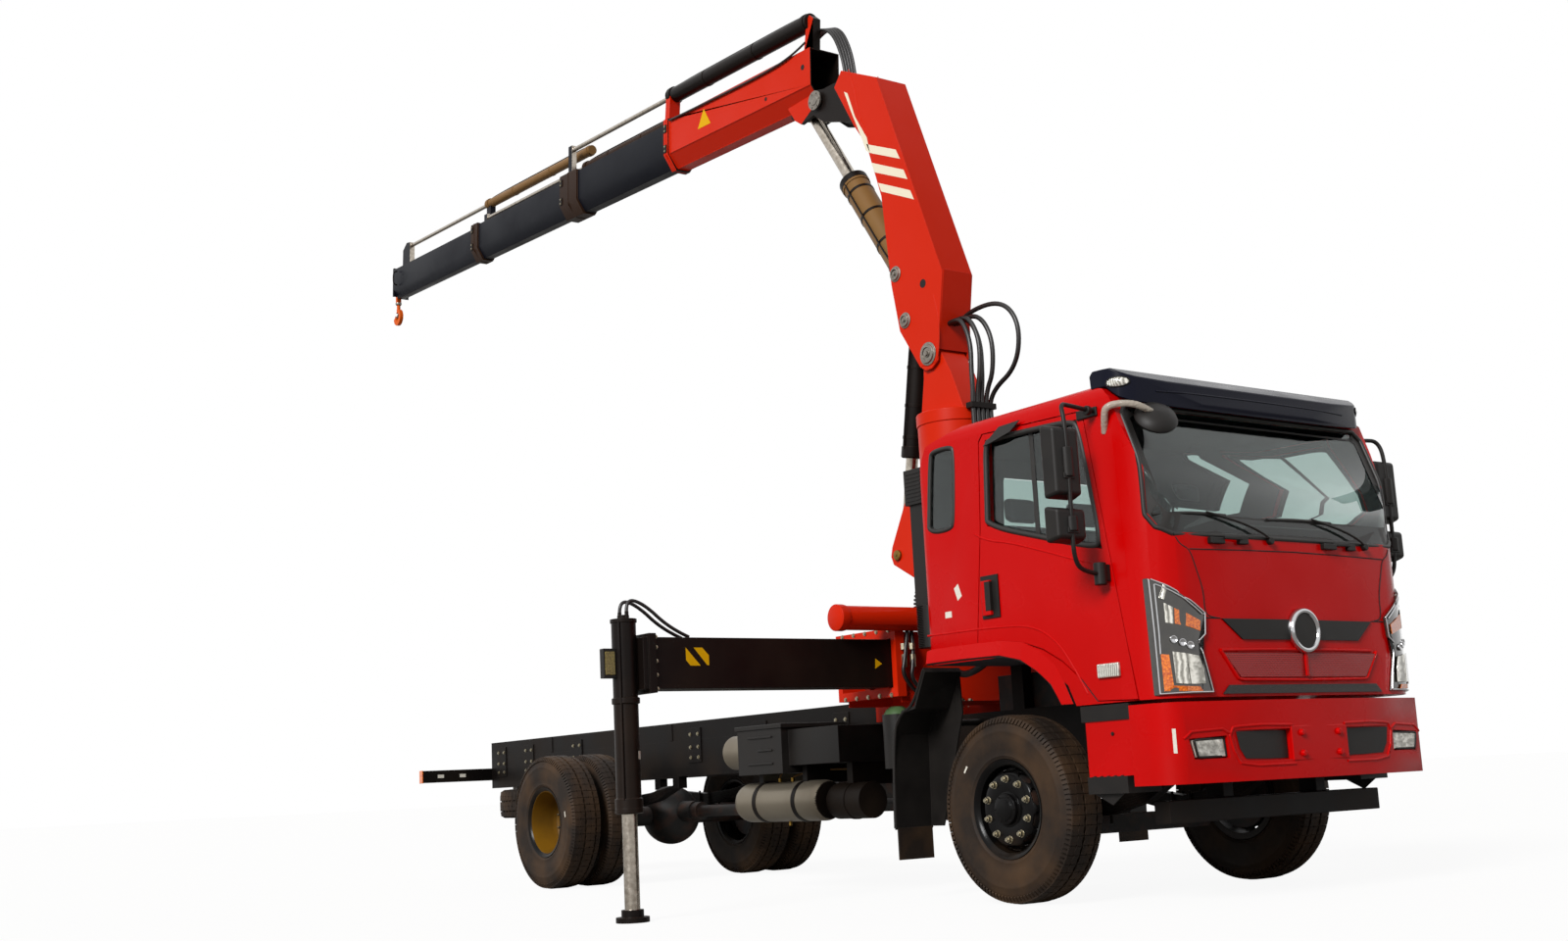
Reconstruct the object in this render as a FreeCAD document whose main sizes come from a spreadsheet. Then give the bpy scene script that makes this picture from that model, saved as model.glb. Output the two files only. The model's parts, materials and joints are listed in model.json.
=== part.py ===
"""Truck-mounted loader crane: a parametric document of every sub-part, in millimetres.

+X is forward, +Y is to the truck's left and +Z is up.  Truck stations are measured from the
front axle, and crane stations from the slewing axis, positive towards the boom's tip.
"""
import FreeCAD, Part
import Sketcher
import math
import operator
import os
from types import SimpleNamespace

SIZES = {
    # where the front axle stands ahead of the origin, and the axle base
    "front_axle_station": 4822.3, "wheel_base": 5340,
    # wheels
    "wheel_radius": 525, "tyre_width": 262, "rim_radius": 258, "rim_wall": 12, "flange_height": 15,
    "front_tread": 1954, "front_disc_set": 105, "dual_spacing": 330, "rear_tread": 1832,
    "disc_wall": 14, "hub_radius": 88, "hub_reach": 38, "drum_radius": 200, "drum_width": 190,
    "kingpin_half": 775, "kingpin_radius": 24, "knuckle_wall": 34, "boss_radius": 46,
    # frame
    "rail_half": 430, "rail_top": 1108, "rail_depth": 278, "rail_flange": 78, "rail_wall": 9,
    "rail_front": 880, "rail_step": 560, "nose_top": 1050, "rail_rear": -7820,
    "subframe_depth": 142, "subframe_front": -1960,
    "cross_radius": 45, "rear_bar_half": 1130, "rear_bar_depth": 110, "rear_bar_width": 60,
    # axles and driveline
    "axle_depth": 105, "axle_width": 92, "axle_drop": 120, "axle_tube_radius": 78, "diff_radius": 240,
    "spring_half": 390, "spring_width": 78, "spring_depth": 62, "front_spring_half": 740,
    "rear_spring_half": 780, "prop_radius": 45, "prop_front": -1560,
    "engine_half": 340, "engine_front": 250, "engine_rear": -820, "engine_bottom": 640, "engine_top": 1330,
    "gearbox_half": 210,
    # cab
    "cab_half": 1080, "cab_front": 1285, "cab_rear": -626, "cab_floor": 1062, "cab_roof": 2786,
    "arch_radius": 850, "flare_radius": 942, "arch_rear": 1378, "flare_rear": 1468, "cab_wall": 46,
    "screen_foot": 1985, "screen_head": 2690,
    "screen_rake": 270, "cab_corner": 250, "roof_corner": 105, "rear_corner": 70, "pane": 6, "pane_set": 10,
    "door_thickness": 59, "door_gap": 6, "door_open_angle": 65, "hinge_station": 1052,
    "door_top": 2672, "sill": 2135, "visor_top": 2860,
    "bumper_front": 1335, "bumper_top": 1040, "bumper_bottom": 622, "bumper_wall": 60,
    "seat_width": 480, "cushion_rise": 19,
    # fittings along the frame
    "tank_radius": 135, "tank_front": -2093, "tank_rear": -2930, "tank_half": 800, "tank_height": 610,
    "fuel_radius": 270, "fuel_length": 1150, "battery_front": -2340, "battery_rear": -2870,
    "silencer_front": -2980, "silencer_length": 740, "silencer_radius": 150, "silencer_side": 700,
    "silencer_drop": 140, "pipe_radius": 50,
    "guard_wall": 8, "flap_wall": 12, "guard_half": 880, "guard_low": 420, "guard_depth": 110,
    "guard_reach": 140, "spare_station": -7350, "spare_height": 680,
    # crane base and stabilisers
    "slew_station": -1450, "base_top": 1650, "base_bottom": 1262, "base_half": 850, "base_wall": 16,
    "beam_station": -1360, "beam_height": 300, "beam_width": 226, "beam_spacing": 290, "beam_play": 6,
    "beam_rise": 1300, "beam_root": 560, "leg_reach": 2739, "leg_tube_radius": 72, "leg_tube_bottom": 627,
    "leg_tube_top": 1700, "leg_rod_radius": 44, "foot_radius": 96, "foot_depth": 30,
    "leg_stroke": 480,
    "rack_radius": 76, "rack_height": 1726, "rack_half": 1320, "rack_offset": 255, "case_radius": 330,
    "case_top": 1900,
    # column and booms
    "column_radius": 255, "column_top": 3180, "head_half": 112, "pivot_reach": 66, "pivot_height": 3610,
    "boom_half": 140, "boom_wall": 12, "seat": 0.3, "pin_radius": 34, "pivot_pin_radius": 50,
    "pin_head": 14, "pin_fit": 0.05, "ear_wall": 26, "lug_wall": 24, "eye_gap": 4, "half_turn": 180,
    "lift_barrel_radius": 74, "lift_rod_radius": 44, "lift_pin_out": 222, "lift_pin_rise": 294,
    "lift_foot_reach": 604, "lift_foot_height": 2277, "lift_barrel_length": 955, "lift_rod_start": 540,
    "fold_barrel_radius": 104, "fold_rod_radius": 50, "fold_pin_out": 300, "fold_pin_rise": 646,
    "fold_eye_out": 220, "fold_eye_drop": 15, "fold_barrel_length": 1080, "fold_rod_start": 640,
    "knuckle_out": 1114, "knuckle_rise": 2255, "outer_rise": 3.4,
    "outer_start": 70, "outer_end": 2200, "outer_top": 452, "outer_keel": 32, "side_height": 300,
    "keel_half": 52, "stage_step": 15, "stage_wall": 9, "collar_wall": 16, "collar_length": 330,
    "stage_a_end": 4120, "stage_b_end": 6100, "stage_c_end": 8200, "stage_overlap": 520,
    "first_overlap": 300,
    "ram_a_side": -75, "ram_b_side": 32, "ram_c_side": 72, "ram_a_height": 690, "ram_b_height": 524,
    "ram_c_height": 692, "ram_a_radius": 68, "ram_b_radius": 42, "ram_c_radius": 46, "ram_rod_radius": 21,
    "tip_plate": 24, "tip_pin_out": 75, "tip_pin_height": 175, "tip_pin_radius": 15,
}
CELL_COLUMNS = "ABCDEFGH"

doc = FreeCAD.newDocument("LoaderCrane")
sheet = doc.addObject("Spreadsheet::Sheet", "Sizes")


class Formula:
    """A number together with the sheet formula that gives it."""

    def __init__(self, value, text):
        self.value = value
        self.text = text

    def joined(self, sign, act, left, right):
        left = as_formula(left)
        right = as_formula(right)
        return Formula(act(left.value, right.value), f"({left.text} {sign} {right.text})")

    def __add__(self, other):
        return self.joined("+", operator.add, self, other)

    def __radd__(self, other):
        return self.joined("+", operator.add, other, self)

    def __sub__(self, other):
        return self.joined("-", operator.sub, self, other)

    def __rsub__(self, other):
        return self.joined("-", operator.sub, other, self)

    def __mul__(self, other):
        return self.joined("*", operator.mul, self, other)

    def __rmul__(self, other):
        return self.joined("*", operator.mul, other, self)

    def __truediv__(self, other):
        return self.joined("/", operator.truediv, self, other)

    def __neg__(self):
        return self.joined("-", operator.sub, 0, self)


def as_formula(number):
    """A plain number as a formula; a formula unchanged."""
    return number if isinstance(number, Formula) else Formula(float(number), f"{float(number):g}")


def fill_sheet():
    """Write each size to its own cell and return the sizes as formulas."""
    for index, (name, number) in enumerate(SIZES.items()):
        cell = f"{CELL_COLUMNS[index // 60]}{index % 60 + 1}"
        sheet.set(cell, str(number))
        sheet.setAlias(cell, name)
    doc.recompute()
    return SimpleNamespace(**{name: Formula(number, f"Sizes.{name}") for name, number in SIZES.items()})


size = fill_sheet()
finished = {}


def bind(thing, prop, formula):
    """Drive one property of an object by a formula."""
    thing.setExpression(prop, as_formula(formula).text)


def put(thing, x=0, y=0, z=0):
    """Place an object by three formulas."""
    for axis, formula in zip("xyz", (x, y, z)):
        bind(thing, f"Placement.Base.{axis}", formula)
    return thing


def finish(node, thing, x=size.front_axle_station, y=0, z=0):
    """Name a sub-part and set it in its place on the truck."""
    thing.Label = node
    put(thing, x, y, z)
    finished[node] = thing
    return thing


def finish_pair(node, thing, x=size.front_axle_station, z=0):
    """Name the sub-part on the left and its mirror image on the right."""
    finish(f"{node}_left", thing, x=x, z=z)
    right = mirrored(f"{node}_mirror", thing)
    right.Label = f"{node}_right"
    finished[right.Label] = right


def block(name, x, y, z):
    """A box between a low and a high formula on each axis."""
    box = doc.addObject("Part::Box", name)
    for prop, axis, (low, high) in zip(("Length", "Width", "Height"), "xyz", (x, y, z)):
        bind(box, prop, as_formula(high) - low)
        bind(box, f"Placement.Base.{axis}", low)
    return box


TURNS = {"x": FreeCAD.Rotation(FreeCAD.Vector(0, 1, 0), 90),
         "y": FreeCAD.Rotation(FreeCAD.Vector(1, 0, 0), -90),
         "z": FreeCAD.Rotation()}


def rod(name, axis, centre, low, high, radius):
    """A cylinder along one axis from low to high; centre gives the other two coordinates."""
    cylinder = doc.addObject("Part::Cylinder", name)
    cylinder.Placement = FreeCAD.Placement(FreeCAD.Vector(), TURNS[axis])
    bind(cylinder, "Radius", radius)
    bind(cylinder, "Height", as_formula(high) - low)
    across = list(centre)
    start = [low if word == axis else across.pop(0) for word in "xyz"]
    return put(cylinder, *start)


def ball(name, x, y, z, radius):
    """A sphere round a point."""
    sphere = doc.addObject("Part::Sphere", name)
    bind(sphere, "Radius", radius)
    return put(sphere, x, y, z)


def fuse(name, *shapes):
    """One solid of several that meet."""
    joined = doc.addObject("Part::MultiFuse", name)
    joined.Shapes = list(shapes)
    joined.Refine = True
    return joined


def group(name, *shapes):
    """Like pieces on one body that don't touch, kept as separate solids of one sub-part."""
    joined = doc.addObject("Part::Compound", name)
    joined.Links = list(shapes)
    return joined


def cut(name, base, *tools):
    """A solid with others taken away."""
    result = doc.addObject("Part::Cut", name)
    result.Base = base
    result.Tool = tools[0] if len(tools) == 1 else fuse(name + "_tools", *tools)
    return result


def common(name, *shapes):
    """The part that several solids share."""
    shared = doc.addObject("Part::MultiCommon", name)
    shared.Shapes = list(shapes)
    return shared


def mirrored(name, thing):
    """The same piece on the truck's other side."""
    mirror = doc.addObject("Part::Mirroring", name)
    mirror.Source = thing
    mirror.Normal = (0, 1, 0)
    return mirror


def origin_plane(body, role):
    """One of a body's own three planes."""
    return next(plane for plane in body.Origin.OriginFeatures if plane.Role == role)


def fix_point(sketch, name, geometry, end, corner):
    """Hold a sketch point at a corner given by two formulas."""
    for kind, formula in zip(("DistanceX", "DistanceY"), corner):
        number = as_formula(formula)
        index = sketch.addConstraint(Sketcher.Constraint(kind, -1, 1, geometry, end, number.value))
        label = f"{name}_{kind[-1]}"
        sketch.renameConstraint(index, label)
        bind(sketch, f"Constraints.{label}", number)


def draw(sketch, corners):
    """Draw a closed outline of straight edges through its corners."""
    spots = [FreeCAD.Vector(as_formula(x).value, as_formula(y).value, 0) for x, y in corners]
    for start, end in zip(spots, spots[1:] + spots[:1]):
        sketch.addGeometry(Part.LineSegment(start, end))
    for index in range(len(spots)):
        sketch.addConstraint(Sketcher.Constraint("Coincident", index - 1 if index else len(spots) - 1, 2,
                                                 index, 1))
    for index, corner in enumerate(corners):
        fix_point(sketch, f"corner{index}", index, 1, corner)


def outline(body, role, corners, offset=0):
    """A sketch on one of the body's planes, moved along that plane's normal."""
    sketch = body.newObject("Sketcher::SketchObject", body.Name + "_outline")
    sketch.AttachmentSupport = (origin_plane(body, role), [""])
    sketch.MapMode = "FlatFace"
    bind(sketch, "AttachmentOffset.Base.z", offset)
    draw(sketch, corners)
    return sketch


def plate(name, role, corners, low, high):
    """A padded outline.  XZ outlines are padded from low y to high y, YZ ones in x, XY ones in z."""
    body = doc.addObject("PartDesign::Body", name)
    start = -as_formula(high) if role == "XZ_Plane" else low
    sketch = outline(body, role, corners, start)
    pad = body.newObject("PartDesign::Pad", name + "_pad")
    pad.Profile = (sketch, [""])
    bind(pad, "Length", as_formula(high) - low)
    return body


def turned(name, role, corners, axis="H_Axis"):
    """An outline turned once round the sketch's own axis."""
    body = doc.addObject("PartDesign::Body", name)
    sketch = outline(body, role, corners)
    turn = body.newObject("PartDesign::Revolution", name + "_turn")
    turn.Profile = (sketch, [""])
    turn.ReferenceAxis = (sketch, [axis])
    turn.Angle = 360
    return body


def arctan(ratio):
    """The angle in degrees that has this slope."""
    return Formula(math.degrees(math.atan(ratio.value)), f"(atan({ratio.text}) / 1 deg)")


def root(square):
    """A square root."""
    return Formula(math.sqrt(square.value), f"sqrt({square.text})")


def tilt(thing, x, z, angle):
    """Set a piece drawn round its own pin at a station and height, turned about the Y axis."""
    thing.Placement = FreeCAD.Placement(FreeCAD.Vector(), FreeCAD.Rotation(FreeCAD.Vector(0, 1, 0), 1))
    bind(thing, "Placement.Rotation.Angle", angle)
    return put(thing, x, 0, z)


def tilted(node, thing, x, z, angle):
    """Name a sub-part that is drawn round its own pin and set it on the truck."""
    thing.Label = node
    finished[node] = thing
    return tilt(thing, x + size.front_axle_station, z, angle)


def both(name, x, y, z):
    """A box on each side of the truck; y gives its inner and outer distance from the middle."""
    low, high = y
    return [block(f"{name}_left", x, (low, high), z),
            block(f"{name}_right", x, (-as_formula(high), -as_formula(low)), z)]


def both_rods(name, axis, centre, low, high, radius):
    """A cylinder along Y or Z on each side of the truck."""
    if axis == "y":
        return [rod(f"{name}_left", axis, centre, low, high, radius),
                rod(f"{name}_right", axis, centre, -as_formula(high), -as_formula(low), radius)]
    x, y = centre
    return [rod(f"{name}_left", axis, (x, y), low, high, radius),
            rod(f"{name}_right", axis, (x, -as_formula(y)), low, high, radius)]


axle_height = size.wheel_radius
rear_axle = -size.wheel_base
rail_bottom = size.rail_top - size.rail_depth
subframe_top = size.rail_top + size.subframe_depth
# the crane's pins, each as (reach from the slewing axis, height)
lift_pin = (size.pivot_reach + size.lift_pin_out, size.pivot_height + size.lift_pin_rise)
fold_pin = (size.pivot_reach + size.fold_pin_out, size.pivot_height + size.fold_pin_rise)
knuckle = (size.pivot_reach + size.knuckle_out, size.pivot_height + size.knuckle_rise)
fold_eye = (knuckle[0] + size.fold_eye_out, knuckle[1] - size.fold_eye_drop)


def frame_rails():
    """Two open channels joined by round cross tubes."""
    half = size.rail_half
    lip = half - size.rail_flange
    web = half - size.rail_wall
    low = rail_bottom
    left = []
    for name, top, rear, front in (("rail", size.rail_top, size.rail_rear, size.rail_step),
                                   ("rail_nose", size.nose_top, size.rail_step - 40, size.rail_front)):
        corners = [(half, low), (half, top), (lip, top), (lip, top - size.rail_wall),
                   (web, top - size.rail_wall), (web, low + size.rail_wall), (lip, low + size.rail_wall),
                   (lip, low)]
        left.append(plate(name, "YZ_Plane", corners, rear, front))
    mounts = both("cab_mount_front", (700, 860), (lip, half), (size.nose_top - 5, size.cab_floor))
    mounts += both("cab_mount_rear", (-600, -500), (lip, half), (size.rail_top - 5, size.arch_rear - 1.3))
    tubes = [rod(f"cross_tube_{index}", "y", (size.rail_rear + offset, low + size.rail_depth / 2),
                 -web, web, size.cross_radius)
             for index, offset in enumerate((120, 1300, 3700, 5050, 6150, size.rail_front
                                             - size.rail_rear - 90))]
    right = [mirrored(f"{thing.Name}_right", thing) for thing in left]
    finish("frame_rails", fuse("rails", *left, *right, *tubes, *mounts))


def subframe():
    """Box runners of the crane's subframe, lying on the rails, with flat ties."""
    inner = size.rail_half - size.rail_flange
    runners = both("runner", (size.rail_rear, size.subframe_front), (inner, size.rail_half),
                   (size.rail_top, subframe_top))
    ties = [block(f"tie_{index}", (size.rail_rear + offset, size.rail_rear + offset + 90),
                  (-inner, inner), (size.rail_top + 20, subframe_top - 20))
            for index, offset in enumerate((0, 1450, 2900, 4350, 5700))]
    finish("subframe", fuse("runners", *runners, *ties))


def springs():
    """Leaf springs, each an arched pack with a hanger at either end."""
    low = size.spring_half - size.spring_width / 2
    high = size.spring_half + size.spring_width / 2
    packs = []
    for name, station, seat, half, eye in (
            ("front_spring", 0, axle_height + size.axle_depth / 2 - size.axle_drop, size.front_spring_half,
             rail_bottom - 110),
            ("rear_spring", rear_axle, axle_height + size.axle_tube_radius, size.rear_spring_half,
             rail_bottom - 60)):
        depth = size.spring_depth
        corners = [(station - half, eye), (station - half, eye - depth / 3),
                   (station - half * 0.6, seat + (eye - seat) * 0.28), (station - 130, seat),
                   (station + 130, seat), (station + half * 0.6, seat + (eye - seat) * 0.28),
                   (station + half, eye - depth / 3), (station + half, eye),
                   (station + half * 0.5, seat + (eye - seat) * 0.3 + depth),
                   (station, seat + depth * 1.35), (station - half * 0.5, seat + (eye - seat) * 0.3 + depth)]
        pack = plate(name, "XZ_Plane", corners, low, high)
        hangers = [block(f"{name}_hanger_{index}", (station + place - 45, station + place + 45),
                         (low, high), (eye - depth / 2, rail_bottom))
                   for index, place in enumerate((-half, half))]
        left = fuse(name + "_pack", pack, *hangers)
        packs += [left, mirrored(name + "_right", left)]
    finish("springs", group("spring_set", *packs))


def front_axle():
    """A forged beam dropped in the middle, with an upright eye at each end for the kingpin."""
    half = size.kingpin_half
    top = axle_height + size.axle_depth / 2
    low = axle_height - size.axle_depth / 2
    drop = size.axle_drop
    corners = [(-half, low), (-half, top), (-half + 170, top), (-half + 280, top - drop),
               (half - 280, top - drop), (half - 170, top), (half, top), (half, low),
               (half - 150, low), (half - 260, low - drop), (-half + 260, low - drop), (-half + 150, low)]
    beam = plate("axle_beam", "YZ_Plane", corners, -size.axle_width / 2, size.axle_width / 2)
    eyes = both_rods("axle_eye", "z", (0, half), axle_height - 70, axle_height + 70, size.boss_radius)
    bores = both_rods("axle_bore", "z", (0, half), axle_height - 90, axle_height + 90,
                      size.kingpin_radius + size.seat)
    return cut("bored_axle", fuse("solid_axle", beam, *eyes), *bores)


def rear_axle_housing():
    """The driven axle: a round differential case between two tubes."""
    end = size.rear_tread / 2 - size.drum_width / 2 - 20
    case = ball("diff_case", rear_axle, 0, axle_height, size.diff_radius)
    tubes = rod("axle_tubes", "y", (rear_axle, axle_height), -end, end, size.axle_tube_radius)
    nose = rod("diff_nose", "x", (0, axle_height + 25), rear_axle, rear_axle + size.diff_radius + 160, 85)
    return fuse("axle_housing", case, tubes, nose)


def propshaft():
    """A tubular shaft in two lengths from the gearbox to the rear axle, with a centre bearing."""
    rear_end = rear_axle + size.diff_radius + 160
    line = axle_height + 25
    shaft = rod("shaft", "x", (0, line), rear_end, size.prop_front, size.prop_radius)
    joints = [rod(f"shaft_joint_{index}", "x", (0, line), station - 45, station + 45, size.prop_radius + 28)
              for index, station in enumerate((rear_end + 45, -3560, size.prop_front - 45))]
    hanger = block("bearing_hanger", (-3420, -3380), (-40, 40), (line, rail_bottom + size.rail_depth / 2))
    beam = block("bearing_beam", (-3440, -3360), (-size.rail_half + size.rail_wall,
                                                 size.rail_half - size.rail_wall),
                 (rail_bottom + size.rail_depth / 2, rail_bottom + size.rail_depth / 2 + 60))
    return fuse("shaft_set", shaft, *joints, hanger, beam)


def engine():
    """The engine as one block, with the gearbox behind it on the shaft's line."""
    line = axle_height + 25
    mass = block("engine_block", (size.engine_rear, size.engine_front), (-size.engine_half, size.engine_half),
                 (size.engine_bottom, size.engine_top))
    box = block("gearbox", (size.prop_front, size.engine_rear), (-size.gearbox_half, size.gearbox_half),
                (line - 110, line + 260))
    feet = both("engine_foot", (-420, -260), (size.engine_half, size.rail_half - size.rail_wall),
                (rail_bottom + 60, rail_bottom + 150))
    return fuse("engine_mass", mass, box, *feet)


def wheel_profile(centre, disc_low, disc_high, cone):
    """Half section of a rim: (offset along the axle, radius).  The disc meets the barrel at cone."""
    reach = size.tyre_width / 2 - 14
    bore = size.rim_radius - size.rim_wall
    lip = size.rim_radius + size.flange_height
    return [(centre - reach, bore), (centre - reach, lip), (centre - reach + 14, lip),
            (centre - reach + 14, size.rim_radius), (centre + reach - 14, size.rim_radius),
            (centre + reach - 14, lip), (centre + reach, lip), (centre + reach, bore),
            (cone + 14, bore), (disc_high, size.drum_radius * 0.83), (disc_high, 0), (disc_low, 0),
            (disc_low, size.drum_radius * 0.8), (cone - 8, bore)]


def tyre_profile(centre):
    """Half section of a tyre from bead to tread."""
    half = size.tyre_width / 2
    outer = size.wheel_radius
    bead = size.rim_radius + size.flange_height + 2
    seat = half - 28.6
    return [(centre - seat, size.rim_radius + size.seat), (centre - seat, bead),
            (centre - half + 16, bead + 20), (centre - half, bead + 95),
            (centre - half + 6, outer - 62), (centre - half + 22, outer - 18),
            (centre - half + 40, outer - 4), (centre - 40, outer), (centre + 40, outer),
            (centre + half - 40, outer - 4), (centre + half - 22, outer - 18),
            (centre + half - 6, outer - 62), (centre + half, bead + 95), (centre + half - 16, bead + 20),
            (centre + seat, bead), (centre + seat, size.rim_radius + size.seat)]


def front_wheels():
    """Single steered wheels: tyre, rim with hub and drum, and the knuckle that carries them."""
    centre = size.front_tread / 2
    face = centre + size.front_disc_set
    tyre = turned("front_tyre", "YZ_Plane", tyre_profile(centre))
    wheel = turned("front_wheel", "YZ_Plane",
                   wheel_profile(centre, face - size.disc_wall, face, centre + 45))
    drum = rod("front_drum", "y", (0, 0), face - size.disc_wall - size.drum_width,
               face - size.disc_wall, size.drum_radius)
    cap = rod("front_hub_cap", "y", (0, 0), face, face + size.hub_reach, size.hub_radius)
    spindle_bore = rod("hub_bore", "y", (0, 0), face - size.disc_wall - size.drum_width,
                       face - 40, 38 + size.seat)
    rim = cut("front_rim_body", fuse("front_rim_solid", wheel, drum, cap), spindle_bore)
    drum_back = face - size.disc_wall - size.drum_width
    inner = size.kingpin_half
    arm = size.knuckle_wall
    boss = size.boss_radius
    upper = rod("upper_ear", "z", (0, inner), 70 + size.seat, 70 + size.seat + arm, boss)
    lower = rod("lower_ear", "z", (0, inner), -(70 + size.seat + arm), -(70 + size.seat), boss)
    back = block("knuckle_back", (-boss, boss), (inner + boss + 6, drum_back - size.seat),
                 (-70 - arm, 70 + arm))
    upper_arm = block("upper_arm", (-boss, boss), (inner, inner + boss + 10), (70 + size.seat, 70 + arm))
    lower_arm = block("lower_arm", (-boss, boss), (inner, inner + boss + 10), (-70 - arm, -70 - size.seat))
    pin = rod("kingpin", "z", (0, inner), -70 - arm, 70 + arm, size.kingpin_radius)
    spindle = rod("spindle", "y", (0, 0), inner + boss + 20, face - 45, 38)
    lever = block("steer_lever", (-260, -boss + 5), (inner + boss + 6, inner + boss + 30), (-60, -30))
    knuckle = fuse("knuckle", upper, lower, back, upper_arm, lower_arm, pin, spindle, lever)
    for node, thing in (("knuckle", knuckle), ("front_rim", rim), ("front_tyre", tyre)):
        finish_pair(node, thing, z=axle_height)


def rear_wheels():
    """Twin wheels on one hub: two tyres, and two rims back to back with the drum between."""
    face = size.rear_tread / 2
    outer = face + size.dual_spacing / 2
    inner = face - size.dual_spacing / 2
    tyres = group("rear_tyre_pair", *(turned(f"rear_tyre_{name}", "YZ_Plane", tyre_profile(centre))
                                      for name, centre in (("outer", outer), ("inner", inner))))
    outer_wheel = turned("outer_wheel", "YZ_Plane",
                         wheel_profile(outer, face, face + size.disc_wall, outer - size.tyre_width / 2 + 40))
    inner_wheel = turned("inner_wheel", "YZ_Plane",
                         wheel_profile(inner, face - size.disc_wall, face,
                                       inner + size.tyre_width / 2 - 54))
    end = face - size.drum_width / 2 - 20
    drum = rod("rear_drum", "y", (0, 0), end + size.seat, face - size.disc_wall, size.drum_radius)
    cap = rod("rear_hub", "y", (0, 0), face + size.disc_wall, face + size.disc_wall + 95, size.hub_radius)
    rims = fuse("rear_rim_pair", outer_wheel, inner_wheel, drum, cap)
    for node, thing in (("rear_tyres", tyres), ("rear_rims", rims)):
        finish_pair(node, thing, x=size.front_axle_station + rear_axle, z=axle_height)


def spare_wheel():
    """Spare wheel lying flat under the rear overhang, hung on a stem from a bar across the rails."""
    face = size.front_disc_set
    bar_low = size.tyre_width / 2 + size.seat
    tyre = turned("spare_tyre_ring", "XZ_Plane",
                  [(radius, rise) for rise, radius in tyre_profile(0)], "V_Axis")
    rim = turned("spare_wheel", "XZ_Plane", [(radius, rise) for rise, radius in
                                             wheel_profile(0, face - size.disc_wall, face, 45)], "V_Axis")
    stem = rod("spare_stem", "z", (0, 0), face - 5, bar_low + 5, 40)
    bar = block("spare_bar", (-45, 45), (-size.rail_half, size.rail_half),
                (bar_low, rail_bottom - size.spare_height))
    place = size.front_axle_station + size.spare_station
    finish("spare_tyre", group("spare_tyre_set", tyre), x=place, z=size.spare_height)
    finish("spare_rim", fuse("spare_rim_set", rim, stem, bar), x=place, z=size.spare_height)


def arc(cx, cy, radius, start, stop, count=5):
    """Points of a round stretch of an outline, from one angle to another."""
    angles = [math.radians(start + (stop - start) * index / count) for index in range(count + 1)]
    return [(cx + radius * round(math.cos(angle), 5), cy + radius * round(math.sin(angle), 5))
            for angle in angles]


def cab_form(name, inset):
    """The cab's outer form, or one that lies inside it: side, plan and front outlines in common."""
    front = size.cab_front - inset
    rear = size.cab_rear + inset
    roof = size.cab_roof - inset
    head = size.cab_front - size.screen_rake - inset
    arch = arc(0, axle_height, size.arch_radius + inset, 50, 87, 4)
    side = plate(f"{name}_side", "XZ_Plane",
                 [(front - 20, size.cab_floor + inset), (front, size.cab_floor + 340),
                  (front - 12, size.screen_foot), (head, size.screen_head),
                  (head - 60, size.cab_roof - 40 - inset), (head - 190, roof), (-230, roof - 16),
                  (rear + 110, roof - 90), (rear + 40, roof - 210), (rear, size.arch_rear + 640),
                  (rear, size.arch_rear + inset)] + arch[::-1]
                 + [(arch[0][0] + 52, size.cab_floor + inset)],
                 -size.cab_half, size.cab_half)
    half = size.cab_half - inset
    corner = size.cab_corner - inset
    back = size.rear_corner
    nose = size.cab_front - 30 - size.cab_corner
    right_front = arc(nose, -(size.cab_half - size.cab_corner), corner, -90, 0)
    left_front = arc(nose, size.cab_half - size.cab_corner, corner, 0, 90)
    left_rear = arc(rear + back, half - back, back, 90, 180, 3)
    right_rear = arc(rear + back, back - half, back, 180, 270, 3)
    plan = plate(f"{name}_plan", "XY_Plane",
                 right_front + [(front - 12, -450), (front, 0), (front - 12, 450)] + left_front
                 + left_rear + right_rear, size.cab_floor - 100, size.cab_roof + 100)
    bend = size.roof_corner - inset / 2
    face = plate(f"{name}_face", "YZ_Plane",
                 [(-half, size.cab_floor - 50), (half, size.cab_floor - 50)]
                 + arc(half - bend, roof - bend, bend, 0, 78, 4) + [(0, roof + 2)]
                 + arc(bend - half, roof - bend, bend, 102, 180, 4),
                 size.cab_rear - 50, size.cab_front + 50)
    return common(name, side, plan, face)


def door_outline(grow):
    """The door's edge, or the opening that leaves a gap round it."""
    low = size.cab_floor + 6 - grow
    sill = arc(0, axle_height, size.flare_radius - grow, 36, 87, 5)
    front = size.hinge_station - size.door_gap + grow
    rear = -160 - grow
    return ([(rear, size.flare_rear - grow), (rear + 90, size.sill), (rear + 125, size.door_top - 40 + grow),
             (rear + 160, size.door_top + grow), (front - 240, size.door_top - 25 + grow), (front, low)]
            + sill)


def window_outline():
    """The side window's edge in the door."""
    return [(-14, size.sill), (18, size.door_top - 36), (765, size.door_top - 62), (878, 1880)]


def windscreen_outline():
    """The windscreen's edge seen from the front."""
    low = size.screen_foot - 60
    high = size.screen_head - 45
    wide = size.cab_half - 60
    return [(110 - wide, low), (wide - 110, low), (wide - 35, low + 40), (wide, low + 110),
            (wide, high - 60), (wide - 50, high), (50 - wide, high), (-wide, high - 60),
            (-wide, low + 110), (35 - wide, low + 40)]


def sleeper_outline():
    """The tall window behind the door."""
    return [(-530, 2200), (-500, 2165), (-330, 2165), (-300, 2200), (-262, 2625), (-290, 2655),
            (-450, 2655), (-485, 2625)]


REAR_WINDOW = [(-430, 2110), (430, 2110), (430, 2560), (-430, 2560)]


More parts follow.
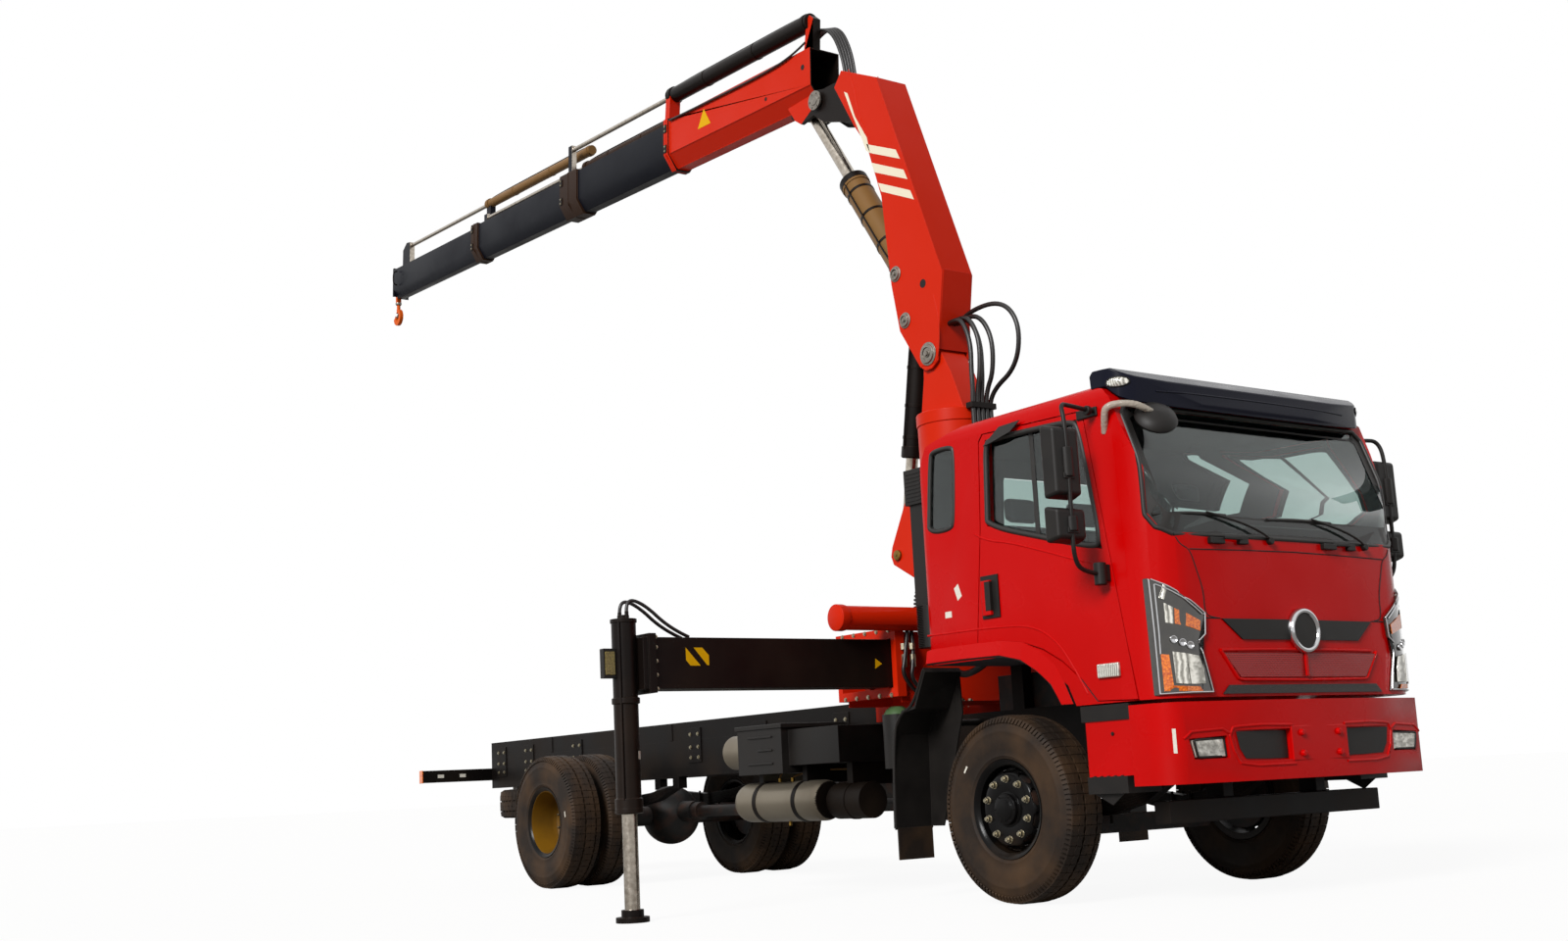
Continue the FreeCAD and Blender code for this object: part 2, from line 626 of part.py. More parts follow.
def cab():
    """Cab shell, its glass, and the trim that follows its skin."""
    outer = cab_form("cab_outer", 0)
    inner = cab_form("cab_inner", size.cab_wall)
    openings = []
    for side, low, high in (("left", size.cab_half - 90, size.cab_half + 20),
                            ("right", -size.cab_half - 20, 90 - size.cab_half)):
        openings += [plate(f"door_hole_{side}", "XZ_Plane", door_outline(size.door_gap), low, high),
                     plate(f"sleeper_hole_{side}", "XZ_Plane", sleeper_outline(), low, high)]
    screen = plate("screen_hole", "YZ_Plane", windscreen_outline(), 600, size.cab_front + 40)
    rear_hole = plate("rear_hole", "YZ_Plane", REAR_WINDOW, size.cab_rear - 30, size.cab_rear + 100)
    finish("cab_shell", cut("cab_walls", outer, inner, *openings, screen, rear_hole))
    skin = cut("screen_skin", cab_form("pane_outer", size.pane_set),
               cab_form("pane_inner", size.pane_set + size.pane))
    screen_fill = plate("screen_fill", "YZ_Plane", windscreen_outline(), 700, size.cab_front + 40)
    panes = [common("windscreen", skin, screen_fill),
             plate("rear_pane", "YZ_Plane", REAR_WINDOW, size.cab_rear + size.pane_set,
                   size.cab_rear + size.pane_set + size.pane)]
    edge = size.cab_half - size.pane_set
    panes += [plate("sleeper_pane_left", "XZ_Plane", sleeper_outline(), edge - size.pane, edge),
              plate("sleeper_pane_right", "XZ_Plane", sleeper_outline(), -edge, size.pane - edge)]
    finish("cab_glass", group("cab_panes", *panes))
    proud = cut("grille_skin", cab_form("grille_outer", -10), outer)
    lamp_skin = cut("lamp_skin", cab_form("lamp_outer", -14), outer)
    band = plate("front_band", "YZ_Plane", [(-633, 1472), (-489, 1362), (489, 1362), (633, 1472)],
                 900, size.cab_front + 60)
    mesh = plate("front_mesh", "YZ_Plane", [(-640, 1290), (-530, 1163), (530, 1163), (640, 1290)],
                 900, size.cab_front + 60)
    slot = plate("front_slot", "YZ_Plane", [(-620, 1122), (-670, 1076), (670, 1076), (620, 1122)],
                 900, size.cab_front + 60)
    badge = rod("badge", "x", (0, 1412), size.cab_front, size.cab_front + 22, 118)
    finish("grille", group("grille_set", fuse("band_and_badge", common("band", proud, band), badge),
                           common("mesh", proud, mesh), common("slot", proud, slot)))
    lens = [plate(f"lamp_edge_{side}", "YZ_Plane",
                  [(sign * (size.cab_half - 30), 1690), (sign * (size.cab_half - 318), 1498),
                   (sign * (size.cab_half - 304), 1386), (sign * (size.cab_half - 254), 1352),
                   (sign * (size.cab_half - 332), 1081), (sign * (size.cab_half - 35), 1077)],
                  size.cab_front - 222, size.cab_front + 60)
            for side, sign in (("left", 1), ("right", -1))]
    finish("headlamps", group("lamp_set", *(common(f"lamp_{index}", lamp_skin, edge)
                                            for index, edge in enumerate(lens))))


def sun_visor():
    """A moulded visor standing proud of the roof over the windscreen."""
    head = size.cab_front - size.screen_rake
    side = plate("visor_side", "XZ_Plane",
                 [(head - 160, size.cab_roof - 30), (head - 165, size.visor_top - 25),
                  (head - 140, size.visor_top), (head - 20, size.visor_top - 5),
                  (head + 95, size.visor_top - 75),
                  (head + 120, size.screen_head - 20), (head + 100, size.screen_head - 50),
                  (head + 8, size.screen_head + 2), (head - 55, size.cab_roof - 30)],
                 -size.cab_half, size.cab_half)
    nose = head + 120
    half = 1045
    plan = plate("visor_plan", "XY_Plane",
                 [(nose - 400, -half)] + arc(nose - 190, 150 - half, 150, -90, -15, 4)
                 + [(nose, -450), (nose + 10, 0), (nose, 450)] + arc(nose - 190, half - 150, 150, 15, 90, 4)
                 + [(nose - 400, half)], size.screen_head - 100, size.visor_top + 50)
    finish("sun_visor", cut("visor", common("visor_form", side, plan), cab_form("visor_seat", 0)))


def doors():
    """One-piece doors with their glass, handle and mirrors, cut back beside the hinge."""
    low = size.cab_half - size.door_thickness
    panel = plate("door_panel", "XZ_Plane", door_outline(0), low, size.cab_half)
    hole = plate("door_window", "XZ_Plane", window_outline(), low - 20, size.cab_half + 20)
    relief = doc.addObject("Part::Box", "hinge_relief")
    bind(relief, "Length", 300)
    bind(relief, "Width", 300)
    bind(relief, "Height", 2200)
    relief.Placement = FreeCAD.Placement(FreeCAD.Vector(), FreeCAD.Rotation(FreeCAD.Vector(0, 0, 1), 1))
    bind(relief, "Placement.Rotation.Angle", -(90 - (90 - size.door_open_angle - 4)))
    put(relief, size.hinge_station - 2, size.cab_half + 3, size.cab_floor - 300)
    handle = block("door_handle", (-72, 0), (size.cab_half, size.cab_half + 28), (1620, 1820))
    door = cut("door_body", fuse("door_and_handle", panel, handle), hole, relief)
    edge = size.cab_half - 26
    glass = plate("door_glass", "XZ_Plane", window_outline(), edge - size.pane, edge)
    arm_y = size.cab_half + 290
    arm = rod("mirror_post", "z", (905, arm_y), 1710, 2656, 14)
    top_arm = rod("mirror_top", "y", (905, 2628), size.cab_half, arm_y, 12)
    foot_arm = rod("mirror_foot", "y", (905, 1737), size.cab_half, arm_y, 12)
    head_arm = block("mirror_front_arm", (905, 1070), (arm_y - 149, arm_y - 131), (2628, 2648))
    foot = block("mirror_bracket", (850, 925), (size.cab_half, size.cab_half + 40), (1700, 1790))
    top_foot = block("mirror_top_bracket", (780, 925), (size.cab_half, size.cab_half + 12), (2605, 2650))
    main = block("mirror_main", (870, 965), (arm_y - 110, arm_y + 110), (2125, 2525))
    wide = block("mirror_wide", (870, 965), (arm_y - 120, arm_y + 120), (1890, 2090))
    nose = block("mirror_nose", (1030, 1120), (arm_y - 260, arm_y - 80), (2560, 2650))
    mirror = fuse("mirror_set", arm, top_arm, foot_arm, head_arm, foot, top_foot, main, wide, nose)
    for node, thing in (("door", door), ("door_glass", glass), ("mirrors", mirror)):
        finish_pair(node, thing)


def cab_inside():
    """Dashboard with the steering wheel, and the seats."""
    wall = size.cab_wall
    desk = plate("desk", "XZ_Plane",
                 [(size.cab_front - 150, 1560), (size.cab_front - 110, 1900), (size.cab_front - 330, 1930),
                  (size.cab_front - 430, 1840), (size.cab_front - 400, 1600)],
                 wall + 120 - size.cab_half, size.cab_half - wall - 120)
    floor = size.cab_floor + wall
    leg = block("desk_leg", (size.cab_front - 330, size.cab_front - 200), (-380, 380), (floor, 1620))
    column = rod("steering_column", "z", (size.cab_front - 470, 480), floor, 1905, 32)
    bridge = block("column_bridge", (size.cab_front - 470, size.cab_front - 350), (455, 505), (1760, 1820))
    hub = (size.cab_front - 470, 480)
    wheel = cut("wheel_ring", rod("wheel_rim", "z", hub, 1898, 1928, 230),
                rod("wheel_hole", "z", hub, 1880, 1950, 200))
    spoke = block("wheel_spoke", (size.cab_front - 500, size.cab_front - 440), (270, 690), (1904, 1920))
    finish("dashboard", fuse("desk_set", desk, leg, column, bridge, wheel, spoke))
    seats = []
    seat_floor = axle_height + size.arch_radius + wall
    deck = seat_floor + size.cushion_rise
    for name, place in (("driver", 480), ("middle", -120), ("mate", -640)):
        half = size.seat_width / 2
        cushion = block(f"{name}_cushion", (-60, 430), (place - half, place + half), (deck, deck + 190))
        back = plate(f"{name}_back", "XZ_Plane", [(-60, deck + 60), (-200, deck + 760), (-310, deck + 760),
                                                  (-200, deck + 60)], place - half + 15, place + half - 15)
        head = block(f"{name}_head", (-330, -220), (place - 130, place + 130), (deck + 740, deck + 930))
        base = block(f"{name}_base", (-20, 180), (place - 170, place + 170), (seat_floor, deck + 10))
        seats.append(fuse(f"{name}_seat", cushion, back, head, base))
    finish("seats", group("seat_set", *seats))


def front_end():
    """Bumper with lamps, the guard below it, the steps behind it, and the wheel guards."""
    nose = size.bumper_front
    half = size.cab_half + 6
    rim = [(980, -half)] + arc(1090, 190 - half, 190, -90, -28, 3) + [(nose - 12, -420), (nose, 0),
                                                                    (nose - 12, 420)]
    rim += arc(1090, half - 190, 190, 28, 90, 3) + [(980, half)]
    wall = size.bumper_wall
    inside = [(980, half - wall), (1090, half - wall), (1200, half - 210), (nose - 12 - wall, 420),
              (nose - 12 - wall, -420), (1200, 210 - half), (1090, wall - half), (980, wall - half)]
    bar = plate("bumper_bar", "XY_Plane", rim + inside, size.bumper_bottom, size.bumper_top)
    pockets = both("air_slot", (nose - 40, nose + 60), (232, 650), (725, 885))
    seats = [plate(f"fog_seat_{side}", "YZ_Plane", [(sign * 690, 745), (sign * 700, 860), (sign * 960, 850),
                                                   (sign * 930, 745)], nose - 95, nose + 60)
             for side, sign in (("left", 1), ("right", -1))]
    finish("bumper", cut("bumper_body", bar, *pockets, *seats))
    lamps = [plate(f"fog_{side}", "YZ_Plane", [(sign * 700, 755), (sign * 708, 850), (sign * 935, 842),
                                              (sign * 912, 755)], nose - 95, nose - 62)
             for side, sign in (("left", 1), ("right", -1))]
    finish("fog_lamps", group("fog_set", *lamps))
    brackets = both("skid_bracket", (size.rail_front, size.rail_front + size.guard_reach - 20),
                    (size.rail_half - 80, size.rail_half), (size.guard_low + 110, rail_bottom + 60))
    hooks = both("bumper_bracket", (size.rail_front, nose - 12 - wall),
                 (size.rail_half - 80, size.rail_half - 20), (rail_bottom + 60, rail_bottom + 120))
    front = size.rail_front + size.guard_reach
    guard = block("guard_bar", (front - size.guard_depth, front),
                  (-size.guard_half, size.guard_half), (size.guard_low, size.guard_low + 120))
    finish("front_guard", fuse("guard", guard, *brackets, *hooks))
    steps = both("step_panel", (650, 978), (size.cab_half - 210, size.cab_half - 4), (680, 970))
    trims = both("step_trim", (628, 979), (size.cab_half - 230, size.cab_half + 4), (970, 1054))
    treads = both("step_tread", (650, 940), (size.cab_half - 240, size.cab_half + 12), (590, 680))
    stays = both("step_stay", (800, 868), (size.rail_half, size.cab_half - 205), (860, 930))
    left = fuse("step_left", steps[0], trims[0], treads[0], stays[0])
    right = fuse("step_right", steps[1], trims[1], treads[1], stays[1])
    finish("steps", group("step_set", left, right))


def guards():
    """Plastic guards behind the front wheels with rubber flaps, and their tubes to the frame."""
    wall = size.guard_wall * 2
    outer = [(-655, 1372), (-760, 1150), (-880, 1130), (-985, 1000), (-1010, 420)]
    inner = [(-1010 + wall, 420), (-985 + wall, 990), (-872, 1130 - wall), (-768 + wall, 1150 - wall),
             (-655 + wall, 1345)]
    shell = plate("guard_shell", "XZ_Plane", outer + inner, 800, size.cab_half + 10)
    cheek = plate("guard_cheek", "XZ_Plane", [(-655, 1350), (-655 + 12, 1100), (-880, 430), (-1000, 430),
                                              (-975, 1000), (-875, 1120), (-765, 1140)],
                  800, 812)
    flap = block("guard_flap", (-1000, -1000 + size.flap_wall), (810, size.cab_half), (240, 430))
    tube = rod("guard_tube", "y", (-900, 1050), size.rail_half, 812, 22)
    left = fuse("guard_left", shell, cheek, flap, tube)
    finish("wheel_guards", group("guard_set", left, mirrored("guard_right", left)))


def silencer():
    """Silencer with its pipes, held to the left rail by a stay on top."""
    line = (size.silencer_side, rail_bottom - size.silencer_drop)
    front = size.silencer_front
    rear = front - size.silencer_length
    middle = (front + rear) / 2
    pot = rod("silencer", "x", line, rear, front, size.silencer_radius)
    pipes = [rod("tail_pipe", "x", line, rear - 580, rear, size.pipe_radius),
             rod("down_pipe", "x", line, front, front + 220, size.pipe_radius)]
    stay = block("silencer_stay", (middle - 50, middle + 20), (size.rail_half, size.silencer_side + 20),
                 (rail_bottom - size.silencer_drop + size.silencer_radius - 10, rail_bottom + 70))
    return [pot, *pipes, stay]


def frame_fittings():
    """Air tanks, battery box, fuel tank, exhaust and the rear bar, each on brackets to a rail."""
    side = -size.tank_half
    low = size.tank_height
    tank = rod("air_tank", "x", (side, low), size.tank_rear, size.tank_front, size.tank_radius)
    domes = [ball(f"tank_dome_{index}", station, side, low, size.tank_radius)
             for index, station in enumerate((size.tank_rear, size.tank_front))]
    trim_box = block("dome_limit", (size.tank_rear - 60, size.tank_front + 60), (side - 200, side + 200),
                     (low - 200, low + 200))
    first = common("tank_one", fuse("tank_whole", tank, *domes), trim_box)
    second = rod("tank_two", "x", (side + 60, low - 10), size.tank_front + 90, size.tank_front + 440, 118)
    small = rod("tank_small", "x", (side + 30, 965), size.battery_rear - 300, size.battery_rear - 10, 120)
    hangers = [block(f"tank_hanger_{index}", (station - 25, station + 25), (side - 40, -size.rail_half),
                     (low + size.tank_radius - 20, rail_bottom + rise))
               for index, station, rise in ((0, size.tank_rear + 160, -30), (1, size.tank_front - 160, 20))]
    second_hanger = block("tank_hanger_2", (size.tank_front + 230, size.tank_front + 290),
                          (side + 20, -size.rail_half), (low + 90, rail_bottom + 20))
    small_hanger = block("tank_hanger_3", (size.battery_rear - 190, size.battery_rear - 120),
                         (side + 20, -size.rail_half), (930, 990))
    finish("air_tanks", group("tank_set", fuse("tank_a", first, *hangers),
                              fuse("tank_b", second, second_hanger), fuse("tank_c", small, small_hanger)))
    box = block("battery_case", (size.battery_rear, size.battery_front), (-960, -size.rail_half), (800, 1120))
    dark = block("dark_case", (size.battery_front, size.battery_front + 560), (-900, -size.rail_half),
                 (850, 1090))
    canister = rod("filter", "z", (-1330, -760), 790, 1130, 95)
    stay = block("filter_stay", (-1365, -1295), (-760, -size.rail_half), (930, 1000))
    finish("battery_box", group("box_set", fuse("battery", box, dark), fuse("filter_set", canister, stay)))
    fuel = rod("fuel", "x", (size.tank_half, 720), -1500 - size.fuel_length, -1500, size.fuel_radius)
    straps = [block(f"fuel_hanger_{index}", (station - 35, station + 35), (size.rail_half, size.tank_half),
                    (rail_bottom + 60, rail_bottom + 140)) for index, station in
              enumerate((-1500 - size.fuel_length + 200, -1700))]
    finish("fuel_tank", fuse("fuel_set", fuel, *straps))
    finish("exhaust", fuse("exhaust_set", *silencer()))
    rear = size.rail_rear
    bar = block("rear_beam", (rear - size.rear_bar_width, rear), (-size.rear_bar_half, size.rear_bar_half),
                (905, 905 + size.rear_bar_depth))
    stays = both("rear_bar_stay", (rear - size.rear_bar_width, rear + 60),
                 (size.rail_half - 90, size.rail_half - size.rail_wall), (925, 1000))
    finish("rear_bar", fuse("rear_bar_set", bar, *stays))
    intake = block("intake_stack", (size.cab_rear - 165, size.cab_rear - 25), (-1000, -860), (1760, 2520))
    lip = block("intake_head", (size.cab_rear - 185, size.cab_rear - 12), (-1020, -840), (2380, 2600))
    foot = block("intake_stay", (size.cab_rear - 40, size.cab_rear), (-960, -900), (1950, 2010))
    bend = rod("intake_hose", "z", (size.cab_rear - 95, -930), 1500, 1760, 75)
    finish("air_intake", fuse("intake", intake, lip, foot, bend))


def crane_base():
    """Cross housing with a channel for each stabiliser beam, the slewing case and its rack tube."""
    front = size.beam_station + size.beam_width / 2 + size.beam_play + size.base_wall
    rear = (size.beam_station - size.beam_spacing - size.beam_width / 2 - size.beam_play
            - size.base_wall)
    half = size.base_half
    housing = block("housing", (rear, front), (-half, half), (size.base_bottom, size.base_top))
    channels = []
    for name, station in (("front", size.beam_station), ("rear", size.beam_station - size.beam_spacing)):
        reach = size.beam_width / 2 + size.beam_play
        channels.append(block(f"channel_{name}", (station - reach, station + reach), (-half - 20, half + 20),
                              (size.beam_rise - size.beam_play,
                               size.beam_rise + size.beam_height + size.beam_play)))
    flanges = [block(f"housing_flange_{index}", (rear - 30, front + 30), (low, high),
                     (size.base_bottom - 25, size.base_top + 22))
               for index, (low, high) in enumerate(((-half, 70 - half), (half - 70, half)))]
    feet = both("base_foot", (size.subframe_front, front + 60), (size.rail_half - size.rail_flange,
                                                                 size.rail_half),
                (size.rail_top, size.base_bottom))
    slab = block("base_slab", (rear, front), (-size.rail_half, size.rail_half),
                 (size.base_bottom - 60, size.base_bottom))
    case = rod("slew_case", "z", (size.slew_station, 0), size.base_top, size.case_top, size.case_radius)
    rack = rod("rack_tube", "y", (size.slew_station + size.rack_offset, size.rack_height), -size.rack_half,
               size.rack_half, size.rack_radius)
    pads = []
    gap = size.beam_play - size.seat
    for name, station, low, high in (("front", size.beam_station, -half, 90 - half),
                                     ("rear", size.beam_station - size.beam_spacing, half - 90, half)):
        width = size.beam_width / 2 - 40
        pads += [block(f"pad_low_{name}", (station - width, station + width), (low, high),
                       (size.beam_rise - size.beam_play, size.beam_rise - size.seat)),
                 block(f"pad_high_{name}", (station - width, station + width), (low, high),
                       (size.beam_rise + size.beam_height + size.seat,
                        size.beam_rise + size.beam_height + size.beam_play))]
    body = cut("hollow_base", fuse("solid_base", housing, *flanges, *feet, slab, case, rack), *channels)
    finish("crane_base", fuse("base", body, *pads))


def stabilisers():
    """A sliding beam and leg tube on each side, with the leg's rod and foot."""
    for side, station, sign in (("right", size.beam_station, -1),
                                ("left", size.beam_station - size.beam_spacing, 1)):
        reach = size.leg_reach
        inner = size.beam_root
        end = reach - size.leg_tube_radius + 12
        wide = size.beam_width / 2
        spans = {"beam": (inner, end), "plate": (reach - size.leg_tube_radius - 70,
                                                 reach - size.leg_tube_radius - 20)}
        spans = {word: (low, high) if sign > 0 else (-high, -low) for word, (low, high) in spans.items()}
        beam = block(f"beam_{side}", (station - wide, station + wide), spans["beam"],
                     (size.beam_rise, size.beam_rise + size.beam_height))
        clamp = block(f"leg_plate_{side}", (station - wide - 14, station + wide + 14), spans["plate"],
                      (size.beam_rise - 22, size.beam_rise + size.beam_height + 22))
        tube = rod(f"leg_tube_{side}", "z", (station, sign * reach), size.leg_tube_bottom,
                   size.leg_tube_top, size.leg_tube_radius)
        collar = rod(f"leg_collar_{side}", "z", (station, sign * reach), size.leg_tube_bottom,
                     size.leg_tube_bottom + 60, size.leg_tube_radius + 8)
        bore = rod(f"leg_bore_{side}", "z", (station, sign * reach), size.leg_tube_bottom - 5,
                   size.leg_tube_top - 40, size.leg_rod_radius + size.seat)
        finish(f"stabiliser_{side}", cut(f"stabiliser_body_{side}",
                                         fuse(f"stabiliser_solid_{side}", beam, clamp, tube, collar), bore))
        shaft = rod(f"leg_shaft_{side}", "z", (station, sign * reach), size.foot_depth - 5,
                    size.leg_tube_top - 60 - size.leg_stroke, size.leg_rod_radius)
        foot = rod(f"foot_{side}", "z", (station, sign * reach), 0, size.foot_depth, size.foot_radius)
        ring = rod(f"foot_ring_{side}", "z", (station, sign * reach), size.foot_depth - 5,
                   size.foot_depth + 40, size.leg_rod_radius + 20)
        finish(f"leg_rod_{side}", fuse(f"leg_{side}", shaft, foot, ring))


def column():
    """Slewing column: a round tube, a flat head for the main boom's pin, and lugs for the lift ram."""
    radius = size.column_radius
    pivot = -size.pivot_reach
    top = size.pivot_height
    tube = rod("column_tube", "z", (0, 0), size.case_top + size.seat, size.column_top, radius)
    head = plate("column_head", "XZ_Plane",
                 [(radius - 30, size.column_top - 120), (radius - 30, size.column_top), (120, top - 160),
                  (pivot + 84, top + 20), (pivot + 50, top + 74), (pivot, top + 90), (pivot - 60, top + 66),
                  (pivot - 88, top), (pivot - 100, top - 160), (30 - radius, size.column_top - 40),
                  (30 - radius, size.column_top - 120)], -size.head_half, size.head_half)
    foot = -size.lift_foot_reach
    height = size.lift_foot_height
    gap = size.lift_rod_radius + size.eye_gap
    lugs = []
    for name, low, high in (("left", gap, gap + size.lug_wall), ("right", -gap - size.lug_wall, -gap)):
        out = size.pin_head if name == "left" else 0
        lugs += [plate(f"lug_{name}", "XZ_Plane",
                       [(40 - radius, height - 300), (foot + 120, height - 160), (foot - 60, height - 60),
                        (foot - 84, height), (foot - 66, height + 66), (foot + 120, height + 390),
                        (40 - radius, height + 470)], low, high),
                 rod(f"lug_boss_{name}", "y", (foot, height), low - size.pin_head + out, high + out,
                     size.pin_radius)]
    solid = fuse("column_solid", tube, head, *lugs)
    bore = rod("pivot_bore", "y", (pivot, top), -200, 200, size.pivot_pin_radius + size.seat)
    finish("column", cut("column_body", solid, bore), x=size.front_axle_station + size.slew_station)


def main_boom():
    """Main boom: two side plates closed by covers, a bracket for the knuckle and its pins."""
    half = size.boom_half
    wall = size.boom_wall
    pivot = -size.pivot_reach
    low = size.pivot_height
    tip, head = -knuckle[0], knuckle[1]
    middle, fold_height = -fold_pin[0], fold_pin[1]
    skin = [(pivot + 30, low - 108), (pivot + 96, low - 66), (pivot + 110, low + 30),
            (pivot + 200, low + 546), (tip + 731, head - 79), (tip + 325, head + 124),
            (tip + 230, head + 22), (tip + 439, head - 352), (tip + 575, head - 551),
            (tip + 708, head - 984), (middle - 62, fold_height + 54), (middle - 54, fold_height - 56),
            (-lift_pin[0] - 68, lift_pin[1] - 64), (pivot - 98, low - 70), (pivot - 40, low - 112)]
    solid = plate("boom_sides", "XZ_Plane", skin, -half, half)
    cavity = plate("boom_cavity", "XZ_Plane",
                   [(pivot + 200, low - 200), (pivot + 98, low + 30), (pivot + 200 - wall, low + 546),
                    (tip + 731 - wall * 0.4, head - 79 - wall), (tip + 330, head + 124 - wall * 1.6),
                    (tip + 250, head + 25), (tip + 439 + wall, head - 352), (tip + 575 + wall, head - 551),
                    (tip + 708 + wall, head - 984), (tip + 730, head - 1195),
                    (middle - 194, fold_height + 254), (middle - 194, low - 200)],
                   wall - half, half - wall)
    shell = cut("boom_shell", solid, cavity)
    ears = []
    inner = half - wall
    for name, low_y, high_y in (("left", inner - size.ear_wall, inner),
                                ("right", -inner, size.ear_wall - inner)):
        ears.append(plate(f"knuckle_ear_{name}", "XZ_Plane",
                          [(tip + 480, head - 330), (tip + 60, head - 190), (tip - 40, head - 110),
                           (tip - 92, head - 20), (tip - 76, head + 60), (tip - 10, head + 92),
                           (tip + 80, head + 70), (tip + 420, head + 60)], low_y, high_y))
    web = block("ear_web", (tip + 280, tip + 320), (-inner, inner), (head - 270, head + 50))
    pivot_point = (size.pivot_reach, size.pivot_height)
    places = (("pivot", pivot_point, size.pivot_pin_radius), ("lift", lift_pin, size.pin_radius),
              ("fold", fold_pin, size.pin_radius))
    bores = [rod(f"{name}_hole", "y", (-reach, up), -half - 40, half + 40, radius + size.pin_fit)
             for name, (reach, up), radius in places]
    knuckle_hole = rod("knuckle_hole", "y", (tip, head), -half - 40, half + 40,
                       size.pivot_pin_radius + size.pin_fit)
    x = size.front_axle_station + size.slew_station
    bracket = fuse("bracket", *ears, web)
    finish("main_boom", cut("boom_body", shell, *bores, bracket), x=x)
    finish("knuckle_bracket", cut("bracket_body", bracket, knuckle_hole), x=x)
    pins = [rod(f"{name}_pin", "y", (-reach, up), -half - size.pin_head, half + size.pin_head, radius)
            for name, (reach, up), radius in places]
    pins += both_rods("knuckle_pin", "y", (tip, head), size.fold_rod_radius + 10, half - 8,
                      size.pivot_pin_radius)
    finish("boom_pins", group("pin_set", *pins), x=x)


def ram(name, pin, eye, barrel_radius, barrel_length, rod_radius, rod_start, eye_half):
    """A ram between two points (reach, height): the barrel from its pin, the rod open at its eye."""
    across = eye[0] - pin[0]
    rise = eye[1] - pin[1]
    length = root(across * across + rise * rise)
    barrel_eye = rod(f"{name}_barrel_eye", "y", (0, 0), -eye_half, eye_half, size.pin_radius + 32)
    tube = rod(f"{name}_tube", "z", (0, 0), -barrel_length, -size.pin_radius - 20, barrel_radius)
    gland = rod(f"{name}_gland", "z", (0, 0), -barrel_length, 70 - barrel_length, barrel_radius + 7)
    bore = rod(f"{name}_bore", "z", (0, 0), -barrel_length - 5, -size.pin_radius - 60, rod_radius + size.seat)
    pin_bore = rod(f"{name}_pin_bore", "y", (0, 0), -200, 200, size.pin_radius + size.seat)
    barrel = cut(f"{name}_barrel", fuse(f"{name}_barrel_solid", tube, gland, barrel_eye), bore, pin_bore)
    shaft = rod(f"{name}_shaft", "z", (0, 0), size.pin_radius + 8 - length, -rod_start, rod_radius)
    ring = rod(f"{name}_rod_ring", "y", (0, -length), 3 - rod_radius, rod_radius - 3, rod_radius + 12)
    ring_bore = rod(f"{name}_ring_bore", "y", (0, -length), -200, 200, size.pin_radius - 4)
    piece = cut(f"{name}_rod", fuse(f"{name}_rod_solid", shaft, ring), ring_bore)
    return barrel, piece, across, rise


def rams():
    """The lift ram hangs from the main boom; the fold ram stands on it."""
    x = size.slew_station
    lift_foot = (size.lift_foot_reach, size.lift_foot_height)
    barrel, piece, across, rise = ram("lift", lift_pin, lift_foot, size.lift_barrel_radius,
                                      size.lift_barrel_length, size.lift_rod_radius, size.lift_rod_start, 76)
    lean = arctan(across / (-rise))
    tilted("lift_barrel", barrel, x - lift_pin[0], lift_pin[1], lean)
    tilted("lift_rod", piece, x - lift_pin[0], lift_pin[1], lean)
    barrel, piece, across, rise = ram("fold", fold_pin, fold_eye, size.fold_barrel_radius,
                                      size.fold_barrel_length, size.fold_rod_radius, size.fold_rod_start, 100)
    lean = size.half_turn - arctan(across / rise)
    tilted("fold_barrel", barrel, x - fold_pin[0], fold_pin[1], lean)
    tilted("fold_rod", piece, x - fold_pin[0], fold_pin[1], lean)


def stage_outline(step, wall=0):
    """Cross-section of a boom stage: flat top, upright sides and a keel, smaller with each step."""
    inset = size.stage_step * step + wall
    half = size.boom_half - inset
    top = size.outer_top - inset
    side = size.outer_top - size.side_height + inset * 0.6
    keel = size.outer_keel + inset
    keel_half = size.keel_half - inset / 3
    return [(-half, top), (-half, side), (-keel_half, keel), (keel_half, keel), (half, side), (half, top)]


def stage(name, step, start, end):
    """One hollow boom stage."""
    skin = plate(f"{name}_skin", "YZ_Plane", stage_outline(step), -as_formula(end), -as_formula(start))
    hollow = plate(f"{name}_hollow", "YZ_Plane", stage_outline(step, size.stage_wall),
                   -as_formula(end) - 10, -as_formula(start) + 10)
    return cut(f"{name}_tube", skin, hollow)


def slide_pad(name, step, end):
    """The pad under a stage's roof, at its mouth, that the next stage slides on."""
    roof = size.outer_top - size.stage_step * step - size.stage_wall
    gap = size.stage_step - size.stage_wall - size.seat
    return block(f"{name}_pad", (-as_formula(end), 110 - as_formula(end)), (-60, 60), (roof - gap, roof + 2))


def collar(name, step, end, length):
    """A stiffening band round the end of a stage."""
    band = plate(f"{name}_band", "YZ_Plane", [
        (y + (size.collar_wall if index > 2 else -size.collar_wall),
         z + (size.collar_wall if index in (0, 5) else -size.collar_wall if index in (2, 3) else 0))
        for index, (y, z) in enumerate(stage_outline(step))], -as_formula(end), -as_formula(end) + length)
    hole = plate(f"{name}_band_hole", "YZ_Plane", stage_outline(step), -as_formula(end) - 5,
                 -as_formula(end) + length + 5)
    return cut(f"{name}_collar", band, hole)


def extension_ram(name, side, height, radius, start, end):
    """The barrel of an extension ram lying along the booms, bored for its rod."""
    tube = rod(f"{name}_ram", "x", (side, height), -as_formula(end), -as_formula(start), radius)
    bore = rod(f"{name}_ram_bore", "x", (side, height), -as_formula(end) - 5, -as_formula(start) - 60,
               size.ram_rod_radius + size.seat)
    return tube, bore


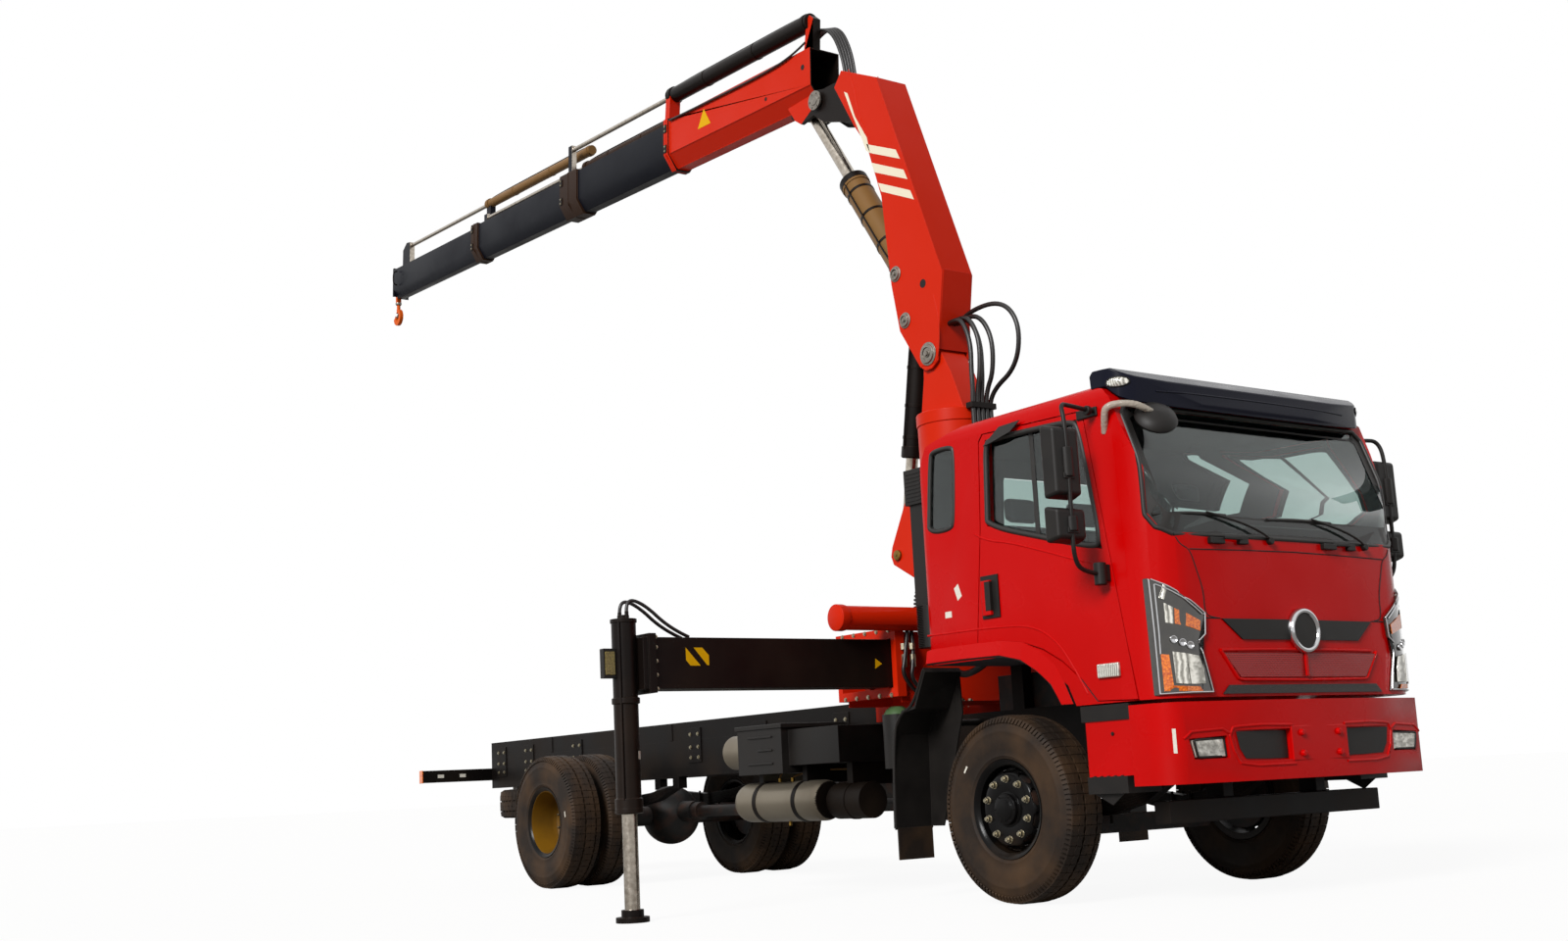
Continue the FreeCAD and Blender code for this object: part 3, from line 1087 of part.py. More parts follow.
def extension_rod(name, side, height, start, end):
    """The bright rod that pushes the next stage out."""
    return rod(f"{name}_ram_rod", "x", (side, height), -as_formula(end), -as_formula(start),
               size.ram_rod_radius)


def outer_boom():
    """Outer boom with its open box end, knuckle lugs and the three stages that slide out of it."""
    x = size.slew_station - knuckle[0]
    z = knuckle[1]
    rise = size.outer_rise
    end = size.outer_end
    half = size.boom_half
    eye = size.fold_eye_out
    pocket = block("eye_pocket", (-eye - 110, 160 - eye),
                   (-size.fold_rod_radius - 14, size.fold_rod_radius + 14), (-200, 150))
    box = cut("outer_box", stage("outer", 0, size.outer_start, end), pocket)
    band = collar("outer", 0, end, 70)
    inner = half - size.boom_wall - size.ear_wall - size.seat
    lugs = []
    for name, low, high in (("left", inner - 30, inner), ("right", -inner, 30 - inner)):
        lugs.append(plate(f"outer_lug_{name}", "XZ_Plane",
                          [(84, 0), (60, -60), (0, -84), (120 - eye, -84), (-eye - 30, -110),
                           (-eye - 110, -60), (-eye - 200, 60), (-eye - 200, size.outer_keel + 34),
                           (-60, size.outer_keel + 60), (40, 90), (76, 40)], low, high))
    spine = block("lug_spine", (-eye - 200, -eye - 140), (30 - inner, inner - 30),
                  (size.outer_keel - 50, size.outer_keel + 8))
    bore = rod("outer_bore", "y", (0, 0), -200, 200, size.pivot_pin_radius + size.seat)
    rear_ear = plate("rear_ear", "XZ_Plane", [(-190, size.outer_top - 12), (-70, size.outer_top - 12),
                                              (-60, size.ram_a_height), (-110, size.ram_a_height + 40),
                                              (-150, size.ram_a_height)],
                     size.ram_a_side - 35, size.ram_a_side + 35)
    front_ear = plate("front_ear", "XZ_Plane", [(-end, size.outer_top - 6), (70 - end, size.outer_top - 6),
                                                (90 - end, size.ram_a_height - 26),
                                                (20 - end, size.ram_a_height - 26)],
                      -half, size.ram_a_side + 40)
    tube, ram_bore = extension_ram("outer", size.ram_a_side, size.ram_a_height, size.ram_a_radius,
                                   size.outer_start + 60, end - 30)
    solid = fuse("outer_solid", box, band, slide_pad("outer", 0, end), *lugs, spine, rear_ear, front_ear,
                 tube)
    tilted("outer_boom", cut("outer_body", solid, bore, ram_bore), x, z, rise)
    stages = (("a", 1, size.outer_end - size.first_overlap, size.stage_a_end, size.collar_length),
              ("b", 2, size.stage_a_end - size.stage_overlap, size.stage_b_end, 150),
              ("c", 3, size.stage_b_end - size.stage_overlap, size.stage_c_end, 0))
    rods = {"a": (size.ram_a_side, size.ram_a_height, end - 440, size.stage_a_end - 120),
            "b": (size.ram_b_side, size.ram_b_height, size.stage_a_end - 280, size.stage_b_end - 60),
            "c": (size.ram_c_side, size.ram_c_height, size.stage_b_end - 600, size.stage_c_end - 120)}
    barrels = {"a": (size.ram_b_side, size.ram_b_height, size.ram_b_radius, end + 35,
                     size.stage_a_end - 220),
               "b": (size.ram_c_side, size.ram_c_height, size.ram_c_radius, size.stage_a_end - 260,
                     size.stage_b_end - 25)}
    for name, step, start, stage_end, length in stages:
        pieces = [stage(f"stage_{name}", step, start, stage_end)]
        side, height, rod_start, rod_end = rods[name]
        pieces.append(extension_rod(name, side, height, rod_start, rod_end))
        top = size.outer_top - size.stage_step * step
        cuts = []
        if name in barrels:
            pieces += [collar(f"stage_{name}", step, stage_end, length),
                       slide_pad(f"stage_{name}", step, stage_end)]
            barrel_side, barrel_height, radius, low, high = barrels[name]
            tube, ram_bore = extension_ram(f"stage_{name}", barrel_side, barrel_height, radius, low, high)
            seat = block(f"barrel_seat_{name}", (-as_formula(high), 90 - as_formula(high)),
                         (barrel_side - 30, barrel_side + 30), (top - 4, barrel_height))
            pieces += [tube, seat]
            cuts.append(ram_bore)
            lug = block(f"rod_lug_{name}", (-as_formula(rod_end) - 20, 50 - as_formula(rod_end)),
                        (side - 26, side + 26), (top - 4, height + 40))
            pieces.append(lug)
        else:
            plate_wall = size.tip_plate
            pieces += [plate("tip_bracket", "XZ_Plane",
                             [(-stage_end + 160, top - 4), (-stage_end + 150, height + 30),
                              (-stage_end + 60, height + 40), (-stage_end - 40, height - 30),
                              (-stage_end - 50, top - 300), (-stage_end, top - 330), (-stage_end, top - 4)],
                             side - 38, side + 20),
                       block("tip_end", (-stage_end - plate_wall, -stage_end + 8), (-92, 92),
                             (100, top + 20)),
                       *both("tip_lug", (-stage_end - size.tip_pin_out - 35, -stage_end), (30, 46),
                             (size.tip_pin_height - 45, size.tip_pin_height + 85)),
                       rod("tip_pin", "y", (-stage_end - size.tip_pin_out, size.tip_pin_height),
                           -46, 46, size.tip_pin_radius)]
        solid = fuse(f"stage_{name}_solid", *pieces)
        shape = cut(f"stage_{name}_body", solid, *cuts) if cuts else solid
        tilted(f"extension_{name}", shape, x, z, rise)


def hook():
    """Shackle and swivel hook, hanging plumb from the tip's pin."""
    reach = size.stage_c_end + size.tip_pin_out
    lift = size.tip_pin_height
    sine = Formula(math.sin(math.radians(size.outer_rise.value)), f"sin({size.outer_rise.text})")
    cosine = Formula(math.cos(math.radians(size.outer_rise.value)), f"cos({size.outer_rise.text})")
    x = size.slew_station - knuckle[0] - reach * cosine + lift * sine
    z = knuckle[1] + reach * sine + lift * cosine
    ring = cut("shackle_eye", rod("shackle_ring", "y", (0, 0), -29, 29, 34),
               rod("shackle_bore", "y", (0, 0), -60, 60, size.tip_pin_radius + size.seat))
    neck = block("hook_neck", (-22, 22), (-24, 24), (-130, -24))
    swivel = rod("hook_swivel", "z", (0, 0), -215, -120, 20)
    bow = cut("hook_bow", plate("hook_outer", "XZ_Plane", arc(-6, -300, 95, -170, 95, 9)
                                + [(-14, -235), (-60, -290)], -19, 19),
              rod("hook_gap", "y", (-6, -292), -60, 60, 46))
    thing = fuse("hook_body", ring, neck, swivel, bow)
    finish("hook", thing, x=size.front_axle_station + x, z=z)


def build_crane():
    """Every sub-part of the crane."""
    crane_base()
    stabilisers()
    column()
    main_boom()
    rams()
    outer_boom()
    hook()


def build_truck():
    """Every sub-part of the truck."""
    frame_rails()
    subframe()
    springs()
    finish("axles", group("axle_pair", front_axle(), rear_axle_housing()))
    finish("driveline", group("drive_set", propshaft(), engine()))
    front_wheels()
    rear_wheels()
    spare_wheel()
    cab()
    sun_visor()
    doors()
    cab_inside()
    front_end()
    guards()
    frame_fittings()


def export_all():
    """Check every object and each sub-part, then write the sub-parts' files."""
    doc.recompute()
    broken = [thing.Name for thing in doc.Objects if {"Invalid", "Error"} & set(thing.State)]
    if broken:
        raise RuntimeError(f"failed objects: {broken}")
    for node, thing in finished.items():
        if thing.Shape.isNull() or not thing.Shape.isValid():
            raise RuntimeError(f"bad shape: {node}")
    os.makedirs("parts", exist_ok=True)
    for node, thing in finished.items():
        thing.Shape.exportStep(os.path.join("parts", f"{node}.step"))


build_truck()
build_crane()
export_all()
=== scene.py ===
import json
import math

import bmesh
import bpy
from mathutils import Matrix, Vector
from mathutils.bvhtree import BVHTree


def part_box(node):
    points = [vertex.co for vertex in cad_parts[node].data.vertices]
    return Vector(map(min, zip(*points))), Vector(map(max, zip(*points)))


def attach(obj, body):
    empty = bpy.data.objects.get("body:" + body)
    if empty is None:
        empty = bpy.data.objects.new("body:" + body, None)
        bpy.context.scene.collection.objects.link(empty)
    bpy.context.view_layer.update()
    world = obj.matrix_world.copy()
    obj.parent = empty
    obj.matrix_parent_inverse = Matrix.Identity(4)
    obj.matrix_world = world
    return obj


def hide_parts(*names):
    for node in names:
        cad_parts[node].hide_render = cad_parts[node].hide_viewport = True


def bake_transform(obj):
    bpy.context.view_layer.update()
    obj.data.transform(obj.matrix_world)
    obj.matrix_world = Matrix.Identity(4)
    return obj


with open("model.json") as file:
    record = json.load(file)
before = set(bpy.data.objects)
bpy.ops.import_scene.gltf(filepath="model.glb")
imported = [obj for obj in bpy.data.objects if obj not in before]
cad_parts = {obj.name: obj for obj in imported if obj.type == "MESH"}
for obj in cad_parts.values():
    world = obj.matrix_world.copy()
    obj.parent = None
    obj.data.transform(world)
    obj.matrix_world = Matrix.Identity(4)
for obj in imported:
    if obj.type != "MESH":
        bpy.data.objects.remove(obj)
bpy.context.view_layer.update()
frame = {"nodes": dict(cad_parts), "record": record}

# Chassis rails, crane subframe and cross tubes: pressed channels and welded box plate, riveted and bolted,
# in satin black chassis paint with road dust low down.
# Places in this file are metres from the front axle's middle on the ground; at() turns them into the
# frame's.
axle_low, axle_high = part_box("front_rim_left")
axle_station = (axle_low[0] + axle_high[0]) / 2
body_of_node = {node: body for body, nodes in frame["record"]["behaviour"]["bodies"].items()
    for node in nodes}


def at(x, y, z):
    """A place measured from the front axle's middle on the ground."""
    return Vector((axle_station + x, y, z))


def linear(colour):
    """A colour written as an sRGB hex value, in linear light."""
    parts = [int(colour[i:i + 2], 16) / 255 for i in (1, 3, 5)]
    return [c / 12.92 if c <= 0.04045 else ((c + 0.055) / 1.055) ** 2.4 for c in parts] + [1.0]


def add(material, kind, inputs=None, **settings):
    """Add a shader node with its settings; an input is a value, or an output socket to link."""
    node = material.node_tree.nodes.new(kind)
    for name, value in settings.items():
        setattr(node, name, value)
    for name, value in (inputs or {}).items():
        if isinstance(value, bpy.types.NodeSocket):
            material.node_tree.links.new(value, node.inputs[name])
        else:
            node.inputs[name].default_value = value
    return node


def start_material(name):
    """A material with its shader and its pattern coordinates."""
    material = bpy.data.materials.new(name)
    material.use_nodes = True
    shader = material.node_tree.nodes["Principled BSDF"]
    place = add(material, "ShaderNodeTexCoord").outputs["Object"]
    return material, shader, place


def feed(material, shader, name, socket):
    """Link one socket to the shader."""
    material.node_tree.links.new(socket, shader.inputs[name])


def sprayed_paint(name, colour, dust="#3a2c20", gloss=0.32, dusting=0.35, wear="#3a3632", worn=0.5):
    """Spray paint on steel: cloudy gloss, dust that thickens low down, rubbed edges, faint orange peel."""
    material, shader, place = start_material(name)
    cloud = add(material, "ShaderNodeTexNoise", {"Vector": place, "Scale": 2.2, "Detail": 6.0})
    speck = add(material, "ShaderNodeTexNoise", {"Vector": place, "Scale": 55.0, "Detail": 3.0})
    height = add(material, "ShaderNodeSeparateXYZ", {"Vector": place})
    low = add(material, "ShaderNodeMapRange", {"Value": height.outputs["Z"], "From Min": 1.9, "From Max": 0.1,
        "To Min": 0.12, "To Max": 1.0})
    patches = add(material, "ShaderNodeMapRange", {"Value": cloud.outputs["Fac"], "From Min": 0.42,
        "From Max": 0.75, "To Min": 0.0, "To Max": dusting})
    grit = add(material, "ShaderNodeMath", {0: patches.outputs["Result"], 1: low.outputs["Result"]},
        operation="MULTIPLY")
    dusty = add(material, "ShaderNodeMix", {"Factor": grit.outputs["Value"], "A": linear(colour),
        "B": linear(dust)}, data_type="RGBA")
    soft = add(material, "ShaderNodeBevel", {"Radius": 0.006}, samples=4)
    flat = add(material, "ShaderNodeNewGeometry")
    bend = add(material, "ShaderNodeVectorMath", {0: soft.outputs["Normal"], 1: flat.outputs["Normal"]},
        operation="DOT_PRODUCT")
    edge = add(material, "ShaderNodeMapRange", {"Value": bend.outputs["Value"], "From Min": 0.97,
        "From Max": 0.8, "To Min": 0.0, "To Max": worn})
    rub = add(material, "ShaderNodeMath", {0: edge.outputs["Result"], 1: speck.outputs["Fac"]},
        operation="MULTIPLY")
    worn_colour = add(material, "ShaderNodeMix", {"Factor": rub.outputs["Value"],
        "A": dusty.outputs["Result"], "B": linear(wear)}, data_type="RGBA")
    feed(material, shader, "Base Color", worn_colour.outputs["Result"])
    matt = add(material, "ShaderNodeMapRange", {"Value": cloud.outputs["Fac"], "From Min": 0.3,
        "From Max": 0.8, "To Min": gloss, "To Max": gloss + 0.22})
    feed(material, shader, "Roughness", matt.outputs["Result"])
    peel = add(material, "ShaderNodeTexNoise", {"Vector": place, "Scale": 320.0, "Detail": 2.0})
    skin = add(material, "ShaderNodeBump", {"Strength": 0.06, "Distance": 0.001,
        "Height": peel.outputs["Fac"]})
    feed(material, shader, "Normal", skin.outputs["Normal"])
    shader.inputs["Specular IOR Level"].default_value = 0.12
    return material


def shade(skin, smooth):
    """Smooth faces, with edges sharper than the angle kept sharp."""
    for face in skin.faces:
        face.smooth = True
    for line in skin.edges:
        line.smooth = line.is_manifold and line.calc_face_angle(0) < math.radians(smooth)


def round_edges(thing, edge, smooth=35):
    """A small rounded edge along every sharp corner."""
    bevel = thing.modifiers.new("rounded edges", "BEVEL")
    bevel.width = edge
    bevel.segments = 2
    bevel.limit_method = "ANGLE"
    bevel.angle_limit = math.radians(smooth)
    bevel.harden_normals = True
    bevel.use_clamp_overlap = True


def dress(node, finish, edge=0.003, smooth=35):
    """A finished copy of a CAD solid: one welded skin, smooth curves, rounded edges and its material."""
    thing = frame["nodes"][node].copy()
    thing.data = frame["nodes"][node].data.copy()
    thing.name = thing.data.name = f"{node}_finished"
    thing.parent = None
    for key in list(thing.keys()):
        del thing[key]
    bpy.context.scene.collection.objects.link(thing)
    skin = bmesh.new()
    skin.from_mesh(thing.data)
    bmesh.ops.remove_doubles(skin, verts=skin.verts, dist=0.00002)
    bmesh.ops.dissolve_limit(skin, angle_limit=math.radians(0.5), verts=skin.verts, edges=skin.edges)
    shade(skin, smooth)
    skin.to_mesh(thing.data)
    skin.free()
    thing.data.materials.clear()
    thing.data.materials.append(finish)
    if edge:
        round_edges(thing, edge, smooth)
    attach(thing, body_of_node[node])
    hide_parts(node)
    return thing


def block(skin, low, high, place=at):
    """Add a box between two corners; place() sets its corners in the frame."""
    for corner in bmesh.ops.create_cube(skin, size=1.0)["verts"]:
        corner.co = place(*(low[i] + (corner.co[i] + 0.5) * (high[i] - low[i]) for i in range(3)))


def rod(skin, start, end, radius, sides=24, tip=None, place=at):
    """Add a closed round bar between two points."""
    start, end = place(*start), place(*end)
    turn = (end - start).to_track_quat("Z", "Y").to_matrix().to_4x4()
    bmesh.ops.create_cone(skin, cap_ends=True, segments=sides, radius1=radius, radius2=radius if tip is None
        else tip, depth=(end - start).length, matrix=Matrix.Translation((start + end) / 2) @ turn)


def bolt(skin, spot, way, size=0.012, place=at):
    """Add a hexagon bolt head on its washer, standing on a spot and facing along way."""
    spot, way = Vector(spot), Vector(way).normalized()
    rod(skin, spot - way * size * 0.2, spot + way * size * 0.25, size * 1.35, 16, place=place)
    rod(skin, spot, spot + way * size * 0.85, size, 6, place=place)


def plate(skin, corners, thickness, place=at):
    """Add a flat plate with this outline, made thick along the outline's normal."""
    face = skin.faces.new([skin.verts.new(place(*corner)) for corner in corners])
    face.normal_update()
    push = face.normal * thickness
    grown = bmesh.ops.extrude_face_region(skin, geom=[face])["geom"]
    bmesh.ops.translate(skin, vec=push, verts=[v for v in grown if isinstance(v, bmesh.types.BMVert)])


def piece(name, skin, finish, body, edge=0.0, smooth=35):
    """Turn the built faces into one finished object that rides a body."""
    bmesh.ops.recalc_face_normals(skin, faces=skin.faces)
    shade(skin, smooth)
    mesh = bpy.data.meshes.new(name)
    skin.to_mesh(mesh)
    skin.free()
    mesh.materials.append(finish)
    thing = bpy.data.objects.new(name, mesh)
    bpy.context.scene.collection.objects.link(thing)
    if edge:
        round_edges(thing, edge, smooth)
    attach(thing, body)
    return thing


# The satin black reads as deep brown-black with soft grey light along the rail flanges.
chassis_paint = sprayed_paint("satin black chassis paint", "#0a0706", gloss=0.4, dusting=0.4, worn=0.3)
dress("frame_rails", chassis_paint)
dress("subframe", chassis_paint)

# Clamp plates, bolt rows and the holed gusset along the subframe: cut steel plate bolted to rail and
# subframe webs, in the same black with bright zinc bolt heads.
def mottled(name, first, second, scale, detail, numbers, pattern="Noise", patch=None, gloss=None, bump=None,
        grain=None, distortion=0.0):
    """A finish that wanders between two colours, with numbers for the shader's sockets; patch sharpens the
    colours' border, and gloss and bump follow the same pattern, or the bump a finer grain of its own."""
    material, shader, place = start_material(name)
    cells = add(material, f"ShaderNodeTex{pattern}", {"Vector": place, "Scale": scale})
    if pattern != "Voronoi":
        cells.inputs["Detail"].default_value = detail
    if pattern == "Wave":
        cells.inputs["Distortion"].default_value = distortion
    amount = share = cells.outputs["Distance" if pattern == "Voronoi" else "Fac"]
    if patch:
        share = add(material, "ShaderNodeMapRange", {"Value": amount, "From Min": patch[0],
            "From Max": patch[1], "To Max": patch[2]}).outputs["Result"]
    tone = add(material, "ShaderNodeMix", {"Factor": share, "A": linear(first), "B": linear(second)},
        data_type="RGBA")
    feed(material, shader, "Base Color", tone.outputs["Result"])
    if gloss:
        rough = add(material, "ShaderNodeMapRange", {"Value": amount, "To Min": gloss[0], "To Max": gloss[1]})
        feed(material, shader, "Roughness", rough.outputs["Result"])
    if grain:
        amount = add(material, "ShaderNodeTexNoise", {"Vector": place, "Scale": grain[0],
            "Detail": grain[1]}).outputs["Fac"]
    if bump:
        skin = add(material, "ShaderNodeBump", {"Strength": bump[0], "Distance": bump[1], "Height": amount})
        feed(material, shader, "Normal", skin.outputs["Normal"])
    for socket, number in numbers.items():
        shader.inputs[socket].default_value = number
    return material


# Zinc plating gives the bolts a warm grey glint.
zinc = mottled("zinc plated steel", "#8c8062", "#b9b3a2", 160.0, 3.0, {"Metallic": 1.0}, gloss=(0.28, 0.5),
    bump=(0.15, 0.0005))

clamps, clamp_bolts = bmesh.new(), bmesh.new()
for side in (-1, 1):
    for station in (-2.35, -3.35, -4.25, -6.15, -7.05, -7.6):
        block(clamps, (station - 0.09, side * 0.4305, 0.93), (station + 0.09, side * 0.4385, 1.2))
        for dx in (-0.055, 0.055):
            for z in (0.97, 1.05, 1.15):
                bolt(clamp_bolts, (station + dx, side * 0.4385, z), (0, side, 0), 0.011)
    for station in (-6.62, -5.2, -4.6):
        block(clamps, (station - 0.02, side * 0.4305, 1.112), (station + 0.02, side * 0.436, 1.245))
piece("subframe_clamps", clamps, chassis_paint, "chassis", 0.002)
piece("subframe_clamp_bolts", clamp_bolts, zinc, "chassis")

# Leaf spring packs: tempered steel leaves clamped by U-bolts over the axles, in satin black paint, with
# thin stripes of light where the leaves' edges step.
dress("springs", chassis_paint, 0.002)
rear_axle = -5.34
leaves = bmesh.new()
for side in (-1, 1):
    for middle, seat, eye, half in ((0.0, 0.4575, 0.72, 0.74), (rear_axle, 0.603, 0.77, 0.78)):
        for leaf in range(5):
            step = 0.014 * leaf
            reach = half * (0.92 - 0.14 * (4 - leaf))
            rise = [(eye - seat) * 0.28 * (reach * u / (half * 0.6)) ** 1.4 for u in (0, 0.5, 1)]
            for turn in (-1, 1):
                for near, far in ((0, 1), (1, 2)):
                    start, end = turn * reach * near / 2, turn * reach * far / 2
                    for face in (side * 0.4295, side * 0.3505):
                        plate(leaves, [(middle + start, face, seat + rise[near] + step),
                            (middle + end, face, seat + rise[far] + step),
                            (middle + end, face, seat + rise[far] + step + 0.009), (middle + start, face,
                            seat + rise[near] + step + 0.009)], 0.003)
        for turn in (-0.07, 0.07):
            for wall in (side * 0.34, side * 0.44):
                rod(leaves, (middle + turn, wall, seat - 0.05), (middle + turn, wall, seat + 0.11), 0.009, 12)
piece("spring_leaves", leaves, chassis_paint, "chassis")

# Axle beams, steering knuckles, propeller shaft and engine: forged and cast iron, dull black with a
# brown rust bloom where the paint is thin.
# Rust bloom: brown patches spread from the noise's highest spots.
cast_iron = mottled("painted cast iron with rust bloom", "#100d0b", "#3a2114", 9.0, 8.0, {"Roughness": 0.62},
    patch=(0.45, 0.66, 0.8), grain=(260.0, 4.0), bump=(0.3, 0.001))
for iron_node in ("axles", "driveline", "knuckle_left", "knuckle_right"):
    dress(iron_node, cast_iron, 0.004)

# Tyres: moulded rubber with a five-rib zigzag tread, notched shoulders and raised sidewall rings, in
# brown-black with road dust; each carcass is one spun skin and the ribs are one pitch copied round it.
# Tyre rubber: dull brown-black, paler dust lying in the low parts of the pattern.
rubber = mottled("dusty tyre rubber", "#1c130c", "#48331f", 3.5, 7.0,
    {"Roughness": 0.68, "Specular IOR Level": 0.25}, patch=(0.4, 0.7, 0.75), grain=(420.0, 2.0),
    bump=(0.25, 0.0006))


def turned(skin, start, end, profile, steps=48, place=at):
    """Spin a profile of (radius, distance from start) pairs once round the line from start to end."""
    start, end = place(*start), place(*end)
    axis = (end - start).normalized()
    side = axis.orthogonal().normalized()
    made = [skin.verts.new(start + side * radius + axis * along) for radius, along in profile]
    lines = [skin.edges.new(pair) for pair in zip(made, made[1:])]
    bmesh.ops.spin(skin, geom=made + lines, cent=start, axis=axis, angle=math.tau, steps=steps,
        use_merge=True)
    poles = [v for v in skin.verts if (v.co - start).cross(axis).length < 1e-6]
    bmesh.ops.remove_doubles(skin, verts=poles, dist=1e-5)


def tyre(name, node, centre, way, body):
    """A finished tyre round the line through centre along way, standing for part or all of a node."""
    skin = bmesh.new()
    half = [(0.2555, 0.095), (0.2745, 0.1015), (0.281, 0.1125), (0.292, 0.1165), (0.297, 0.1205),
        (0.303, 0.1205), (0.307, 0.1195), (0.34, 0.1265), (0.37, 0.1295), (0.4, 0.1305), (0.425, 0.1295),
        (0.43, 0.1305), (0.436, 0.1305), (0.441, 0.128), (0.465, 0.1235), (0.486, 0.1165), (0.5, 0.107),
        (0.508, 0.094), (0.511, 0.06)]
    profile = [(radius, -along) for radius, along in half] + [(radius, along) for radius, along in half[::-1]]
    end = Vector(centre) + Vector(way)
    turned(skin, centre, end, profile + [half[0]], 72)
    middle, axis = at(*centre), Vector(way).normalized()
    side = axis.orthogonal().normalized()
    across = axis.cross(side)
    pitch = math.tau / 58
    tread = bmesh.new()
    for row, (low, high, top) in enumerate(((-0.112, -0.071, 0.5215), (-0.0645, -0.0265, 0.5235),
            (-0.0195, 0.0195, 0.5238), (0.0265, 0.0645, 0.5235), (0.071, 0.112, 0.5215))):
        swing = 0.0075 if row % 2 else -0.0075
        outer_low = 0 if row == 0 else swing
        outer_high = 0 if row == 4 else swing
        shape = [(0.03, low), (0.5, low + outer_low), (0.965, low), (0.965, high), (0.5, high + outer_high),
            (0.03, high)]
        rings = []
        for level in (0.506, top):
            ring = []
            for turn, along in shape:
                radius = level - (0.006 if abs(along) > 0.11 and level > 0.51 else 0)
                angle = turn * pitch
                ring.append(tread.verts.new(middle + axis * along + (side * math.cos(angle) + across
                    * math.sin(angle)) * radius))
            rings.append(ring)
        tread.faces.new(rings[1])
        for one, two, three, four in zip(rings[0], rings[0][1:] + rings[0][:1], rings[1][1:] + rings[1][:1],
                rings[1]):
            tread.faces.new((one, two, three, four))
    for turn, edge in ((0.12, -1), (0.12, 1), (0.62, -1), (0.62, 1)):
        corners = []
        for radius, along in ((0.478, 0.1225), (0.513, 0.1), (0.517, 0.108), (0.484, 0.1285)):
            for angle in ((turn * pitch), ((turn + 0.3) * pitch)):
                corners.append(tread.verts.new(middle + axis * along * edge + (side * math.cos(angle) + across
                    * math.sin(angle)) * radius))
        for a, b, c, d in ((0, 1, 3, 2), (2, 3, 5, 4), (4, 5, 7, 6), (6, 7, 1, 0), (0, 2, 4, 6),
                (1, 3, 5, 7)):
            tread.faces.new([corners[i] for i in (a, b, c, d)])
    bmesh.ops.spin(tread, geom=tread.verts[:] + tread.edges[:] + tread.faces[:], cent=middle, axis=axis,
        angle=math.tau * 57 / 58, steps=57, use_duplicate=True)
    bmesh.ops.recalc_face_normals(tread, faces=tread.faces)
    bmesh.ops.recalc_face_normals(skin, faces=skin.faces)
    ribs = bpy.data.meshes.new("ribs")
    tread.to_mesh(ribs)
    tread.free()
    skin.from_mesh(ribs)
    bpy.data.meshes.remove(ribs)
    thing = piece(name, skin, rubber, body, 0.0, 32)
    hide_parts(node)
    return thing


hands = ((1, "left"), (-1, "right"))
hub_height = 0.525
for side, hand in hands:
    tyre(f"front_tyre_tread_{hand}", f"front_tyre_{hand}", (0, side * 0.977, hub_height), (0, side, 0),
        f"front_wheel_{hand}")
    tyre(f"rear_outer_tyre_{hand}", f"rear_tyres_{hand}", (rear_axle, side * 1.081, hub_height), (0, side, 0),
        f"rear_wheels_{hand}")
    tyre(f"rear_inner_tyre_{hand}", f"rear_tyres_{hand}", (rear_axle, side * 0.751, hub_height), (0, side, 0),
        f"rear_wheels_{hand}")
tyre("spare_tyre_tread", "spare_tyre", (-7.35, 0, 0.68), (0, 0, 1), "chassis")

# Sidewall tags: small blank labels of white rubber, vulcanised on, one to each side's front tyre and one to
# its outer rear tyre.
tags = {f"{place}_{hand}": bmesh.new() for place in ("front", "rear") for hand in ("left", "right")}
for side, hand in hands:
    for place, x, y, angle in (("front", 0.0, 1.1075, 2.5), ("rear", rear_axle, 1.2115, 0.15)):
        across = Vector((-math.sin(angle), 0, math.cos(angle)))
        out = Vector((math.cos(angle), 0, math.sin(angle)))
        middle = Vector((x, side * y, hub_height)) + out * 0.385
        corners = [middle + across * a * 0.022 + out * b * 0.006 for a, b in ((-1, -1), (1, -1), (1, 1),
            (-1, 1))]
        plate(tags[f"{place}_{hand}"], corners, 0.0012)
# Faded white label paint.
label = mottled("faded white label", "#c9c2b2", "#e8e4da", 60.0, 4.0, {"Roughness": 0.6})
for hand in ("left", "right"):
    piece(f"front_tyre_tag_{hand}", tags[f"front_{hand}"], label, f"front_wheel_{hand}")
    piece(f"rear_tyre_tag_{hand}", tags[f"rear_{hand}"], label, f"rear_wheels_{hand}")

# Front wheels: a pressed steel disc with ten oval hand holes in a rolled rim, glossy black outside with an
# ochre primer band at the edge, on a black hub with ten zinc-gold nuts and a stepped cap.
# Glossy black wheel enamel with brake dust gathering in soft brown clouds.
wheel_enamel = sprayed_paint("glossy black wheel enamel", "#0b0a0a", "#4a3826", 0.2, 0.55, worn=0.3)
# Ochre primer, streaked with brown.
ochre = sprayed_paint("ochre wheel primer", "#7a5512", "#3b2a12", 0.38, 0.9, "#2a1c0c", 0.5)


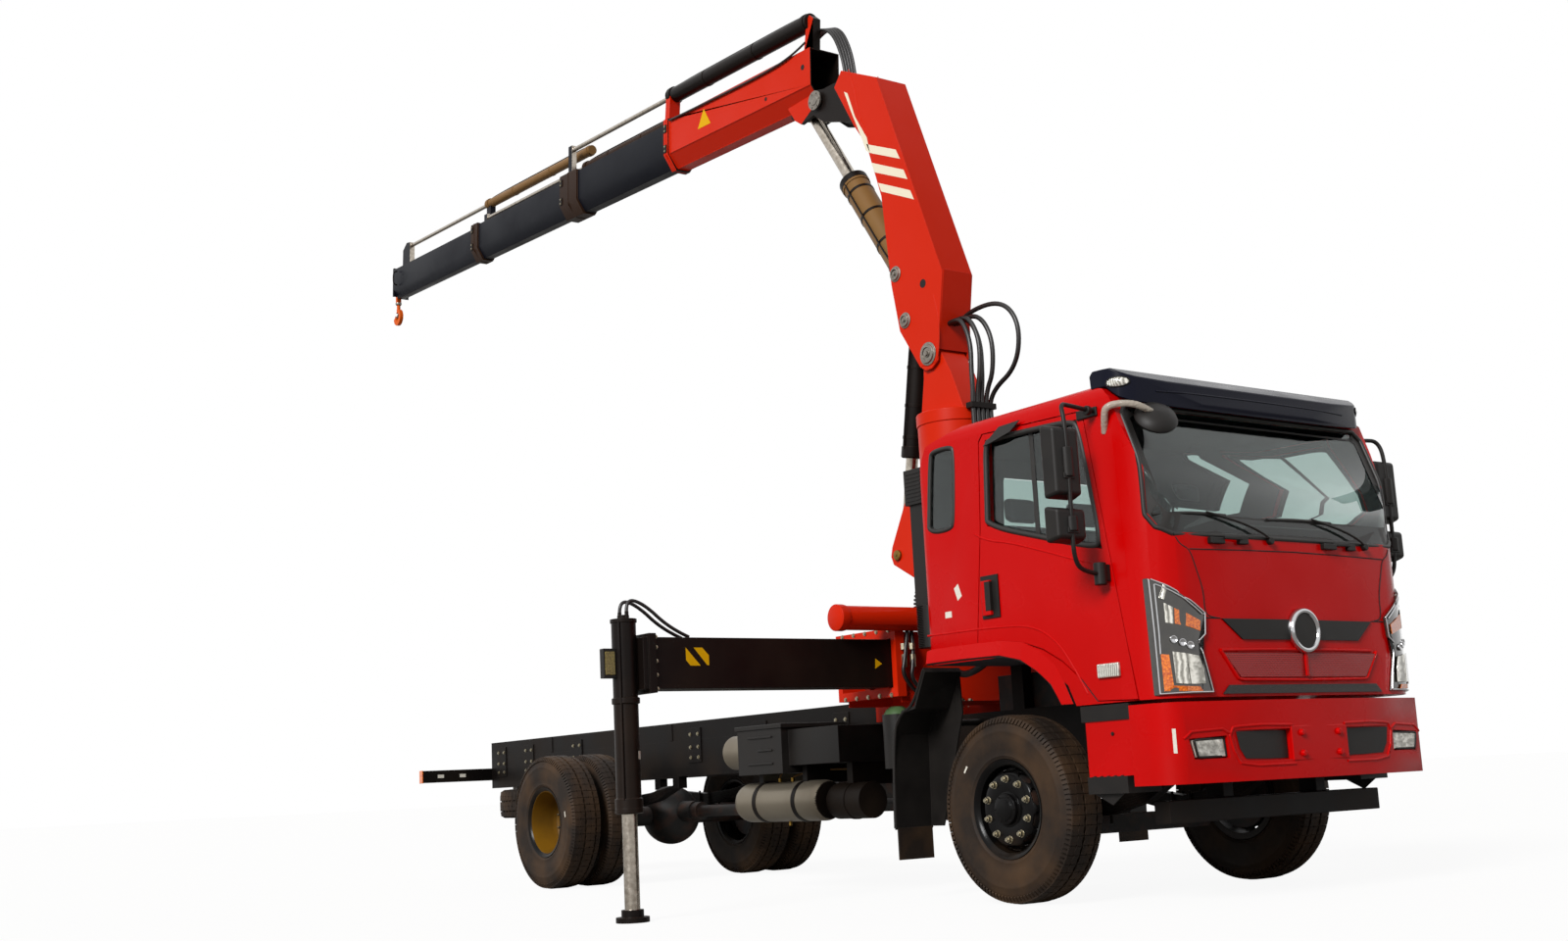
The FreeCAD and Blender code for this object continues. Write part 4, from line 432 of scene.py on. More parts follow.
def wheel_disc(name, centre, side, rows, holes, body):
    """A spun disc with oval holes: groups of faces are left out, then thickened and smoothed."""
    skin = bmesh.new()
    rings = []
    steps = holes * 8
    for radius, along in rows:
        ring = []
        for count in range(steps):
            angle = math.tau * count / steps
            ring.append(skin.verts.new(at(centre[0] + radius * math.cos(angle), centre[1] + side * along,
                centre[2] + radius * math.sin(angle))))
        rings.append(ring)
    for index, (inner, outer) in enumerate(zip(rings, rings[1:])):
        for count in range(steps):
            wide = {3: (2, 3, 4, 5), 4: (1, 2, 3, 4, 5, 6), 5: (2, 3, 4, 5)}.get(index, ())
            if count % 8 in wide:
                continue
            after = (count + 1) % steps
            skin.faces.new((inner[count], inner[after], outer[after], outer[count]))
    thing = piece(name, skin, wheel_enamel, body, 0.0, 50)
    wall = thing.modifiers.new("sheet thickness", "SOLIDIFY")
    wall.thickness = 0.009
    wall.offset = 0
    soft = thing.modifiers.new("smooth hole edges", "SUBSURF")
    soft.levels = soft.render_levels = 1
    return thing


for side, hand in hands:
    body = f"front_wheel_{hand}"
    disc = wheel_disc(f"front_disc_{hand}", (0, side * 0.977, hub_height), side,
        ((0.085, 0.100), (0.15, 0.101), (0.19, 0.100), (0.2, 0.096), (0.208, 0.086), (0.217, 0.07),
        (0.226, 0.052), (0.232, 0.04), (0.2385, 0.02)), 10, body)
    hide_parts(f"front_rim_{hand}")
    start, end = (0, side * 0.977, hub_height), (0, side * 1.977, hub_height)
    rim = bmesh.new()
    turned(rim, start, end, ((0.236, -0.112), (0.2745, -0.116), (0.2775, -0.11), (0.2745, -0.104),
        (0.2585, -0.102), (0.253, -0.09), (0.248, -0.03), (0.248, 0.04), (0.2535, 0.09), (0.2585, 0.102),
        (0.2745, 0.105), (0.2785, 0.1105), (0.276, 0.1165), (0.265, 0.114), (0.2535, 0.107), (0.2425, 0.095),
        (0.2405, 0.04), (0.2405, -0.03), (0.243, -0.09), (0.236, -0.112)), 72)
    piece(f"front_rim_barrel_{hand}", rim, wheel_enamel, body)
    band = bmesh.new()
    turned(band, start, end, ((0.2412, 0.052), (0.2425, 0.088), (0.2445, 0.0965), (0.2465, 0.0965),
        (0.2435, 0.088), (0.2422, 0.052), (0.2412, 0.052)), 72)
    piece(f"front_rim_band_{hand}", band, ochre, body)
    hub = bmesh.new()
    turned(hub, start, end, ((0.0, 0.143), (0.045, 0.143), (0.062, 0.141), (0.066, 0.135), (0.075, 0.134),
        (0.0845, 0.132), (0.0875, 0.126), (0.0875, 0.108), (0.098, 0.107), (0.1, 0.104), (0.1, 0.095),
        (0.0, 0.095)), 48)
    for count in range(6):
        angle = math.tau * count / 6
        bolt(hub, (0.076 * math.cos(angle), side * 1.11, hub_height + 0.076 * math.sin(angle)), (0, side, 0),
            0.006)
    piece(f"front_hub_cap_{hand}", hub, wheel_enamel, body, 0.0015)
    nuts = bmesh.new()
    for count in range(10):
        angle = math.tau * (count + 0.5) / 10
        spot = Vector((0.1675 * math.cos(angle), side * 1.0765, hub_height + 0.1675 * math.sin(angle)))
        rod(nuts, spot, spot + Vector((0, side * 0.008, 0)), 0.0215, 20)
        rod(nuts, spot, spot + Vector((0, side * 0.027, 0)), 0.0175, 6)
        rod(nuts, spot, spot + Vector((0, side * 0.037, 0)), 0.0105, 14)
    piece(f"front_wheel_nuts_{hand}", nuts, zinc, body, 0.001)
    drum = bmesh.new()
    turned(drum, start, end, ((0.0, 0.088), (0.2, 0.088), (0.2, 0.02), (0.205, -0.03), (0.205, -0.09),
        (0.0, -0.09)), 48)
    piece(f"front_brake_drum_{hand}", drum, cast_iron, body)

# Rear wheels: two pressed wheels back to back on a cast hub, the outer one a deep dish in ochre primer with
# black edge, with ten studs and nuts round the drive flange.
for side, hand in hands:
    body = f"rear_wheels_{hand}"
    start, end = (rear_axle, 0, hub_height), (rear_axle, side, hub_height)
    dish = bmesh.new()
    turned(dish, start, end, ((0.243, 1.178), (0.2405, 1.16), (0.2395, 1.0), (0.236, 0.965), (0.226, 0.948),
        (0.2, 0.937), (0.17, 0.935), (0.135, 0.935), (0.131, 0.931), (0.2, 0.929), (0.2455, 0.97),
        (0.2455, 1.16), (0.2475, 1.178), (0.243, 1.178)), 72)
    shell = piece(f"rear_outer_dish_{hand}", dish, ochre, body)
    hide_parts(f"rear_rims_{hand}")
    lips = bmesh.new()
    for middle, way in ((1.081, 1), (0.751, -1)):
        turned(lips, start, end, [(radius, middle + way * along) for radius, along in ((0.2445, 0.096),
            (0.2535, 0.107), (0.265, 0.114), (0.276, 0.1165), (0.2785, 0.1105), (0.2745, 0.105),
            (0.2585, 0.102), (0.2535, 0.09), (0.25, 0.03), (0.25, -0.09), (0.2585, -0.102), (0.2745, -0.105),
            (0.2775, -0.11), (0.27, -0.1165), (0.245, -0.108), (0.2465, -0.09), (0.2465, 0.03),
            (0.2445, 0.096))], 72)
    turned(lips, start, end, ((0.247, 0.77), (0.247, 0.86), (0.225, 0.895), (0.18, 0.905), (0.12, 0.905),
        (0.12, 0.897), (0.22, 0.885), (0.241, 0.855), (0.241, 0.77), (0.247, 0.77)), 72)
    piece(f"rear_rims_rolled_{hand}", lips, wheel_enamel, body)
    hub = bmesh.new()
    turned(hub, start, end, ((0.0, 1.022), (0.052, 1.022), (0.058, 1.016), (0.06, 1.004), (0.081, 1.0),
        (0.0875, 0.994), (0.0875, 0.975), (0.125, 0.97), (0.1305, 0.962), (0.1305, 0.925), (0.205, 0.92),
        (0.205, 0.76), (0.0, 0.76)), 56)
    for count in range(12):
        angle = math.tau * count / 12
        bolt(hub, (rear_axle + 0.107 * math.cos(angle), side * 0.972, hub_height + 0.107 * math.sin(angle)),
            (0, side, 0), 0.0085)
    piece(f"rear_hub_{hand}", hub, cast_iron, body, 0.0015)
    nuts = bmesh.new()
    for count in range(10):
        angle = math.tau * (count + 0.5) / 10
        spot = Vector((rear_axle + 0.1675 * math.cos(angle), side * 0.935, hub_height + 0.1675
            * math.sin(angle)))
        rod(nuts, spot, spot + Vector((0, side * 0.028, 0)), 0.0175, 6)
        rod(nuts, spot, spot + Vector((0, side * 0.052, 0)), 0.0105, 14)
    piece(f"rear_wheel_nuts_{hand}", nuts, zinc, body, 0.001)
dress("spare_rim", wheel_enamel, 0.003)

# Cab shell and doors: pressed and spot-welded steel sheet in deep red enamel, with painted shade in flat
# grey-black on their inner faces; the doors hang on hidden hinges and close against black rubber.
# Red enamel: deep and glossy, with a trace of dust along the sills.
cab_enamel = sprayed_paint("deep red cab enamel", "#bc0202", "#5a1408", 0.2, 0.25, "#5a0a06", 0.25)
# Grained black plastic: brown-black, dull, with a fine leather grain.
trim, trim_shader, trim_place = start_material("grained black plastic")
trim_grain = add(trim, "ShaderNodeTexVoronoi", {"Vector": trim_place, "Scale": 700.0})
trim_cloud = add(trim, "ShaderNodeTexNoise", {"Vector": trim_place, "Scale": 7.0, "Detail": 5.0})
trim_tone = add(trim, "ShaderNodeMix", {"Factor": trim_cloud.outputs["Fac"], "A": linear("#0c0b0b"),
    "B": linear("#1f1b18")}, data_type="RGBA")
feed(trim, trim_shader, "Base Color", trim_tone.outputs["Result"])
trim_rough = add(trim, "ShaderNodeMapRange", {"Value": trim_cloud.outputs["Fac"], "To Min": 0.36,
    "To Max": 0.6})
feed(trim, trim_shader, "Roughness", trim_rough.outputs["Result"])
trim_shader.inputs["Specular IOR Level"].default_value = 0.25
trim_bump = add(trim, "ShaderNodeBump", {"Strength": 0.2, "Distance": 0.0004,
    "Height": trim_grain.outputs["Distance"]})
feed(trim, trim_shader, "Normal", trim_bump.outputs["Normal"])
# Painted shade inside the cab: flat grey-black on the inner faces, so the inside reads dark behind the glass.
inside_shade = mottled("painted cab inside shade", "#15171c", "#262a31", 240.0, 3.0, {"Roughness": 0.9})
trees = {}


def on_skin(node, start, way, lift=0.0):
    """Where a line from start along way first meets a CAD solid, lifted towards the start."""
    if node not in trees:
        solid = frame["nodes"][node]
        trees[node] = BVHTree.FromPolygons([solid.matrix_world @ v.co for v in solid.data.vertices],
            [tuple(face.vertices) for face in solid.data.polygons])
    way = Vector(way).normalized()
    spot = trees[node].ray_cast(at(*start), way)[0]
    if spot is None:
        spot = trees[node].find_nearest(at(*start) + way * 1.3)[0]
    spot = spot - way * lift
    return Vector((spot.x - axle_station, spot.y, spot.z))


def on_front(node, y, z, lift):
    """A place on a solid's front face, met from ahead and lifted off it."""
    return on_skin(node, (2.5, y, z), (-1, 0, 0), lift)


def paint(thing, finish, test):
    """Give a second finish to the faces whose middle passes a test, in truck places."""
    thing.data.materials.append(finish)
    slot = len(thing.data.materials) - 1
    for face in thing.data.polygons:
        middle = thing.matrix_world @ face.center
        if test(middle.x - axle_station, middle.y, middle.z):
            face.material_index = slot


def hose(name, routes, radius, finish, body, place=at, order=3):
    """Round bars or pipes bent smoothly along routes of points."""
    curve = bpy.data.curves.new(name, "CURVE")
    curve.dimensions = "3D"
    curve.bevel_depth = radius
    curve.bevel_resolution = 4
    curve.use_fill_caps = True
    curve.resolution_u = 8
    for route in routes:
        line = curve.splines.new("NURBS")
        line.points.add(len(route) - 1)
        for point, spot in zip(line.points, route):
            point.co = (*place(*spot), 1)
        line.order_u = order
        line.use_endpoint_u = True
    mesh = bpy.data.meshes.new_from_object(bpy.data.objects.new(name, curve))
    mesh.name = name
    mesh.materials.clear()
    mesh.materials.append(finish)
    thing = bpy.data.objects.new(name, mesh)
    bpy.context.scene.collection.objects.link(thing)
    if body:
        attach(thing, body)
    return thing


def inside_cab(x, y, z):
    """True for the cab's inner faces."""
    rake = max(0.0, z - 1.985) * 0.366
    corner = math.hypot(max(0.0, abs(y) - 0.83), max(0.0, x - 1.005))
    return abs(y) < 1.046 and -0.6 < x < 1.245 - rake and 1.09 < z < 2.755 and corner < 0.226


shell = dress("cab_shell", cab_enamel, 0.006)
# Painted shade in flat grey-black on the shell's and the doors' inner faces.
paint(shell, inside_shade, inside_cab)
for hand in ("left", "right"):
    door = dress(f"door_{hand}", cab_enamel, 0.005)
    paint(door, inside_shade, lambda x, y, z: abs(y) < 1.03)

# Cab glass: laminated screen and toughened side panes, faintly green, in black rubber seals with a black
# printed border.
# Clear glass: pale grey-green through both panes, with sharp reflections.
glazing = mottled("tinted cab glass", "#bccdc9", "#c6d5d1", 1.6, 1.0, {"Transmission Weight": 1.0,
    "Roughness": 0.0, "IOR": 1.45})
for pane in ("cab_glass", "door_glass_left", "door_glass_right"):
    dress(pane, glazing, 0.0)
# Black rubber: soft, nearly matt, slightly brown.
seal = mottled("black rubber seal", "#0b0a09", "#1d1814", 40.0, 3.0, {"Roughness": 0.5})


def between(corners, count, parts):
    """The first count points on each side of an open outline whose sides are cut in so many parts."""
    return [(a + (c - a) * i / parts, b + (d - b) * i / parts) for (a, b), (c, d) in zip(corners, corners[1:])
        for i in range(count)]


def along(corners, count):
    """Points spaced along a closed outline, count to each side."""
    return between(corners + corners[:1], count, count)


screen_edge = [(-0.91, 1.925), (0.91, 1.925), (0.985, 1.965), (1.02, 2.035), (1.02, 2.585), (0.97, 2.645),
    (-0.97, 2.645), (-1.02, 2.585), (-1.02, 2.035), (-0.985, 1.965)]
seal_route = [on_front("cab_shell", y * 1.008, z + (0.008 if z > 2.3 else -0.008), -0.004) for y,
    z in along(screen_edge, 6)]
hose("screen_seal", [seal_route + seal_route[:1]], 0.0135, seal, "chassis")
border = bmesh.new()
outer = along(screen_edge, 6)
inner = along([(y * (0.952 if abs(y) > 0.95 else 0.95), 2.03 if z < 1.95 else (2.035 if z < 1.97
    else (2.08 if z < 2.1 else (2.57 if z < 2.6 else 2.6)))) for y, z in screen_edge], 6)
loops = [[border.verts.new(at(*on_front("cab_glass", y * 0.994, z, 0.0025))) for y, z in loop]
    for loop in (outer, inner)]
for i in range(len(outer)):
    j = (i + 1) % len(outer)
    border.faces.new((loops[0][i], loops[0][j], loops[1][j], loops[1][i]))
piece("screen_border", border, seal, "chassis")
for side, hand in hands:
    y = side * 1.0815
    window = [(-0.014, 2.135), (0.018, 2.636), (0.765, 2.61), (0.878, 1.88)]
    soft = []
    for (a, b), (c, d) in zip(window, window[1:] + window[:1]):
        soft += [(a + (c - a) * 0.06, b + (d - b) * 0.06), (a + (c - a) * 0.5, b + (d - b) * 0.5),
            (a + (c - a) * 0.94, b + (d - b) * 0.94)]
    soft.append(soft[0])
    hose(f"door_window_seal_{hand}", [[(a, y - side * 0.008, b) for a, b in soft]], 0.017, seal,
        f"cab_door_{hand}")
    channel = bmesh.new()
    block(channel, (0.36, side * 1.045, 2.0), (0.392, side * 1.058, 2.62))
    piece(f"door_window_channel_{hand}", channel, seal, f"cab_door_{hand}", 0.002)
    sleeper = [(-0.53, 2.2), (-0.5, 2.165), (-0.33, 2.165), (-0.3, 2.2), (-0.262, 2.625), (-0.29, 2.655),
        (-0.45, 2.655), (-0.485, 2.625), (-0.53, 2.2)]
    hose(f"sleeper_window_seal_{hand}", [[(a, y - side * 0.008, b) for a, b in sleeper]], 0.015, seal,
        "chassis")
    visor = bmesh.new()
    plate(visor, [(0.005, side * 1.085, 2.6), (0.1, side * 1.108, 2.603), (0.27, side * 1.112, 2.635),
        (0.345, side * 1.1, 2.69), (0.15, side * 1.083, 2.69)], 0.004)
    piece(f"rain_visor_{hand}", visor, trim, f"cab_door_{hand}", 0.001)

# Shut lines, creases and wheel-arch flare: folded sheet edges that catch a line of light beside a dark gap.
# Shadow gap: unlit black between two panels.
gap = mottled("panel gap shadow", "#050303", "#120606", 30.0, 2.0, {"Roughness": 0.9})
lines = []
for side in (-1, 1):
    bonnet = [(0.905, 1.9), (0.885, 1.862), (0.82, 1.838), (0.79, 1.75), (0.745, 1.62), (0.75, 1.5),
        (0.7, 1.478), (0.64, 1.474)]
    lines.append([on_front("cab_shell", side * y, z, 0.0005) for y, z in bonnet])
    lines.append([on_front("cab_shell", side * y, 1.838 + 0.01 * (1 - y / 0.82), 0.0005) for y in (0.82, 0.6,
        0.4, 0.2, 0.0)])
    lines.append([on_front("cab_shell", side * y, 1.475, 0.0005) for y in (0.76, 0.72, 0.65)])
hose("bonnet_gap", lines, 0.0032, gap, "chassis")
for side, hand in hands:
    crease = [(-0.603, 1.557), (-0.172, 1.552), (0.117, 1.544), (0.289, 1.523), (0.419, 1.469),
        (0.556, 1.351), (0.69, 1.12)]
    waist = [(-0.13, 2.106), (-0.047, 2.057), (0.166, 2.014), (0.336, 1.96), (0.5, 1.908), (0.7, 1.84),
        (0.86, 1.8)]
    hose(f"door_crease_{hand}", [[(a, side * 1.0775, b) for a, b in crease[1:]], [(a, side * 1.0775, b) for a,
        b in waist]], 0.0065, cab_enamel, f"cab_door_{hand}")
    hose(f"shell_crease_{hand}", [[(-0.603, side * 1.0775, 1.557), (-0.4, side * 1.0775, 1.554),
        (-0.172, side * 1.0775, 1.552)]], 0.0065, cab_enamel, "chassis")
    flare = bmesh.new()
    upper = [(-0.62, 1.466), (-0.541, 1.478), (-0.255, 1.478), (0.038, 1.47), (0.213, 1.444), (0.345, 1.389),
        (0.468, 1.295), (0.574, 1.074)]
    lower = [(-0.62, 1.39), (-0.541, 1.391), (-0.265, 1.391), (0.027, 1.385), (0.2, 1.345), (0.33, 1.27),
        (0.43, 1.19), (0.5, 1.075)]
    inner_edge = [(a, side * 1.078, b) for a, b in lower]
    for one, two, three, four in zip(upper, upper[1:], lower[1:], lower):
        plate(flare, [(one[0], side * 1.079, one[1]), (two[0], side * 1.079, two[1]), (three[0], side * 1.096,
            three[1]), (four[0], side * 1.096, four[1])], 0.004)
    bmesh.ops.remove_doubles(flare, verts=flare.verts, dist=0.001)
    piece(f"arch_flare_{hand}", flare, cab_enamel, "chassis", 0.003)
    hose(f"arch_rubber_{hand}", [inner_edge], 0.009, seal, "chassis")

# Front panel: red perforated steel mesh, a dark trapezoid band, a black expanded-mesh slot and a plain
# chrome ring with a blank centre.
# Perforated sheet: 12 mm pitch round holes painted near black as shade, staggered row by row.
mesh_red, mesh_shader, mesh_place = start_material("perforated red sheet")
mesh_split = add(mesh_red, "ShaderNodeSeparateXYZ", {"Vector": mesh_place})
mesh_rows = add(mesh_red, "ShaderNodeMath", {0: mesh_split.outputs["Z"], 1: 96.0}, operation="MULTIPLY")
mesh_floor = add(mesh_red, "ShaderNodeMath", {0: mesh_rows.outputs["Value"]}, operation="FLOOR")
mesh_half = add(mesh_red, "ShaderNodeMath", {0: mesh_floor.outputs["Value"], 1: 0.5}, operation="MULTIPLY")
mesh_cols = add(mesh_red, "ShaderNodeMath", {0: mesh_split.outputs["Y"], 1: 83.0,
    2: mesh_half.outputs["Value"]}, operation="MULTIPLY_ADD")
mesh_u = add(mesh_red, "ShaderNodeMath", {0: mesh_cols.outputs["Value"]}, operation="FRACT")
mesh_v = add(mesh_red, "ShaderNodeMath", {0: mesh_rows.outputs["Value"]}, operation="FRACT")
mesh_spot = add(mesh_red, "ShaderNodeCombineXYZ", {"X": mesh_u.outputs["Value"],
    "Y": mesh_v.outputs["Value"]})
mesh_far = add(mesh_red, "ShaderNodeVectorMath", {0: mesh_spot.outputs["Vector"], 1: (0.5, 0.5, 0.0)},
    operation="DISTANCE")
mesh_hole = add(mesh_red, "ShaderNodeMapRange", {"Value": mesh_far.outputs["Value"], "From Min": 0.27,
    "From Max": 0.34})
mesh_tone = add(mesh_red, "ShaderNodeMix", {"Factor": mesh_hole.outputs["Result"], "A": linear("#0c0202"),
    "B": linear("#a80505")}, data_type="RGBA")
feed(mesh_red, mesh_shader, "Base Color", mesh_tone.outputs["Result"])
mesh_shader.inputs["Roughness"].default_value = 0.35
mesh_bump = add(mesh_red, "ShaderNodeBump", {"Strength": 0.6, "Distance": 0.002,
    "Height": mesh_hole.outputs["Result"]})
feed(mesh_red, mesh_shader, "Normal", mesh_bump.outputs["Normal"])
# Expanded black mesh: fine diamonds of dull brown-black wire, with painted shade near black in the openings.
mesh_black, black_shader, black_place = start_material("expanded black mesh")
black_cells = add(mesh_black, "ShaderNodeTexVoronoi", {"Vector": black_place, "Scale": 110.0},
    feature="DISTANCE_TO_EDGE")
black_wire = add(mesh_black, "ShaderNodeMapRange", {"Value": black_cells.outputs["Distance"],
    "From Min": 0.06, "From Max": 0.12, "To Min": 1.0, "To Max": 0.0})
black_tone = add(mesh_black, "ShaderNodeMix", {"Factor": black_wire.outputs["Result"], "A": linear("#060505"),
    "B": linear("#2b2522")}, data_type="RGBA")
feed(mesh_black, black_shader, "Base Color", black_tone.outputs["Result"])
black_shader.inputs["Roughness"].default_value = 0.5
grille = dress("grille", trim, 0.001)
paint(grille, mesh_red, lambda x, y, z: 1.15 < z < 1.2905 and (abs(y) > 0.125 or z < 1.293))
paint(grille, mesh_black, lambda x, y, z: z < 1.13)
surround = []
for corners in ([(-0.66, 1.305), (-0.64, 1.28), (-0.54, 1.15), (0, 1.146), (0.54, 1.15), (0.64, 1.28),
        (0.66, 1.305)], [(-0.66, 1.305), (-0.3, 1.309), (0.3, 1.309), (0.66, 1.305)]):
    surround.append([on_front("cab_shell", y, z, 0.004) for y, z in between(corners, 6, 6)])
hose("mesh_surround", surround, 0.009, cab_enamel, "chassis")
rib = bmesh.new()
block(rib, (1.287, -0.012, 1.165), (1.298, 0.012, 1.29))
piece("mesh_centre_rib", rib, cab_enamel, "chassis", 0.003)
# Chrome: bright mirror plating, faintly clouded.
chrome, chrome_shader, chrome_place = start_material("bright chrome plate")
chrome_cloud = add(chrome, "ShaderNodeTexNoise", {"Vector": chrome_place, "Scale": 12.0, "Detail": 3.0})
chrome_rough = add(chrome, "ShaderNodeMapRange", {"Value": chrome_cloud.outputs["Fac"], "To Min": 0.05,
    "To Max": 0.16})
feed(chrome, chrome_shader, "Roughness", chrome_rough.outputs["Result"])
chrome_shader.inputs["Base Color"].default_value = linear("#c9c9cb")
chrome_shader.inputs["Metallic"].default_value = 1.0
ring = bmesh.new()
turned(ring, (1.285, 0, 1.412), (2.285, 0, 1.412), ((0.092, 0.018), (0.098, 0.03), (0.108, 0.034),
    (0.118, 0.03), (0.124, 0.02), (0.124, 0.0), (0.092, 0.0), (0.092, 0.018)), 72)
piece("badge_ring", ring, chrome, "chassis")
disc = bmesh.new()
turned(disc, (1.285, 0, 1.412), (2.285, 0, 1.412), ((0.0, 0.026), (0.05, 0.025), (0.093, 0.0235),
    (0.093, 0.0)), 48)
piece("badge_blank", disc, trim, "chassis")

# Headlamps: a moulded black housing with a chrome edge, an amber indicator, three small reflector bowls, a
# large faceted main reflector and an orange side strip; the clear cover over them is left off.
# Glossy black housing.
housing = mottled("glossy black lamp housing", "#14120f", "#35312a", 25.0, 2.0,
    {"Roughness": 0.12, "Coat Weight": 1.0})
# Faceted reflector: bright metal broken into small flutes by a wave pattern, with painted light and dark
# reflection bands along them.
painted_flute_reflections = mottled("fluted lamp reflector", "#8d8a80", "#f2efe4", 22.0, 2.0,
    {"Metallic": 0.35, "Roughness": 0.12, "Coat Weight": 1.0}, "Wave", bump=(0.7, 0.004), distortion=3.0)
# Amber lens: warm orange with painted light and shade in its prisms, lighter in each cell's middle and a
# deeper orange where the prisms fold.
amber = mottled("amber lamp lens", "#ff8a00", "#a83400", 90.0, 0.0, {"Roughness": 0.1, "Coat Weight": 1.0},
    "Voronoi", bump=(0.5, 0.002))
dress("headlamps", housing, 0.004)


def lamp_plates(name, outlines, lift, thickness, finish):
    """Thin mouldings laid on both lamps' curved faces."""
    skin = bmesh.new()
    for side in (-1, 1):
        for outline in outlines:
            plate(skin, [on_front("headlamps", side * y, z, lift) for y, z in outline], thickness)
    return piece(name, skin, finish, "chassis", 0.0012)


lamp_plates("indicator_lens", [[(0.955, 1.525), (0.88, 1.492), (0.805, 1.458), (0.812, 1.403), (0.88, 1.425),
    (0.958, 1.443)]], 0.004, 0.004, amber)
# The side lens and the main reflector carry the painted reflection bands of the fluted finish.
lamp_plates("side_lens", [[(1.0, 1.556), (0.962, 1.53), (0.966, 1.443), (1.0, 1.452)]], 0.004, 0.004, painted_flute_reflections)
lamp_plates("main_reflector", [[(0.985, 1.3), (0.92, 1.289), (0.91, 1.13), (0.978, 1.136)],
    [(0.915, 1.288), (0.84, 1.275), (0.815, 1.21), (0.81, 1.13), (0.905, 1.13)], [(0.955, 1.66), (0.99, 1.66),
    (1.02, 1.58), (1.0, 1.57)]], 0.008, 0.006, painted_flute_reflections)
lamp_plates("orange_strip", [[(1.028, 1.29), (0.998, 1.285), (0.99, 1.125), (1.026, 1.095)],
    [(1.026, 1.098), (0.99, 1.124), (0.93, 1.12), (0.93, 1.094)], [(0.928, 1.094), (0.928, 1.12),
    (0.85, 1.117), (0.83, 1.092)]], 0.007, 0.004, amber)
edges, bowls = [], bmesh.new()
for side in (-1, 1):
    for corners, inset in (([(1.046, 1.682), (1.042, 1.4), (1.04, 1.085), (0.9, 1.088), (0.756, 1.088)],
            0.004), ([(1.04, 1.682), (0.9, 1.59), (0.768, 1.499), (0.78, 1.388), (0.826, 1.356), (0.79, 1.22),
            (0.758, 1.092)], 0.004), ([(1.028, 1.655), (0.9, 1.572), (0.79, 1.492)], 0.006),
            ([(1.03, 1.655), (1.027, 1.4), (1.028, 1.29)], 0.006)):
        edges.append([on_front("headlamps", side * y, z, inset) for y, z in between(corners, 6, 5)])
    for y, z in ((0.972, 1.362), (0.93, 1.345), (0.888, 1.33)):
        spot = on_front("headlamps", side * y, z, 0.0)
        turned(bowls, spot, spot + Vector((1, side * 0.35, 0)), ((0.0, 0.002), (0.008, 0.003), (0.014, 0.006),
            (0.0175, 0.0095), (0.02, 0.009), (0.02, 0.0)), 24)
piece("lamp_bowls", bowls, chrome, "chassis")
hose("lamp_chrome_edge", edges, 0.0042, chrome, "chassis")

# Sun visor: one glossy moulding in blue-black, with an oval clear lamp at either end and a crease along it.
# Visor gloss: very dark blue with a clear sheen.
visor_gloss = sprayed_paint("glossy blue-black visor", "#0b0d1c", "#3a3640", 0.16, 0.15, "#1c1d28", 0.2)
dress("sun_visor", visor_gloss, 0.012, 45)
ovals, oval_rims = bmesh.new(), []
for side in (-1, 1):
    spots = []
    corner_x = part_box("sun_visor")[1][0] - axle_station - 0.2
    for i in range(24):
        turn = math.radians(52 + 24 * math.cos(math.tau * i / 24))
        out = Vector((math.cos(turn), side * math.sin(turn), 0))
        spots.append(on_skin("sun_visor", Vector((corner_x, side * 0.895, 2.772 + 0.027
            * math.sin(math.tau * i / 24))) + out * 1.3, -out, 0.004))
    middle = sum(spots, Vector()) / 24
    centre = ovals.verts.new(at(*(middle + Vector((0.02, side * 0.02, 0)))))
    ring = [ovals.verts.new(at(*spot)) for spot in spots]
    for i in range(24):
        ovals.faces.new((ring[i], ring[(i + 1) % 24], centre))
    oval_rims.append(spots + spots[:1])
# The oval visor lamps carry the painted reflection bands of the fluted finish.
piece("visor_lamps", ovals, painted_flute_reflections, "chassis", 0.001)
hose("visor_lamp_rims", oval_rims, 0.004, trim, "chassis")
hose("visor_crease", [[on_front("sun_visor", y / 10, 2.72 + 0.012 * (1 - (y / 10) ** 2), -0.002)
    for y in range(-8, 9)]], 0.006, visor_gloss, "chassis")

